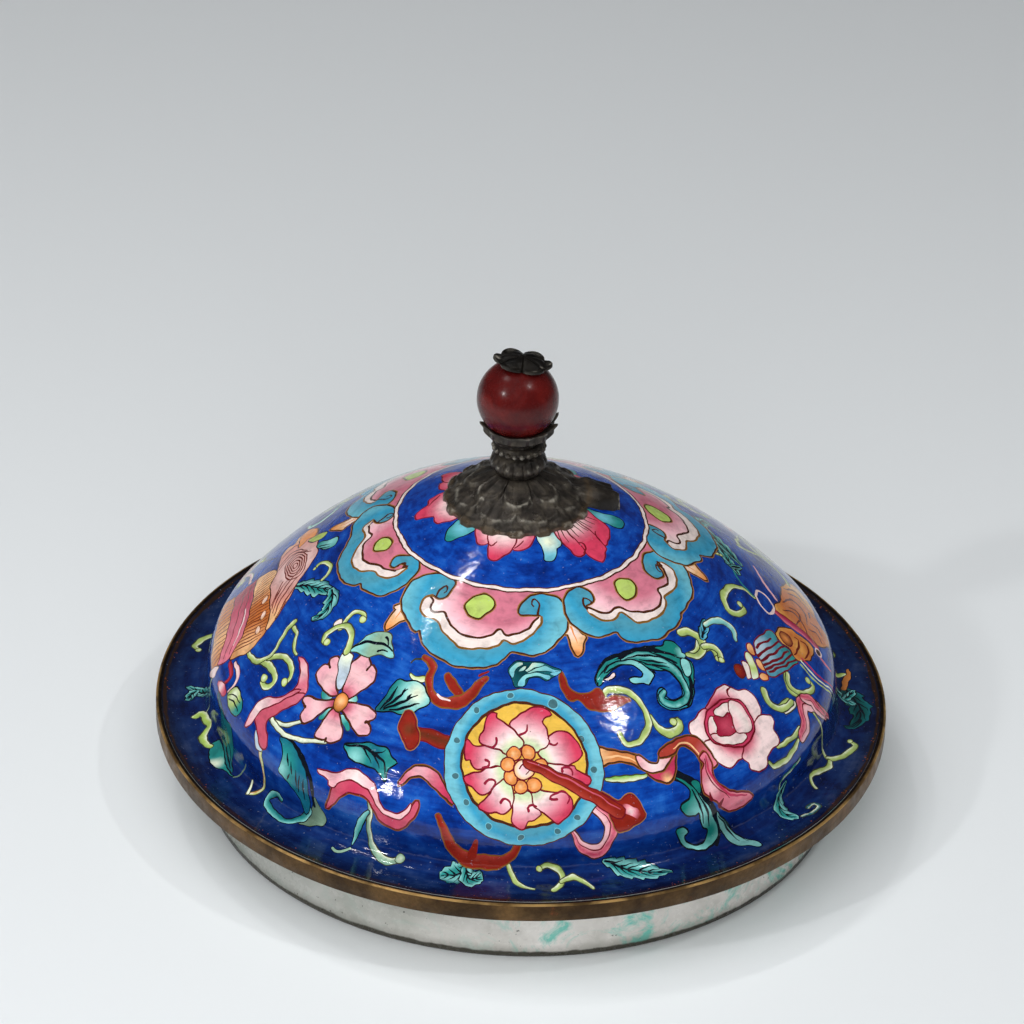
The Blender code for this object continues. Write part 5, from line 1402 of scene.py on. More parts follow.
LOBE_LEFT = (
    [(-17.6, 29.7), (-16.4, 28.3), (-17.0, 27.0), (-19.2, 26.1), (-22.7, 25.9), (-26.8, 27.1),
     (-30.9, 29.6), (-32.8, 32.1), (-31.1, 33.8), (-28.0, 35.0), (-23.5, 35.8), (-14.3, 36.3),
     (-8.6, 38.5), (-1.7, 40.3), (5.8, 40.1), (9.2, 39.0), (11.0, 37.7), (14.6, 38.1), (22.0, 36.7),
     (26.2, 32.9), (26.6, 28.8), (24.6, 27.3), (21.1, 26.5), (17.3, 26.9), (12.6, 28.6), (12.4, 29.8),
     (14.1, 30.7), (16.1, 30.5), (16.5, 29.3), (18.7, 28.7), (20.8, 28.9)],
    [(21.7, 29.4), (19.9, 32.2), (15.1, 34.2), (10.0, 34.3), (6.4, 36.3), (2.8, 37.0), (-1.0, 36.9),
     (-4.7, 36.1), (-7.2, 34.7), (-11.1, 32.8), (-15.3, 33.2), (-18.6, 33.1), (-21.2, 31.1)],
    [(-17.5, 31.7), (-13.4, 31.9), (-9.7, 31.4), (-6.1, 33.6), (2.0, 34.6), (9.7, 32.6), (13.2, 32.4),
     (18.1, 30.9)],
    [(-0.9, 31.5), (-3.8, 29.8), (-1.1, 28.0), (2.8, 28.1), (3.9, 29.5), (1.1, 31.5)],
)


def paint_collar(art):
    """Paint the cloud collar: six scrolled lobes with a bud between each two, outside the white ring."""
    draw = Sketch(art)
    draw.patch(
        [(angle, 29.6 + 1.6 * math.cos(math.radians(6.0 * (angle - 47.0)))) for angle in range(0, 360, 6)],
        COLLAR_PINK)
    lobes = ((-103.0, LOBE_FRONT), (-43.0, LOBE_RIGHT), (17.0, LOBE_FRONT), (77.0, LOBE_RIGHT),
             (137.0, LOBE_FRONT), (-163.0, LOBE_LEFT))
    for angle, _ in lobes:
        bud = Sketch(art, angle + 31.5)
        bud.patch(
            [(0.2, 34.6), (-0.3, 36.1), (-2.3, 37.5), (-1.1, 37.8), (-0.9, 39.9), (0.3, 42.5),
             (3.1, 39.8), (4.8, 38.5), (3.6, 38.1), (1.6, 35.5)],
            bud.glow((1.0, 37.0), 0.4, 5.0, CREAM, PEACH, ORANGE), LINE_BROWN, 0.26, GOLD_LINE)
        bud.ink((0.5, 0.15), ORANGE, [(0.8, 36.2), (1.0, 39.6)])
    for angle, lobe in lobes:
        paint_cloud_lobe(Sketch(art, angle), *lobe)


def paint_cloud_lobe(draw, outer, inner, white, oval):
    """Paint one lobe of the collar: a turquoise scroll, a white band and a pink yoke with a green oval."""
    yoke = [(24.0, 26.4), (12.0, 26.4), (0.0, 26.4), (-12.0, 26.4), (-24.0, 26.4)]
    draw.patch(
        white + yoke, draw.glow((8.0, 27.0), 4.0, 16.0, COLLAR_PINK, COLLAR_PINK, BLUSH, CREAM),
        LINE_BROWN, 0.0)
    draw.patch(
        outer + inner, draw.glow((0.0, 31.0), 5.0, 17.0, TURQUOISE, RING_BLUE, TURQUOISE, PALE_TURQUOISE),
        LINE_BROWN, 0.28, GOLD_LINE)
    draw.patch(inner + white, CREAM, GOLD_LINE, 0.2)
    draw.ink((0.5, 0.5), LINE_BROWN, white)
    draw.ink((0.45, 0.45), GOLD_LINE * 0.6, inner)
    for head, side in ((outer[:5], -1.0), (outer[:-6:-1], 1.0)):
        x, y = np.mean(head, axis=0)
        draw.ink(
            (0.5, 0.45, 0.3), LINE_BROWN,
            [head[0], (x + 2.6 * side, y + 0.1), (x + 1.2 * side, y - 1.1), (x - 0.6 * side, y - 0.2),
             (x, y + 0.5)])
    draw.patch(
        oval, draw.glow((0.4, 31.6), 0.4, 3.4, SCROLL_GREEN, OVAL_GREEN, OVAL_GREEN), LINE_BROWN, 0.28,
        GOLD_LINE)


def paint_crown(art):
    """Paint the blue disc inside the white ring, with lotus petals and leaf tips round the plate."""
    art.shape(circle(RING_CENTRE, RING_OUTSIDE, steps=200), CREAM, LINE_BROWN, 0.25)
    art.shape(circle(RING_CENTRE, RING_INSIDE, steps=200), None, LINE_BROWN, 0.2)
    left_tip = [(-144.0, 13.2), (-143.6, 17.3), (-138.2, 19.3), (-135.0, 19.2), (-131.3, 17.5),
                (-126.8, 15.4), (-126.5, 13.2)]
    for turn, reach, colour in ((0.0, 1.0, TEAL), (192.0, 1.05, TEAL), (250.0, 1.0, PALE_TURQUOISE)):
        draw = Sketch(art, turn)
        draw.patch(
            [(angle, arc * reach) for angle, arc in left_tip],
            draw.glow((-136.0, 15.0), 0.5, 7.0, PALE_TURQUOISE, colour, LEAF_BLUE), LINE_BLACK, 0.2)
    draw = Sketch(art)
    draw.patch(
        [(-71.5, 13.0), (-72.8, 15.4), (-71.7, 17.9), (-72.7, 20.2), (-69.3, 20.8), (-65.4, 19.9),
         (-61.9, 18.1), (-57.9, 17.3), (-57.2, 13.4)],
        draw.glow((-66.0, 16.0), 0.5, 6.0, WHITE_GREEN, PALE_TURQUOISE, RING_BLUE), LINE_BLACK, 0.2)
    draw.patch(
        [(-10.5, 13.4), (-14.8, 17.6), (-14.5, 19.8), (-12.6, 22.1), (-8.3, 22.5), (-4.0, 21.8),
         (-3.8, 19.5), (-6.6, 17.1)], draw.glow((-10.0, 18.0), 0.5, 6.0, PALE_TURQUOISE, TEAL, LEAF_BLUE),
        LINE_BLACK, 0.2)
    left_group = (
        [(-126.5, 13.2), (-119.8, 16.4), (-114.5, 17.4), (-110.8, 16.6), (-109.8, 15.5), (-112.9, 13.2)],
        [(-92.4, 13.4), (-91.6, 17.1), (-86.7, 17.5), (-81.0, 16.7), (-74.9, 13.6)],
        [(-112.2, 13.4), (-107.3, 18.6), (-105.0, 20.1), (-101.9, 20.3), (-97.8, 18.9), (-92.1, 17.1),
         (-91.5, 13.4)],
    )
    for turn, reach in ((0.0, 1.0), (130.0, 1.22), (188.0, 1.18), (242.0, 1.1)):
        paint_petals(
            Sketch(art, turn),
            [[(a, 13.2 + (s - 13.2) * reach) for a, s in petal] for petal in left_group], -101.0)
    paint_petals(
        draw,
        (
            [(168.6, 13.4), (173.6, 18.1), (-179.2, 18.6), (-174.3, 20.9), (-168.6, 21.5), (-166.3, 19.4),
             (-163.3, 17.8), (-158.1, 18.2), (-153.6, 17.5), (-150.1, 13.4)],
        ), -168.0)
    paint_petals(
        draw,
        (
            [(-56.1, 13.2), (-56.4, 16.5), (-54.5, 19.4), (-53.7, 20.7), (-50.2, 21.3), (-45.4, 20.2),
             (-42.0, 13.4)],
            [(-32.5, 21.4), (-26.8, 21.4), (-19.2, 20.1), (-15.6, 18.0), (-12.0, 13.4), (-30.0, 13.2)],
            [(-45.4, 20.2), (-46.0, 21.5), (-44.8, 23.5), (-42.3, 24.7), (-37.7, 23.2), (-32.5, 21.4),
             (-31.0, 13.4), (-44.0, 13.2)],
        ), -37.0, True)
    draw.ink(
        (0.25, 0.4, 0.25), LINE_RED, [(-45.2, 18.7), (-43.2, 19.2), (-44.5, 20.4), (-48.1, 21.1)],
        [(-27.9, 18.6), (-31.7, 19.6), (-31.9, 21.1)], [(-104.0, 16.0), (-106.6, 17.2), (-109.0, 17.0)],
        [(-85.0, 15.2), (-86.6, 16.0), (-90.0, 17.0)], [(172.0, 16.0), (178.0, 17.6), (-178.0, 18.4)])


def paint_petals(draw, petals, middle, lined=False):
    """Paint lotus petals that come from under the plate: cream with fine lines near it, rose at the rim."""
    for petal in petals:
        draw.patch(
            petal,
            draw.glow((middle, 12.0), 2.0, 11.0, CREAM, PALE_PINK, PINK_RIBBON, CORAL, CORAL, CORAL),
            LINE_RED, 0.24)
    for step in range(9 if lined else 0):
        angle = middle + 4.2 * (step - 4)
        draw.ink(
            (0.34, 0.15), LINE_BROWN,
            [(angle, 13.6), (angle + 0.5 * (step - 4), 15.8), (angle + 0.8 * (step - 4), 17.4)])


def paint_brim_edge(art):
    """Paint the burnt edge of the enamel by the brass, with its rust-coloured specks."""
    inner = []
    for angle in np.arange(0.0, 360.0, 1.5):
        turn = math.radians(angle)
        depth = 0.95 + 0.3 * math.sin(5.0 * turn + 1.0) * math.sin(17.0 * turn)
        inner.append(place(angle, BRIM_END - depth))
    outer = circle((0.0, 0.0), BRIM_END - 0.25, steps=240)
    art.fill(np.vstack([outer, outer[:1], inner[:1], inner[::-1]]), BURNT)
    dice = random.Random(7)
    for _ in range(240):
        angle = dice.uniform(0.0, 360.0)
        middle = place(angle, BRIM_END - dice.uniform(0.3, 1.6))
        radius = dice.uniform(0.08, 0.22)
        art.fill(circle(middle, radius, dice.uniform(0.5, 1.0), math.radians(angle + 90.0), 7), EMBER)


def paint_all():
    """Paint the whole lid and return the shapes and their washes."""
    art = Painting()
    for turn in (0.0, 180.0):
        art.turn = turn
        sprays = (paint_left_edge, paint_conch_scroll, paint_left_spray, paint_wave_ribbon, paint_blossom,
                  paint_scroll_leaf, paint_peony_spray, paint_front_leaves, paint_red_ribbons,
                  paint_right_ribbon)
        for paint in sprays:
            paint(art)
        if turn == 0.0:
            paint_conch(art)
            paint_wheel(art)
            paint_lantern(art)
            paint_right_edge(art)
        else:
            paint_lotus_emblem(art)
    art.turn = 0.0
    paint_collar(art)
    paint_crown(art)
    paint_brim_edge(art)
    return art


# Making meshes
def new_object(name, verts, faces):
    """Make an object from points in millimetres and its faces."""
    mesh = bpy.data.meshes.new(name)
    mesh.from_pydata([tuple(point) for point in np.asarray(verts, float) * MM], [], faces)
    mesh.update()
    made = bpy.data.objects.new(name, mesh)
    bpy.context.scene.collection.objects.link(made)
    return made


def seen_edges(shapes, stack):
    """Return the corners of the painted shapes and the edges that no later shape hides."""
    corners, edges = [], []
    for index, shape in enumerate(shapes):
        cover = stack.top(shape, index)
        hidden = (cover >= 0) & (cover == np.roll(cover, -1))
        first, count = len(corners), len(shape)
        corners.extend(shape)
        edges.extend((first + k, first + (k + 1) % count) for k in range(count) if not hidden[k])
    used = sorted(set(k for edge in edges for k in edge))
    renumber = {old: new for new, old in enumerate(used)}
    return [corners[k] for k in used], [(renumber[a], renumber[b]) for a, b in edges]


def cut_face(shapes, stack, washes):
    """Cut the unrolled enamel into triangles along the painted shapes, finer where a colour is shaded."""
    corners, edges = seen_edges(shapes, stack)
    first = len(corners)
    edges += [(first + k, first + (k + 1) % RING_STEPS) for k in range(RING_STEPS)]
    angles = np.arange(RING_STEPS) * math.tau / RING_STEPS
    ring = np.stack([BRIM_END * np.cos(angles), BRIM_END * np.sin(angles)], 1)
    net = hex_points(GROUND_STEP, BRIM_END)
    fine = hex_points(SHADE_STEP, BRIM_END)
    shaded = np.array([callable(wash) for wash in washes] + [False])
    fine = fine[shaded[stack.top(fine)]]
    points = [Vector(point) for part in (corners, ring, net, fine) for point in part]
    found = delaunay_2d_cdt(points, edges, [], 1, MERGE_REACH, False)
    flat, faces = np.array([tuple(point) for point in found[0]]), np.array(found[2])
    a, b, c = (flat[faces[:, k]] for k in range(3))
    area = (b[:, 0] - a[:, 0]) * (c[:, 1] - a[:, 1]) - (b[:, 1] - a[:, 1]) * (c[:, 0] - a[:, 0])
    faces[area < 0.0] = faces[area < 0.0][:, ::-1]
    return flat, faces


def corner_colours(flat, faces, stack, washes):
    """Return a colour for each corner of each triangle, with alpha 1 on the bare ground and 0 under paint."""
    points = flat[faces]
    owner = stack.top(points.sum(1) / 3.0)
    reach = np.hypot(points[..., 0], points[..., 1]).ravel()
    colours = np.ones((len(faces) * 3, 4))
    colours[:, :3] = np.stack([np.interp(reach, GROUND_ARCS, shades) for shades in GROUND_SHADES], 1)
    for index in np.unique(owner):
        if index < 0 or washes[index] is None:
            continue
        mine = np.where(owner == index)[0]
        loops = (mine[:, None] * 3 + np.arange(3)).ravel()
        wash = washes[index]
        colours[loops, :3] = wash(points[mine].reshape(-1, 2)) if callable(wash) else wash
        colours[loops, 3] = 0.0
    return colours


def make_skin(materials):
    """Make the enamelled shell: a painted face, the brim's edge and the plain inside."""
    art = paint_all()
    shapes = [thinned(wavered(shape)) for shape in art.shapes]
    stack = Stack(shapes)
    flat, faces = cut_face(shapes, stack, art.washes)
    return assemble_skin(flat, faces, corner_colours(flat, faces, stack, art.washes), materials)


def assemble_skin(flat, faces, colours, materials):
    """Bend the painted face onto the dome, add the edge and the inside, and set the normals."""
    arc = np.hypot(flat[:, 0], flat[:, 1])
    angle = np.arctan2(flat[:, 1], flat[:, 0])
    edge = np.where(arc > BRIM_END - 0.02)[0]
    edge = edge[np.argsort(np.mod(angle[edge], math.tau))]
    turns = np.mod(angle[edge], math.tau)
    count, base = len(edge), len(flat)
    levels = [BRIM_END, FOOT_END + 3.0, FOOT_END, FOOT_END - 2.4, WALL_END, SHOULDER_END]
    levels += [SHOULDER_END - (SHOULDER_END - FLANK_END) * k / 4.0 for k in range(1, 5)]
    levels += [FLANK_END * (1.0 - k / 16.0) for k in range(1, 16)]
    rings = [on_enamel(turns, np.full(count, level), ENAMEL_WALL) for level in levels]
    inward = [-enamel_normals(turns, np.full(count, level)) for level in levels]
    middle = on_enamel(np.zeros(1), np.zeros(1), ENAMEL_WALL)
    verts = np.vstack([on_enamel(angle, arc)] + rings + [middle])
    all_faces = faces.tolist()
    normals = [enamel_normals(angle, arc)[faces.ravel()]]
    outward = np.stack([np.cos(turns), np.sin(turns), np.zeros(count)], 1)
    rows = [edge] + [base + level * count + np.arange(count) for level in range(len(levels))]
    slopes = [(outward, outward)] + list(zip(inward[:-1], inward[1:]))
    after = np.roll(np.arange(count), -1)
    for upper, lower, (above, below) in zip(rows[:-1], rows[1:], slopes):
        all_faces += np.stack([upper, lower, lower[after], upper[after]], 1).tolist()
        normals.append(np.stack([above, below, below[after], above[after]], 1).reshape(-1, 3))
    tips = np.full(count, len(verts) - 1)
    down = np.tile((0.0, 0.0, -1.0), (count, 1))
    all_faces += np.stack([rows[-1], tips, rows[-1][after]], 1).tolist()
    normals.append(np.stack([inward[-1], down, inward[-1][after]], 1).reshape(-1, 3))
    skin = new_object("painted_dome", verts, all_faces)
    mesh = skin.data
    for material in materials:
        mesh.materials.append(material)
    slots = np.ones(len(all_faces), np.int32)
    slots[: len(faces)] = 0
    mesh.polygons.foreach_set("material_index", slots)
    paint = mesh.color_attributes.new("paint", "FLOAT_COLOR", "CORNER")
    whole = np.ones((len(mesh.loops), 4), np.float32)
    whole[: len(colours)] = colours
    paint.data.foreach_set("color", whole.ravel())
    lay_bake_map(mesh, flat, base, verts)
    mesh.polygons.foreach_set("use_smooth", np.ones(len(all_faces), bool))
    mesh.normals_split_custom_set([tuple(one) for one in np.vstack(normals)])
    return skin


def lay_bake_map(mesh, flat, base, verts):
    """Lay the painted face and the inside side by side on one map."""
    face_share, inside_share, margin = 0.87, 0.26, 0.005
    places = np.zeros((len(mesh.vertices), 2))
    places[:base] = margin + face_share * (0.5 + 0.5 * flat / BRIM_END)
    spread = 0.5 + 0.5 * verts[base:, :2] / (BRIM_EDGE_RADIUS + 1.0)
    places[base:] = 1.0 - margin - inside_share + inside_share * spread
    indices = np.zeros(len(mesh.loops), np.int32)
    mesh.loops.foreach_get("vertex_index", indices)
    uv = mesh.uv_layers.new(name="OFBake")
    uv.data.foreach_set("uv", places[indices].ravel().astype(np.float32))


def polar_piece(name, rings, steps, material, shape, smooth_angle=50.0):
    """Make a closed solid from rings of (share, side) marks, each laid round by a shape function."""
    verts, faces = [], []
    for share, side in rings[1:-1]:
        verts += [shape(share, math.tau * step / steps, side) for step in range(steps)]
    top = len(verts)
    verts += [shape(share, 0.0, side) for share, side in (rings[0], rings[-1])]
    for step in range(steps):
        after = (step + 1) % steps
        faces.append((top, after, step))
        for row in range(len(rings) - 3):
            start, below = row * steps, (row + 1) * steps
            faces.append((start + step, start + after, below + after, below + step))
        last = (len(rings) - 3) * steps
        faces.append((top + 1, last + step, last + after))
    made = new_object(name, verts, faces)
    finish_mesh(made, material, smooth_angle)
    return made


def open_for_edit(made):
    """Open one object for edits, with all of its mesh selected."""
    bpy.ops.object.select_all(action="DESELECT")
    bpy.context.view_layer.objects.active = made
    made.select_set(True)
    bpy.ops.object.mode_set(mode="EDIT")
    bpy.ops.mesh.select_all(action="SELECT")


def finish_mesh(made, material, smooth_angle=50.0):
    """Merge doubles, turn the faces outwards, shade smooth and give the material."""
    open_for_edit(made)
    bpy.ops.mesh.remove_doubles(threshold=0.01 * MM)
    bpy.ops.mesh.normals_make_consistent(inside=False)
    bpy.ops.object.mode_set(mode="OBJECT")
    bpy.ops.object.shade_smooth_by_angle(angle=math.radians(smooth_angle))
    made.select_set(False)
    made.data.materials.clear()
    made.data.materials.append(material)


def turned_piece(name, outline, steps, material):
    """Spin a closed outline of (radius, height) points in millimetres into a solid."""
    made = new_object(name, [(radius, 0.0, height) for radius, height in outline], [])
    mesh = made.data
    count = len(outline)
    mesh.edges.add(count)
    mesh.edges.foreach_set("vertices", [k for start in range(count) for k in (start, (start + 1) % count)])
    mesh.update()
    open_for_edit(made)
    bpy.ops.mesh.spin(steps=steps, angle=math.tau, center=(0.0, 0.0, 0.0), axis=(0.0, 0.0, 1.0))
    bpy.ops.object.mode_set(mode="OBJECT")
    finish_mesh(made, material)
    return made


def make_ball(middle, radius, segments, rings, material):
    """Make a ball round a point in millimetres, with its place in its mesh."""
    bpy.ops.mesh.primitive_uv_sphere_add(
        segments=segments, ring_count=rings, radius=radius * MM, location=(0.0, 0.0, 0.0))
    ball = bpy.context.object
    ball.data.transform(Matrix.Translation(middle * MM))
    finish_mesh(ball, material)
    return ball


def keep_values(mesh, name, values):
    """Keep a value for each point of a mesh, for its material to read."""
    attribute = mesh.attributes.new(name, "FLOAT", "POINT")
    attribute.data.foreach_set("value", np.asarray(values[: len(mesh.vertices)], np.float32))


def join_pieces(name, pieces):
    """Join several objects into one with its origin at the middle of the scene."""
    bpy.ops.object.select_all(action="DESELECT")
    for piece in pieces:
        piece.select_set(True)
    bpy.context.view_layer.objects.active = pieces[0]
    bpy.ops.object.join()
    pieces[0].name = name
    pieces[0].select_set(False)
    return pieces[0]


def arc_points(centre, radius, start, end, steps):
    """Return points on an arc, whose angle is measured from straight up, clockwise."""
    points = []
    for step in range(steps + 1):
        angle = start + (end - start) * step / steps
        points.append((centre[0] + radius * math.sin(angle), centre[1] + radius * math.cos(angle)))
    return points


def smooth_step(value):
    """Ease a value from 0 to 1."""
    value = min(max(value, 0.0), 1.0)
    return value * value * (3.0 - 2.0 * value)


def dome_height(radius):
    """Return the height of the dome's face near its crown."""
    edge = CROWN_RADIUS * math.sin(CROWN_ANGLE)
    if radius <= edge:
        return DOME_TOP - CROWN_RADIUS + math.sqrt(CROWN_RADIUS ** 2 - radius ** 2)
    centre = edge - FLANK_RADIUS * math.sin(CROWN_ANGLE)
    base = CROWN_EDGE - FLANK_RADIUS * math.cos(CROWN_ANGLE)
    return base + math.sqrt(FLANK_RADIUS ** 2 - (radius - centre) ** 2)


def make_band(material):
    """Make the brass band with its rounded top edge and the ledge under the brim."""
    inner = DOME_RADIUS + BRIM_WIDTH
    outer = inner + BAND_THICKNESS
    ledge = inner - BAND_LEDGE
    under = BAND_TOP - ENAMEL_WALL - GAP
    corner = (outer - BAND_ROUNDING, BAND_TOP - BAND_ROUNDING)
    low_round, lip_round = 0.2, 0.1
    outline = [(ledge, FLANGE_DROP), (outer - low_round, FLANGE_DROP), (outer, FLANGE_DROP + low_round),
               (outer, BAND_TOP - BAND_ROUNDING - 0.2)]
    outline += arc_points(corner, BAND_ROUNDING, math.pi / 2.0, 0.0, 5)
    outline += [(inner + 0.45, BAND_TOP), (inner + lip_round, BAND_TOP), (inner, BAND_TOP - lip_round),
                (inner, under - GAP), (ledge, under - GAP)]
    band_piece = turned_piece("brass_rim", outline, 256, material)
    # The rounded top corner is marked for a painted highlight, a gold line that is partly brass bared by wear;
    # the lip is marked for its burnt edge.
    rubbed_and_glint = []
    for vertex in band_piece.data.vertices:
        reach, height = math.hypot(vertex.co.x, vertex.co.y) / MM, vertex.co.z / MM
        on_corner = reach > outer - BAND_ROUNDING - 0.05 and height > BAND_TOP - 0.8 * BAND_ROUNDING
        on_lip = reach < inner + 0.5 and height > BAND_TOP - 0.5
        rubbed_and_glint.append(0.0 if on_lip else (1.0 if on_corner else 0.5))
    keep_values(band_piece.data, "rubbed_and_glint", rubbed_and_glint)
    return band_piece


def make_flange(material):
    """Make the white-enamelled flange with its bare lower edge."""
    outer = DOME_RADIUS + FLANGE_STEP
    inner = outer - FLANGE_WALL
    round_off = 0.35
    outline = [(inner + round_off, 0.0), (outer - round_off, 0.0)]
    outline += [(outer, height) for height in (round_off, 1.2, 4.0, 8.0, 12.0, FLANGE_DROP + 2.2)]
    outline += [(inner, height) for height in (FLANGE_DROP + 3.4, 8.0, round_off)]
    return turned_piece("white_flange", outline, 240, material)


def petal_edge(wave, tip, crease):
    """Return how far a petal's rounded edge reaches, as a share of the plate."""
    return tip * (crease + (1.0 - crease) * math.sqrt(max(1.0 - (1.0 - wave) ** 2, 0.0)))


def make_plate(material):
    """Make the lotus plate: a cushion with two tiers of rimmed petals, tabs and the solder run."""
    steps, rows = 256, 64
    inner_tip, inner_crease = 0.72, 0.42
    outer_tip, outer_crease = 0.90, 0.80
    rim_top = dome_height(PLATE_RADIUS) + PLATE_EDGE
    seat_share = STEM_FOOT_RADIUS / PLATE_RADIUS
    worn_and_glint = []

    def solder(angle):
        turn = math.remainder(angle - SOLDER_ANGLE, math.tau) / SOLDER_SPREAD
        lumps = 0.92 + 0.10 * math.sin(31.0 * angle) + 0.07 * math.sin(67.0 * angle + 2.0)
        return max(1.0 - turn * turn, 0.0) ** 0.8 * lumps

    def ridge(share, edge, width):
        return math.exp(-((share - edge) / width) ** 2)

    def shape(share, angle, side):
        tab_wave = 0.5 + 0.5 * math.cos(2.0 * PLATE_PETALS * angle)
        tabs = 1.0 + 0.3 / PLATE_RADIUS * (2.0 * smooth_step(tab_wave * 1.8 - 0.4) - 1.0)
        run = SOLDER_REACH * min(solder(angle), 1.1) * smooth_step((share - 0.70) / 0.30)
        radius = share * PLATE_RADIUS * tabs + run
        x, y = radius * math.cos(angle), radius * math.sin(angle) + PLATE_SHIFT * min(share * 2.0, 1.0)
        lowest = dome_height(math.hypot(x, y))
        if side < 0.5:
            worn_and_glint.append(0.0)
            return FINIAL_AXIS + Vector((x, y, lowest))
        slope = min(max((1.0 - share) / (1.0 - seat_share), 0.0), 1.0)
        height = rim_top + (PLATE_TOP - rim_top) * slope ** 0.80
        wave = abs(math.cos(PLATE_PETALS / 2.0 * angle))
        between = abs(math.sin(PLATE_PETALS / 2.0 * angle))
        inner = petal_edge(wave, inner_tip, inner_crease)
        outer = petal_edge(between, outer_tip, outer_crease)
        in_step = smooth_step((inner - share) / 0.035 + 0.5)
        out_step = smooth_step((outer - share) / 0.03 + 0.5)
        inner_rim = ridge(share, inner - 0.045, 0.022) * smooth_step((wave - 0.12) / 0.3)
        inner_line = ridge(share, inner - 0.115, 0.018) * smooth_step((wave - 0.25) / 0.3)
        vein = 0.25 * math.exp(-((1.0 - wave) / 0.012) ** 2) * smooth_step((inner - 0.12 - share) / 0.1)
        outer_rim = ridge(share, outer - 0.03, 0.018)
        tab_rise = 0.30 * smooth_step((share - 0.91) / 0.03) * smooth_step(tab_wave * 2.2 - 0.7)
        tab_rim = smooth_step((share - 0.955) / 0.02) * smooth_step(tab_wave * 2.2 - 0.7)
        hidden = smooth_step((run - 0.6) / 1.2)
        relief = 0.50 * in_step + 0.30 * out_step + 0.22 * inner_rim + 0.12 * inner_line
        relief += 0.16 * outer_rim + 0.5 * vein + tab_rise
        relief -= 0.088 * (1.0 - in_step) * smooth_step((inner_tip - share) / 0.1)
        lumps = 0.35 * math.sin(30.0 * share + 9.0 * angle) * math.sin(27.0 * angle + 15.0 * share)
        swell = math.sin(math.pi * min(max((share - 0.6) / 0.4, 0.0), 1.0))
        relief = relief * (1.0 - hidden) + hidden * (0.3 + lumps * 0.8 + 0.35 * swell)
        height = max(height + relief - 0.35, lowest + PLATE_EDGE * (0.75 + 0.25 * tab_wave))
        if share > 0.985:
            height = lowest + PLATE_EDGE * (0.8 if hidden < 0.5 else 0.35)
        # The petal and tab rims are lightened in the colour: painted glints, partly bare metal from wear.
        worn_and_glint.append((0.7 * inner_rim + tab_rim + 0.5 * outer_rim) * (1.0 - hidden))
        return FINIAL_AXIS + Vector((x, y, min(height, PLATE_TOP + 0.02)))

    rings = [(0.0, 0), (0.3, 0), (0.6, 0), (0.8, 0), (0.9, 0), (1.0, 0), (1.0, 1)]
    rings += [(1.0 - 0.99 * row / rows, 1) for row in range(1, rows)] + [(0.0, 1)]
    plate = polar_piece("lotus_plate", rings, steps, material, shape)
    keep_values(plate.data, "worn_and_glint", worn_and_glint)
    return plate


def round_finial(radius, angle, height):
    """Return a point at a radius, an angle and a height round the finial's axis."""
    return FINIAL_AXIS + Vector((radius * math.cos(angle), radius * math.sin(angle), height))


def make_stem(material):
    """Make the gadrooned bulb, the neck and the ring of small beads above it."""
    height = GAP + STEM_HEIGHT
    rows = 36
    radii = {}
    for row in range(rows + 1):
        share = row / rows
        if share < BULB_SHARE:
            swell = math.sin(math.pi * min(max((share - 0.02) / 0.66, 0.0), 1.0)) ** 0.75
            radius = STEM_FOOT_RADIUS + (BULB_RADIUS - 0.1 - STEM_FOOT_RADIUS) * swell
            radius = max(radius, NECK_RADIUS - 0.5 if share > 0.4 else 0.0)
        else:
            swell = math.sin(math.pi * (share - BULB_SHARE) / (1.0 - BULB_SHARE))
            radius = NECK_RADIUS + 0.1 + 0.65 * swell
        radii[share] = radius
    rubbed_and_glint = []

    def shape(share, angle, side):
        crest = abs(math.cos(STEM_FLUTES / 2.0 * angle))
        # A painted glint: a small light spot high on each gadroon's crest.
        rubbed_and_glint.append(math.exp(-((share - 0.44) / 0.045) ** 2) * smooth_step((crest - 0.86) / 0.08))
        if side != 1:
            return round_finial(0.0, 0.0, STEM_BOTTOM + (height if side == 2 else 0.0))
        bulge = smooth_step((share - 0.03) / 0.12) * smooth_step((0.62 - share) / 0.12)
        radius = radii[share] - 0.42 * bulge * (1.0 - crest ** 0.6)
        return round_finial(radius, angle, STEM_BOTTOM + share * height)

    rings = [(0.0, 0)] + [(share, 1) for share in radii] + [(0.0, 2)]
    bulb = polar_piece("finial_stem_metal", rings, 160, material, shape, 60.0)
    keep_values(bulb.data, "worn_and_glint", rubbed_and_glint)
    beads = []
    for step in range(RING_BEADS):
        middle = round_finial(BEADED_RING_RADIUS, math.tau * step / RING_BEADS, STEM_BOTTOM + 0.84 * height)
        beads.append(make_ball(middle, RING_BEAD_RADIUS, 12, 8, material))
    return join_pieces("finial_stem_metal", [bulb] + beads)


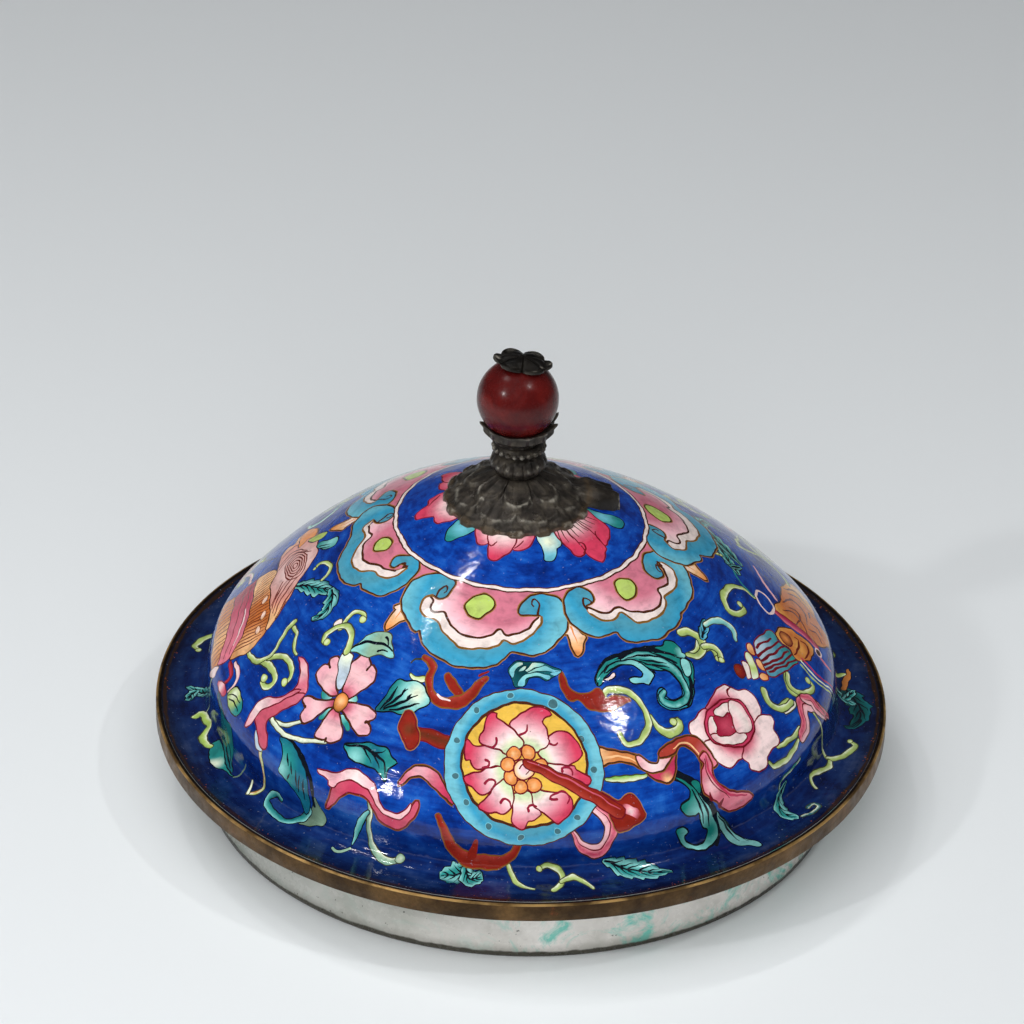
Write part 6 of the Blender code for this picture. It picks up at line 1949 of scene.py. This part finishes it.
def make_cup(material):
    """Make the leafy cup with its curled leaf tips."""
    seat = BEAD_RADIUS + 0.05
    rim_drop = BEAD_RADIUS + CUP_WALL - CUP_DEPTH
    rim_angle = math.acos(min(max(rim_drop / seat, 0.0), 1.0))
    rim_height = BEAD_CENTRE - seat * math.cos(rim_angle)
    rim_radius = seat * math.sin(rim_angle)
    low = CUP_BOTTOM
    outside = [(NECK_RADIUS - 0.2, low), (NECK_RADIUS + 0.2, low + 0.25), (NECK_RADIUS + 0.3, low + 0.7),
               (5.2, low + 1.3), (6.1, low + 1.9), (6.9, low + 2.5), (rim_radius + 0.7, rim_height - 0.25),
               (rim_radius + 1.15, rim_height), (rim_radius + 1.1, rim_height + 0.35),
               (rim_radius + 0.6, rim_height + 0.3)]
    turns = [rim_angle * (1.0 - k / 6.0) for k in range(6)]
    hollow = [(seat * math.sin(turn), BEAD_CENTRE - seat * math.cos(turn)) for turn in turns]
    points = [(0.0, low)] + outside + hollow + [(0.0, BEAD_CENTRE - seat)]
    rings = [(k, 0) for k in range(len(points))]
    last_outside = len(outside)

    def shape(mark, angle, _side):
        radius, height = points[mark]
        tip = math.cos(CUP_LEAVES * angle + math.pi)
        if 3 <= mark <= last_outside:
            reach = smooth_step((mark - 3.0) / (last_outside - 4.0))
            front = max(-math.sin(angle), 0.0)
            radius += reach * (1.05 * max(tip, 0.0) ** 1.5 - 0.60 * max(-tip, 0.0)) * (1.0 - 0.4 * front)
            height += reach * (1.10 * max(tip, 0.0) ** 2 - 0.60 * max(-tip, 0.0)) * (1.0 - 0.75 * front)
            radius -= 0.18 * (1.0 - reach) * abs(math.sin(CUP_LEAVES / 2.0 * angle)) ** 8
        if mark == last_outside + 1:
            radius = seat * math.sin(rim_angle * (1.0 - 0.08 * max(-tip, 0.0)))
            height = BEAD_CENTRE - math.sqrt(seat * seat - radius * radius)
        drift = 0.35 if 4 < mark <= last_outside else 0.0
        return BEAD_AXIS + Vector((radius * math.cos(angle) + drift, radius * math.sin(angle), height))

    return polar_piece("leaf_cup_metal", rings, 192, material, shape, 55.0)


def make_bead(material):
    """Make the polished red bead."""
    bead = make_ball(BEAD_AXIS + Vector((0.0, 0.0, BEAD_CENTRE)), BEAD_RADIUS, 96, 64, material)
    bead.name = "red_bead"
    return bead


def make_cap(material):
    """Make the six-petalled flower cap, slightly dished between its petals, with a small boss."""
    tilt = Matrix.Rotation(CAP_TILT, 3, "Y")
    centre = BEAD_AXIS + Vector((CAP_SHIFT, 0.0, BEAD_CENTRE))
    seat_radius = BEAD_RADIUS + 0.08
    rubbed_and_glint = []

    def shape(share, angle, side):
        wave = abs(math.cos(CAP_PETALS / 2.0 * angle))
        reach = 1.0 - 0.24 * smooth_step(share * 1.2) * (1.0 - wave ** 0.45)
        radius = share * CAP_RADIUS * reach
        x, y = radius * math.cos(angle), radius * math.sin(angle) * CAP_SQUASH
        seat = math.sqrt(max(seat_radius ** 2 - x * x - y * y, 0.0))
        front = max(-math.sin(angle), 0.0)
        crown = seat_radius + CAP_RISE - CAP_DROOP * share ** 2
        crown -= 0.35 * front * smooth_step((share - 0.45) / 0.55)
        under = max(seat, crown - 0.5)
        if side == 0:
            rubbed_and_glint.append(0.0)
            height = seat + (under - seat) * smooth_step((share - 0.35) / 0.5)
            return centre + tilt @ Vector((x, y, height))
        crease = 0.36 * (1.0 - wave ** 0.5) * smooth_step(share / 0.3)
        dish = 0.42 * math.exp(-((share - 0.76) / 0.11) ** 2) * wave
        # A painted glint near each petal's end, partly bare metal from wear.
        worn_and_glint = 1.3 * math.exp(-((share - 0.86) / 0.07) ** 2) * smooth_step((wave - 0.80) / 0.15)
        rubbed_and_glint.append(worn_and_glint if side == 1 else 0.0)
        lip = (0.45 - 0.25 * front) * math.exp(-((share - 0.95) / 0.06) ** 2) * wave
        height = crown - crease - dish + lip
        if side == 2:
            height = 0.5 * (height + under)
        return centre + tilt @ Vector((x, y, height))

    rings = [(0.0, 0), (0.3, 0), (0.6, 0), (0.8, 0), (0.97, 0), (1.0, 2)]
    rings += [(0.985 - 0.965 * row / 24.0, 1) for row in range(24)] + [(0.0, 1)]
    cap = polar_piece("flower_cap_metal", rings, 180, material, shape, 55.0)
    keep_values(cap.data, "worn_and_glint", rubbed_and_glint)
    return cap


# Materials
def new_material(name):
    """Make an empty node material and return it with its shader."""
    material = bpy.data.materials.new(name)
    material.use_nodes = True
    return material, material.node_tree, material.node_tree.nodes["Principled BSDF"]


def add_node(tree, kind, **settings):
    """Add a node and set its properties."""
    node = tree.nodes.new(kind)
    for key, value in settings.items():
        setattr(node, key, value)
    return node


def object_place(tree):
    """Return the socket of the object's own coordinates."""
    return add_node(tree, "ShaderNodeTexCoord").outputs["Object"]


def noise_on(tree, vector, scale, detail, roughness, distortion):
    """Add noise on a vector and return its factor socket."""
    noise = add_node(tree, "ShaderNodeTexNoise")
    noise.inputs["Scale"].default_value = scale
    noise.inputs["Detail"].default_value = detail
    noise.inputs["Roughness"].default_value = roughness
    noise.inputs["Distortion"].default_value = distortion
    tree.links.new(vector, noise.inputs["Vector"])
    return noise.outputs["Fac"]


def noise_of(tree, scale, detail=4.0, roughness=0.55, distortion=0.0):
    """Add noise on object coordinates and return its factor socket."""
    return noise_on(tree, object_place(tree), scale, detail, roughness, distortion)


def strokes_of(tree, scale, detail=4.0):
    """Add noise drawn out round the lid, as brush strokes are, and return its factor socket."""
    parts = add_node(tree, "ShaderNodeSeparateXYZ")
    level = add_node(tree, "ShaderNodeCombineXYZ")
    direction = add_node(tree, "ShaderNodeVectorMath", operation="NORMALIZE")
    length = add_node(tree, "ShaderNodeVectorMath", operation="LENGTH")
    turned = add_node(tree, "ShaderNodeSeparateXYZ")
    drawn = add_node(tree, "ShaderNodeCombineXYZ")
    tree.links.new(object_place(tree), parts.inputs["Vector"])
    for axis in ("X", "Y"):
        tree.links.new(parts.outputs[axis], level.inputs[axis])
    tree.links.new(level.outputs["Vector"], direction.inputs[0])
    tree.links.new(level.outputs["Vector"], length.inputs[0])
    tree.links.new(direction.outputs["Vector"], turned.inputs["Vector"])
    for axis in ("X", "Y"):
        tree.links.new(math_of(tree, "MULTIPLY", turned.outputs[axis], 0.014), drawn.inputs[axis])
    tree.links.new(math_of(tree, "SUBTRACT", length.outputs["Value"], parts.outputs["Z"]), drawn.inputs["Z"])
    return noise_on(tree, drawn.outputs["Vector"], scale, detail, 0.6, 0.0)


def ramp_of(tree, source, stops):
    """Add a colour ramp on a value and return its colour socket."""
    node = add_node(tree, "ShaderNodeValToRGB")
    elements = node.color_ramp.elements
    while len(elements) < len(stops):
        elements.new(0.5)
    for element, (position, colour) in zip(elements, stops):
        element.position = position
        shade = (colour,) * 3 if np.isscalar(colour) else tuple(colour)
        element.color = (*shade, 1.0)
    tree.links.new(source, node.inputs["Fac"])
    return node.outputs["Color"]


def mix_of(tree, factor, first, second, blend="MIX"):
    """Mix two colours or sockets by a factor or socket and return the result."""
    node = add_node(tree, "ShaderNodeMix", data_type="RGBA", blend_type=blend)
    for socket, value in ((node.inputs[0], factor), (node.inputs[6], first), (node.inputs[7], second)):
        if isinstance(value, bpy.types.NodeSocket):
            tree.links.new(value, socket)
        elif socket.type == "RGBA":
            socket.default_value = (*tuple(value), 1.0)
        else:
            socket.default_value = value
    return node.outputs[2]


def math_of(tree, operation, *values):
    """Do one sum on values or sockets and return the result."""
    node = add_node(tree, "ShaderNodeMath", operation=operation)
    for socket, value in zip(node.inputs, values):
        if isinstance(value, bpy.types.NodeSocket):
            tree.links.new(value, socket)
        else:
            socket.default_value = value
    return node.outputs[0]


def sum_of(tree, *terms):
    """Add up sockets, each times its own weight, and return the result."""
    parts = [math_of(tree, "MULTIPLY", socket, weight) for socket, weight in terms]
    total = parts[0]
    for part in parts[1:]:
        total = math_of(tree, "ADD", total, part)
    return total


def join_surface(tree, shader, colour, rough, height, strength, distance):
    """Join the colour, the roughness and the height of the surface to its shader."""
    tree.links.new(colour, shader.inputs["Base Color"])
    tree.links.new(rough, shader.inputs["Roughness"])
    bump = add_node(tree, "ShaderNodeBump")
    bump.inputs["Strength"].default_value = strength
    bump.inputs["Distance"].default_value = distance
    tree.links.new(height, bump.inputs["Height"])
    tree.links.new(bump.outputs["Normal"], shader.inputs["Normal"])


def painted_enamel():
    """Return the painted enamel: cobalt that pools and thins, brushed colours, pits and a wavy gloss."""
    material, tree, shader = new_material("painted_enamel")
    paint = add_node(tree, "ShaderNodeAttribute", attribute_name="paint")
    pooled = noise_of(tree, 95.0, 5.0, 0.6, 0.6)
    brushed = noise_of(tree, 420.0, 4.0, 0.6, 0.8)
    strokes = strokes_of(tree, 520.0)
    thickness = sum_of(tree, (pooled, 0.45), (brushed, 0.2), (strokes, 0.35))
    cobalt = ramp_of(
        tree, thickness,
        [(0.34, tint(5, 25, 82)), (0.45, tint(7, 46, 132)), (0.54, tint(13, 70, 166)),
         (0.66, tint(38, 106, 196))])
    cobalt = mix_of(tree, 1.0, cobalt, paint.outputs["Color"], "MULTIPLY")
    uneven = sum_of(tree, (brushed, 0.55), (strokes, 0.45))
    shade = ramp_of(tree, uneven, [(0.34, 0.66), (0.5, 0.94), (0.66, 1.08)])
    toned = mix_of(tree, 1.0, paint.outputs["Color"], shade, "MULTIPLY")
    colour = mix_of(tree, paint.outputs["Alpha"], toned, cobalt)
    speck = ramp_of(tree, noise_of(tree, 1700.0, 2.0, 0.5), [(0.70, 0.0), (0.78, 0.5)])
    colour = mix_of(tree, speck, colour, tint(150, 160, 178))
    pits = add_node(tree, "ShaderNodeTexVoronoi")
    pits.inputs["Scale"].default_value = 330.0
    tree.links.new(object_place(tree), pits.inputs["Vector"])
    holes = ramp_of(tree, pits.outputs["Distance"], [(0.030, 0.85), (0.055, 0.0)])
    patchy = ramp_of(tree, noise_of(tree, 60.0, 2.0), [(0.48, 0.0), (0.56, 1.0)])
    holes = mix_of(tree, 1.0, holes, patchy, "MULTIPLY")
    colour = mix_of(tree, holes, colour, tint(24, 18, 20))
    shader.inputs["Specular IOR Level"].default_value = 0.36
    rough = ramp_of(tree, noise_of(tree, 700.0, 5.0, 0.7), [(0.35, 0.05), (0.65, 0.13)])
    wave, fine = noise_of(tree, 200.0, 2.0, 0.4, 0.6), noise_of(tree, 1100.0, 4.0, 0.7)
    height = sum_of(tree, (wave, 0.75), (fine, 0.06), (strokes_of(tree, 900.0, 3.0), 0.16), (holes, -0.5))
    join_surface(tree, shader, colour, rough, height, 0.28, 0.0007)
    return material


def white_enamel(name, bare_edge):
    """Return the white enamel: painted shade at the left, splashes at the right, and a bare foot where asked.
    """
    material, tree, shader = new_material(name)
    colour = ramp_of(
        tree, noise_of(tree, 60.0, 5.0, 0.6, 0.4),
        [(0.35, tint(190, 188, 180)), (0.5, tint(216, 212, 206)), (0.65, tint(230, 226, 221))])
    parts = add_node(tree, "ShaderNodeSeparateXYZ")
    tree.links.new(object_place(tree), parts.inputs["Vector"])
    splash = ramp_of(tree, noise_of(tree, 75.0, 6.0, 0.7, 1.4), [(0.50, 0.0), (0.62, 0.9)])
    rightward = math_of(tree, "MULTIPLY_ADD", parts.outputs["X"], 14.0, 0.35)
    side = ramp_of(tree, rightward, [(0.2, 0.15), (0.45, 1.0)])
    splash = mix_of(tree, 1.0, splash, side, "MULTIPLY")
    colour = mix_of(tree, splash, colour, tint(96, 196, 180))
    # Painted shade: the left side is greyed, as the light from the right leaves it darker.
    leftward = math_of(tree, "MULTIPLY_ADD", parts.outputs["X"], 9.0, 0.5)
    left_shade = ramp_of(tree, leftward, [(0.1, 0.5), (0.55, 0.0)])
    colour = mix_of(tree, left_shade, colour, tint(118, 130, 122))
    specks = ramp_of(tree, noise_of(tree, 900.0, 2.0), [(0.70, 0.0), (0.74, 0.8)])
    colour = mix_of(tree, specks, colour, tint(60, 62, 54))
    if bare_edge:
        ragged = math_of(tree, "MULTIPLY", noise_of(tree, 260.0, 4.0), 0.0011)
        level = math_of(tree, "SUBTRACT", parts.outputs["Z"], ragged)
        bare = ramp_of(tree, math_of(tree, "MULTIPLY", level, 500.0), [(0.30, 1.0), (0.50, 0.0)])
        colour = mix_of(tree, bare, colour, tint(40, 38, 32))
        rust = ramp_of(tree, math_of(tree, "MULTIPLY", level, 300.0), [(0.35, 0.35), (0.8, 0.0)])
        colour = mix_of(tree, rust, colour, tint(84, 80, 66))
    rough = ramp_of(tree, noise_of(tree, 500.0, 4.0), [(0.35, 0.16), (0.65, 0.34)])
    join_surface(tree, shader, colour, rough, noise_of(tree, 240.0, 4.0), 0.25, 0.0004)
    return material


def worn_brass():
    """Return the tarnished brass of the band, with reddened places, a burnt lip and a gold line on its top
    corner, partly wear and partly a painted highlight.
    """
    material, tree, shader = new_material("worn_brass")
    colour = ramp_of(
        tree, noise_of(tree, 90.0, 6.0, 0.6, 0.5),
        [(0.32, tint(62, 45, 27)), (0.50, tint(90, 67, 40)), (0.66, tint(114, 85, 50))])
    scratch = ramp_of(tree, noise_of(tree, 1500.0, 3.0), [(0.40, 0.85), (0.60, 1.05)])
    colour = mix_of(tree, 1.0, colour, scratch, "MULTIPLY")
    red = ramp_of(tree, noise_of(tree, 330.0, 4.0, 0.7), [(0.64, 0.0), (0.74, 0.5)])
    colour = mix_of(tree, red, colour, tint(150, 74, 40))
    # A painted highlight: a gold line along the rounded top corner, broken by noise, partly brass bared by
    # wear.
    rubbed_and_glint = add_node(tree, "ShaderNodeAttribute", attribute_name="rubbed_and_glint")
    gold = ramp_of(tree, rubbed_and_glint.outputs["Fac"], [(0.6, 0.0), (0.95, 0.9)])
    patchy = ramp_of(tree, noise_of(tree, 120.0, 4.0), [(0.42, 0.15), (0.60, 1.0)])
    gold = math_of(tree, "MULTIPLY", gold, patchy)
    colour = mix_of(tree, gold, colour, tint(236, 190, 120))
    burnt = ramp_of(tree, rubbed_and_glint.outputs["Fac"], [(0.05, 0.95), (0.40, 0.0)])
    specked = ramp_of(tree, noise_of(tree, 900.0, 3.0), [(0.58, 1.0), (0.64, 0.3)])
    colour = mix_of(tree, math_of(tree, "MULTIPLY", burnt, specked), colour, tint(34, 24, 20))
    shader.inputs["Metallic"].default_value = 0.85
    rough = ramp_of(tree, noise_of(tree, 420.0, 5.0), [(0.3, 0.34), (0.7, 0.58)])
    join_surface(tree, shader, colour, rough, noise_of(tree, 700.0, 5.0, 0.7), 0.3, 0.0003)
    return material


def dark_metal(name, crusted=False, lightness=1.0):
    """Return the dark patina, lightened on ridges and marked spots, partly wear and partly painted glints;
    crusted at its foot where asked.
    """
    material, tree, shader = new_material(name)
    browns = [(0.30, tint(27, 25, 22)), (0.50, tint(56, 51, 46)), (0.70, tint(88, 81, 70))]
    cloud = noise_of(tree, 380.0, 6.0, 0.65, 0.3)
    colour = ramp_of(tree, cloud, [(position, brown * lightness) for position, brown in browns])
    # Painted glints: the marked spots and the ridges, found by their pointiness, are lightened in the colour,
    # partly as metal bared by wear.
    worn_and_glint = add_node(tree, "ShaderNodeAttribute", attribute_name="worn_and_glint")
    form = add_node(tree, "ShaderNodeNewGeometry")
    ridges = ramp_of(tree, form.outputs["Pointiness"], [(0.54, 0.0), (0.66, 0.45)])
    rubbed_and_glint = math_of(tree, "MAXIMUM", worn_and_glint.outputs["Fac"], ridges)
    patchy = ramp_of(tree, noise_of(tree, 420.0, 3.0), [(0.48, 0.05), (0.60, 1.0)])
    rubbed_and_glint = math_of(tree, "MULTIPLY", rubbed_and_glint, patchy)
    colour = mix_of(tree, rubbed_and_glint, colour, tint(190, 184, 170))
    if crusted:
        level = add_node(tree, "ShaderNodeMapping")
        level.inputs["Location"].default_value = (-DOME_LEAN * MM, 0.0, 0.0)
        level.inputs["Scale"].default_value = (1.0, 1.0, 0.0)
        tree.links.new(object_place(tree), level.inputs["Vector"])
        reach = add_node(tree, "ShaderNodeVectorMath", operation="LENGTH")
        tree.links.new(level.outputs["Vector"], reach.inputs[0])
        ragged = sum_of(tree, (reach.outputs["Value"], 40.0), (noise_of(tree, 700.0, 5.0, 0.8), 0.12))
        crust = ramp_of(tree, ragged, [(0.60, 0.0), (0.63, 0.7), (0.665, 0.1)])
        solder = ramp_of(tree, ragged, [(0.68, 0.0), (0.72, 0.75)])
        far = ramp_of(tree, ragged, [(0.88, 0.0), (0.91, 0.85)])
        colour = mix_of(tree, crust, colour, tint(92, 76, 56))
        colour = mix_of(tree, solder, colour, tint(34, 31, 28))
        colour = mix_of(tree, far, colour, tint(196, 188, 168))
    shader.inputs["Metallic"].default_value = 0.55
    rough = ramp_of(tree, noise_of(tree, 500.0, 5.0), [(0.3, 0.24), (0.7, 0.46)])
    join_surface(tree, shader, colour, rough, noise_of(tree, 900.0, 6.0, 0.75), 0.35, 0.0004)
    return material


def bead_stone():
    """Return the polished oxblood stone of the bead."""
    material, tree, shader = new_material("oxblood_stone")
    colour = ramp_of(
        tree, noise_of(tree, 150.0, 4.0, 0.6, 0.8),
        [(0.32, tint(60, 11, 11)), (0.50, tint(76, 14, 13)), (0.68, tint(94, 21, 18))])
    shader.inputs["Specular IOR Level"].default_value = 0.3
    rough = ramp_of(tree, noise_of(tree, 900.0, 5.0, 0.7), [(0.3, 0.18), (0.7, 0.34)])
    join_surface(tree, shader, colour, rough, noise_of(tree, 500.0, 5.0), 0.12, 0.0003)
    return material


# Camera, floor and light
CAMERA_DISTANCE = 1152.0
CAMERA_RISE = math.radians(34.117)
CAMERA_PITCH = math.radians(-2.689)
CAMERA_YAW = math.radians(0.18)
CAMERA_ROLL = math.radians(1.678)
CAMERA_LENS = 194.97
SENSOR_WIDTH = 36.0


def make_camera():
    """Make the camera at the photograph's angle."""
    sight_rise = CAMERA_RISE + CAMERA_PITCH
    forward = Vector((0.0, math.cos(sight_rise), -math.sin(sight_rise)))
    forward.rotate(Matrix.Rotation(CAMERA_YAW, 3, "Z"))
    right = forward.cross(Vector((0.0, 0.0, 1.0))).normalized()
    up = right.cross(forward)
    level_right = math.cos(CAMERA_ROLL) * right + math.sin(CAMERA_ROLL) * up
    level_up = math.cos(CAMERA_ROLL) * up - math.sin(CAMERA_ROLL) * right
    turn = Matrix((level_right, level_up, -forward)).transposed()
    data = bpy.data.cameras.new("camera")
    data.lens = CAMERA_LENS
    data.sensor_width = SENSOR_WIDTH
    data.sensor_fit = "HORIZONTAL"
    camera = bpy.data.objects.new("camera", data)
    level, height = math.cos(CAMERA_RISE), math.sin(CAMERA_RISE)
    stand = Vector((0.0, -CAMERA_DISTANCE * level, CAMERA_DISTANCE * height))
    camera.matrix_world = Matrix.Translation(stand * MM) @ turn.to_4x4()
    bpy.context.scene.collection.objects.link(camera)
    bpy.context.scene.camera = camera


def make_floor():
    """Make the plain pale floor."""
    bpy.ops.mesh.primitive_plane_add(size=8.0, location=(0.0, 1.5, 0.0))
    floor = bpy.context.object
    floor.name = "studio_floor"
    material, _, shader = new_material("pale_floor")
    shader.inputs["Base Color"].default_value = (*tint(232, 236, 238), 1.0)
    shader.inputs["Roughness"].default_value = 0.55
    shader.inputs["Specular IOR Level"].default_value = 0.25
    floor.data.materials.append(material)


def make_light(name, direction, distance, size, power, glossy=True):
    """Make a square softbox in a direction from the lid, facing it."""
    data = bpy.data.lights.new(name, "AREA")
    data.size = size
    data.energy = power
    lamp = bpy.data.objects.new(name, data)
    place_at = Vector(direction).normalized() * distance
    lamp.location = place_at + Vector((0.0, 0.0, 0.05))
    lamp.rotation_euler = place_at.to_track_quat("Z", "Y").to_euler()
    lamp.visible_glossy = glossy
    bpy.context.scene.collection.objects.link(lamp)


def make_lights():
    """Make the soft studio light, in a dim room that leaves the gloss dark between the softboxes."""
    make_light("softbox_left", (-0.56, -0.47, 0.50), 1.2, 0.05, 2.0)
    make_light("softbox_right", (0.48, -0.27, 0.80), 1.2, 0.04, 1.4)
    make_light("softbox_middle", (-0.46, 0.06, 0.88), 1.2, 0.04, 0.7)
    make_light("softbox_top", (-0.30, 0.20, 0.93), 1.2, 0.05, 0.8)
    make_light("overhead", (-0.20, -0.42, 1.0), 0.6, 0.7, 3.2, glossy=False)
    make_light("front_fill", (0.02, -1.0, 0.42), 1.5, 0.9, 8.7, glossy=False)
    world = bpy.data.worlds.new("studio")
    world.use_nodes = True
    room = world.node_tree.nodes["Background"]
    room.inputs["Color"].default_value = (0.84, 0.85, 0.88, 1.0)
    room.inputs["Strength"].default_value = 0.08
    bpy.context.scene.world = world
    bpy.context.scene.view_settings.view_transform = "Standard"


def hang(piece, slot, *nodes):
    """Let a finished piece ride on the lid in place of its solids."""
    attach(piece, "root")
    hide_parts(*nodes)


def main():
    """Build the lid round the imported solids."""
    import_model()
    bpy.ops.object.select_all(action="DESELECT")
    make_camera()
    make_floor()
    make_lights()
    lining = white_enamel("white_lining", False)
    hang(make_skin([painted_enamel(), lining]), "painted_enamel", "enamel_dome")
    hang(make_band(worn_brass()), "rim_brass", "brass_rim_band")
    hang(make_flange(white_enamel("white_enamel", True)), "white_enamel", "fitting_flange")
    metal = dark_metal("dark_patina")
    hang(make_plate(dark_metal("crusted_patina", True, 1.25)), "dark_metal", "finial_base_plate")
    hang(make_stem(metal), "dark_metal", "finial_stem")
    hang(make_cup(metal), "dark_metal", "finial_leaf_cup")
    hang(make_bead(bead_stone()), "red_bead", "finial_red_bead")
    hang(make_cap(dark_metal("blackened_patina", lightness=0.25)), "dark_metal", "finial_flower_cap")


main()
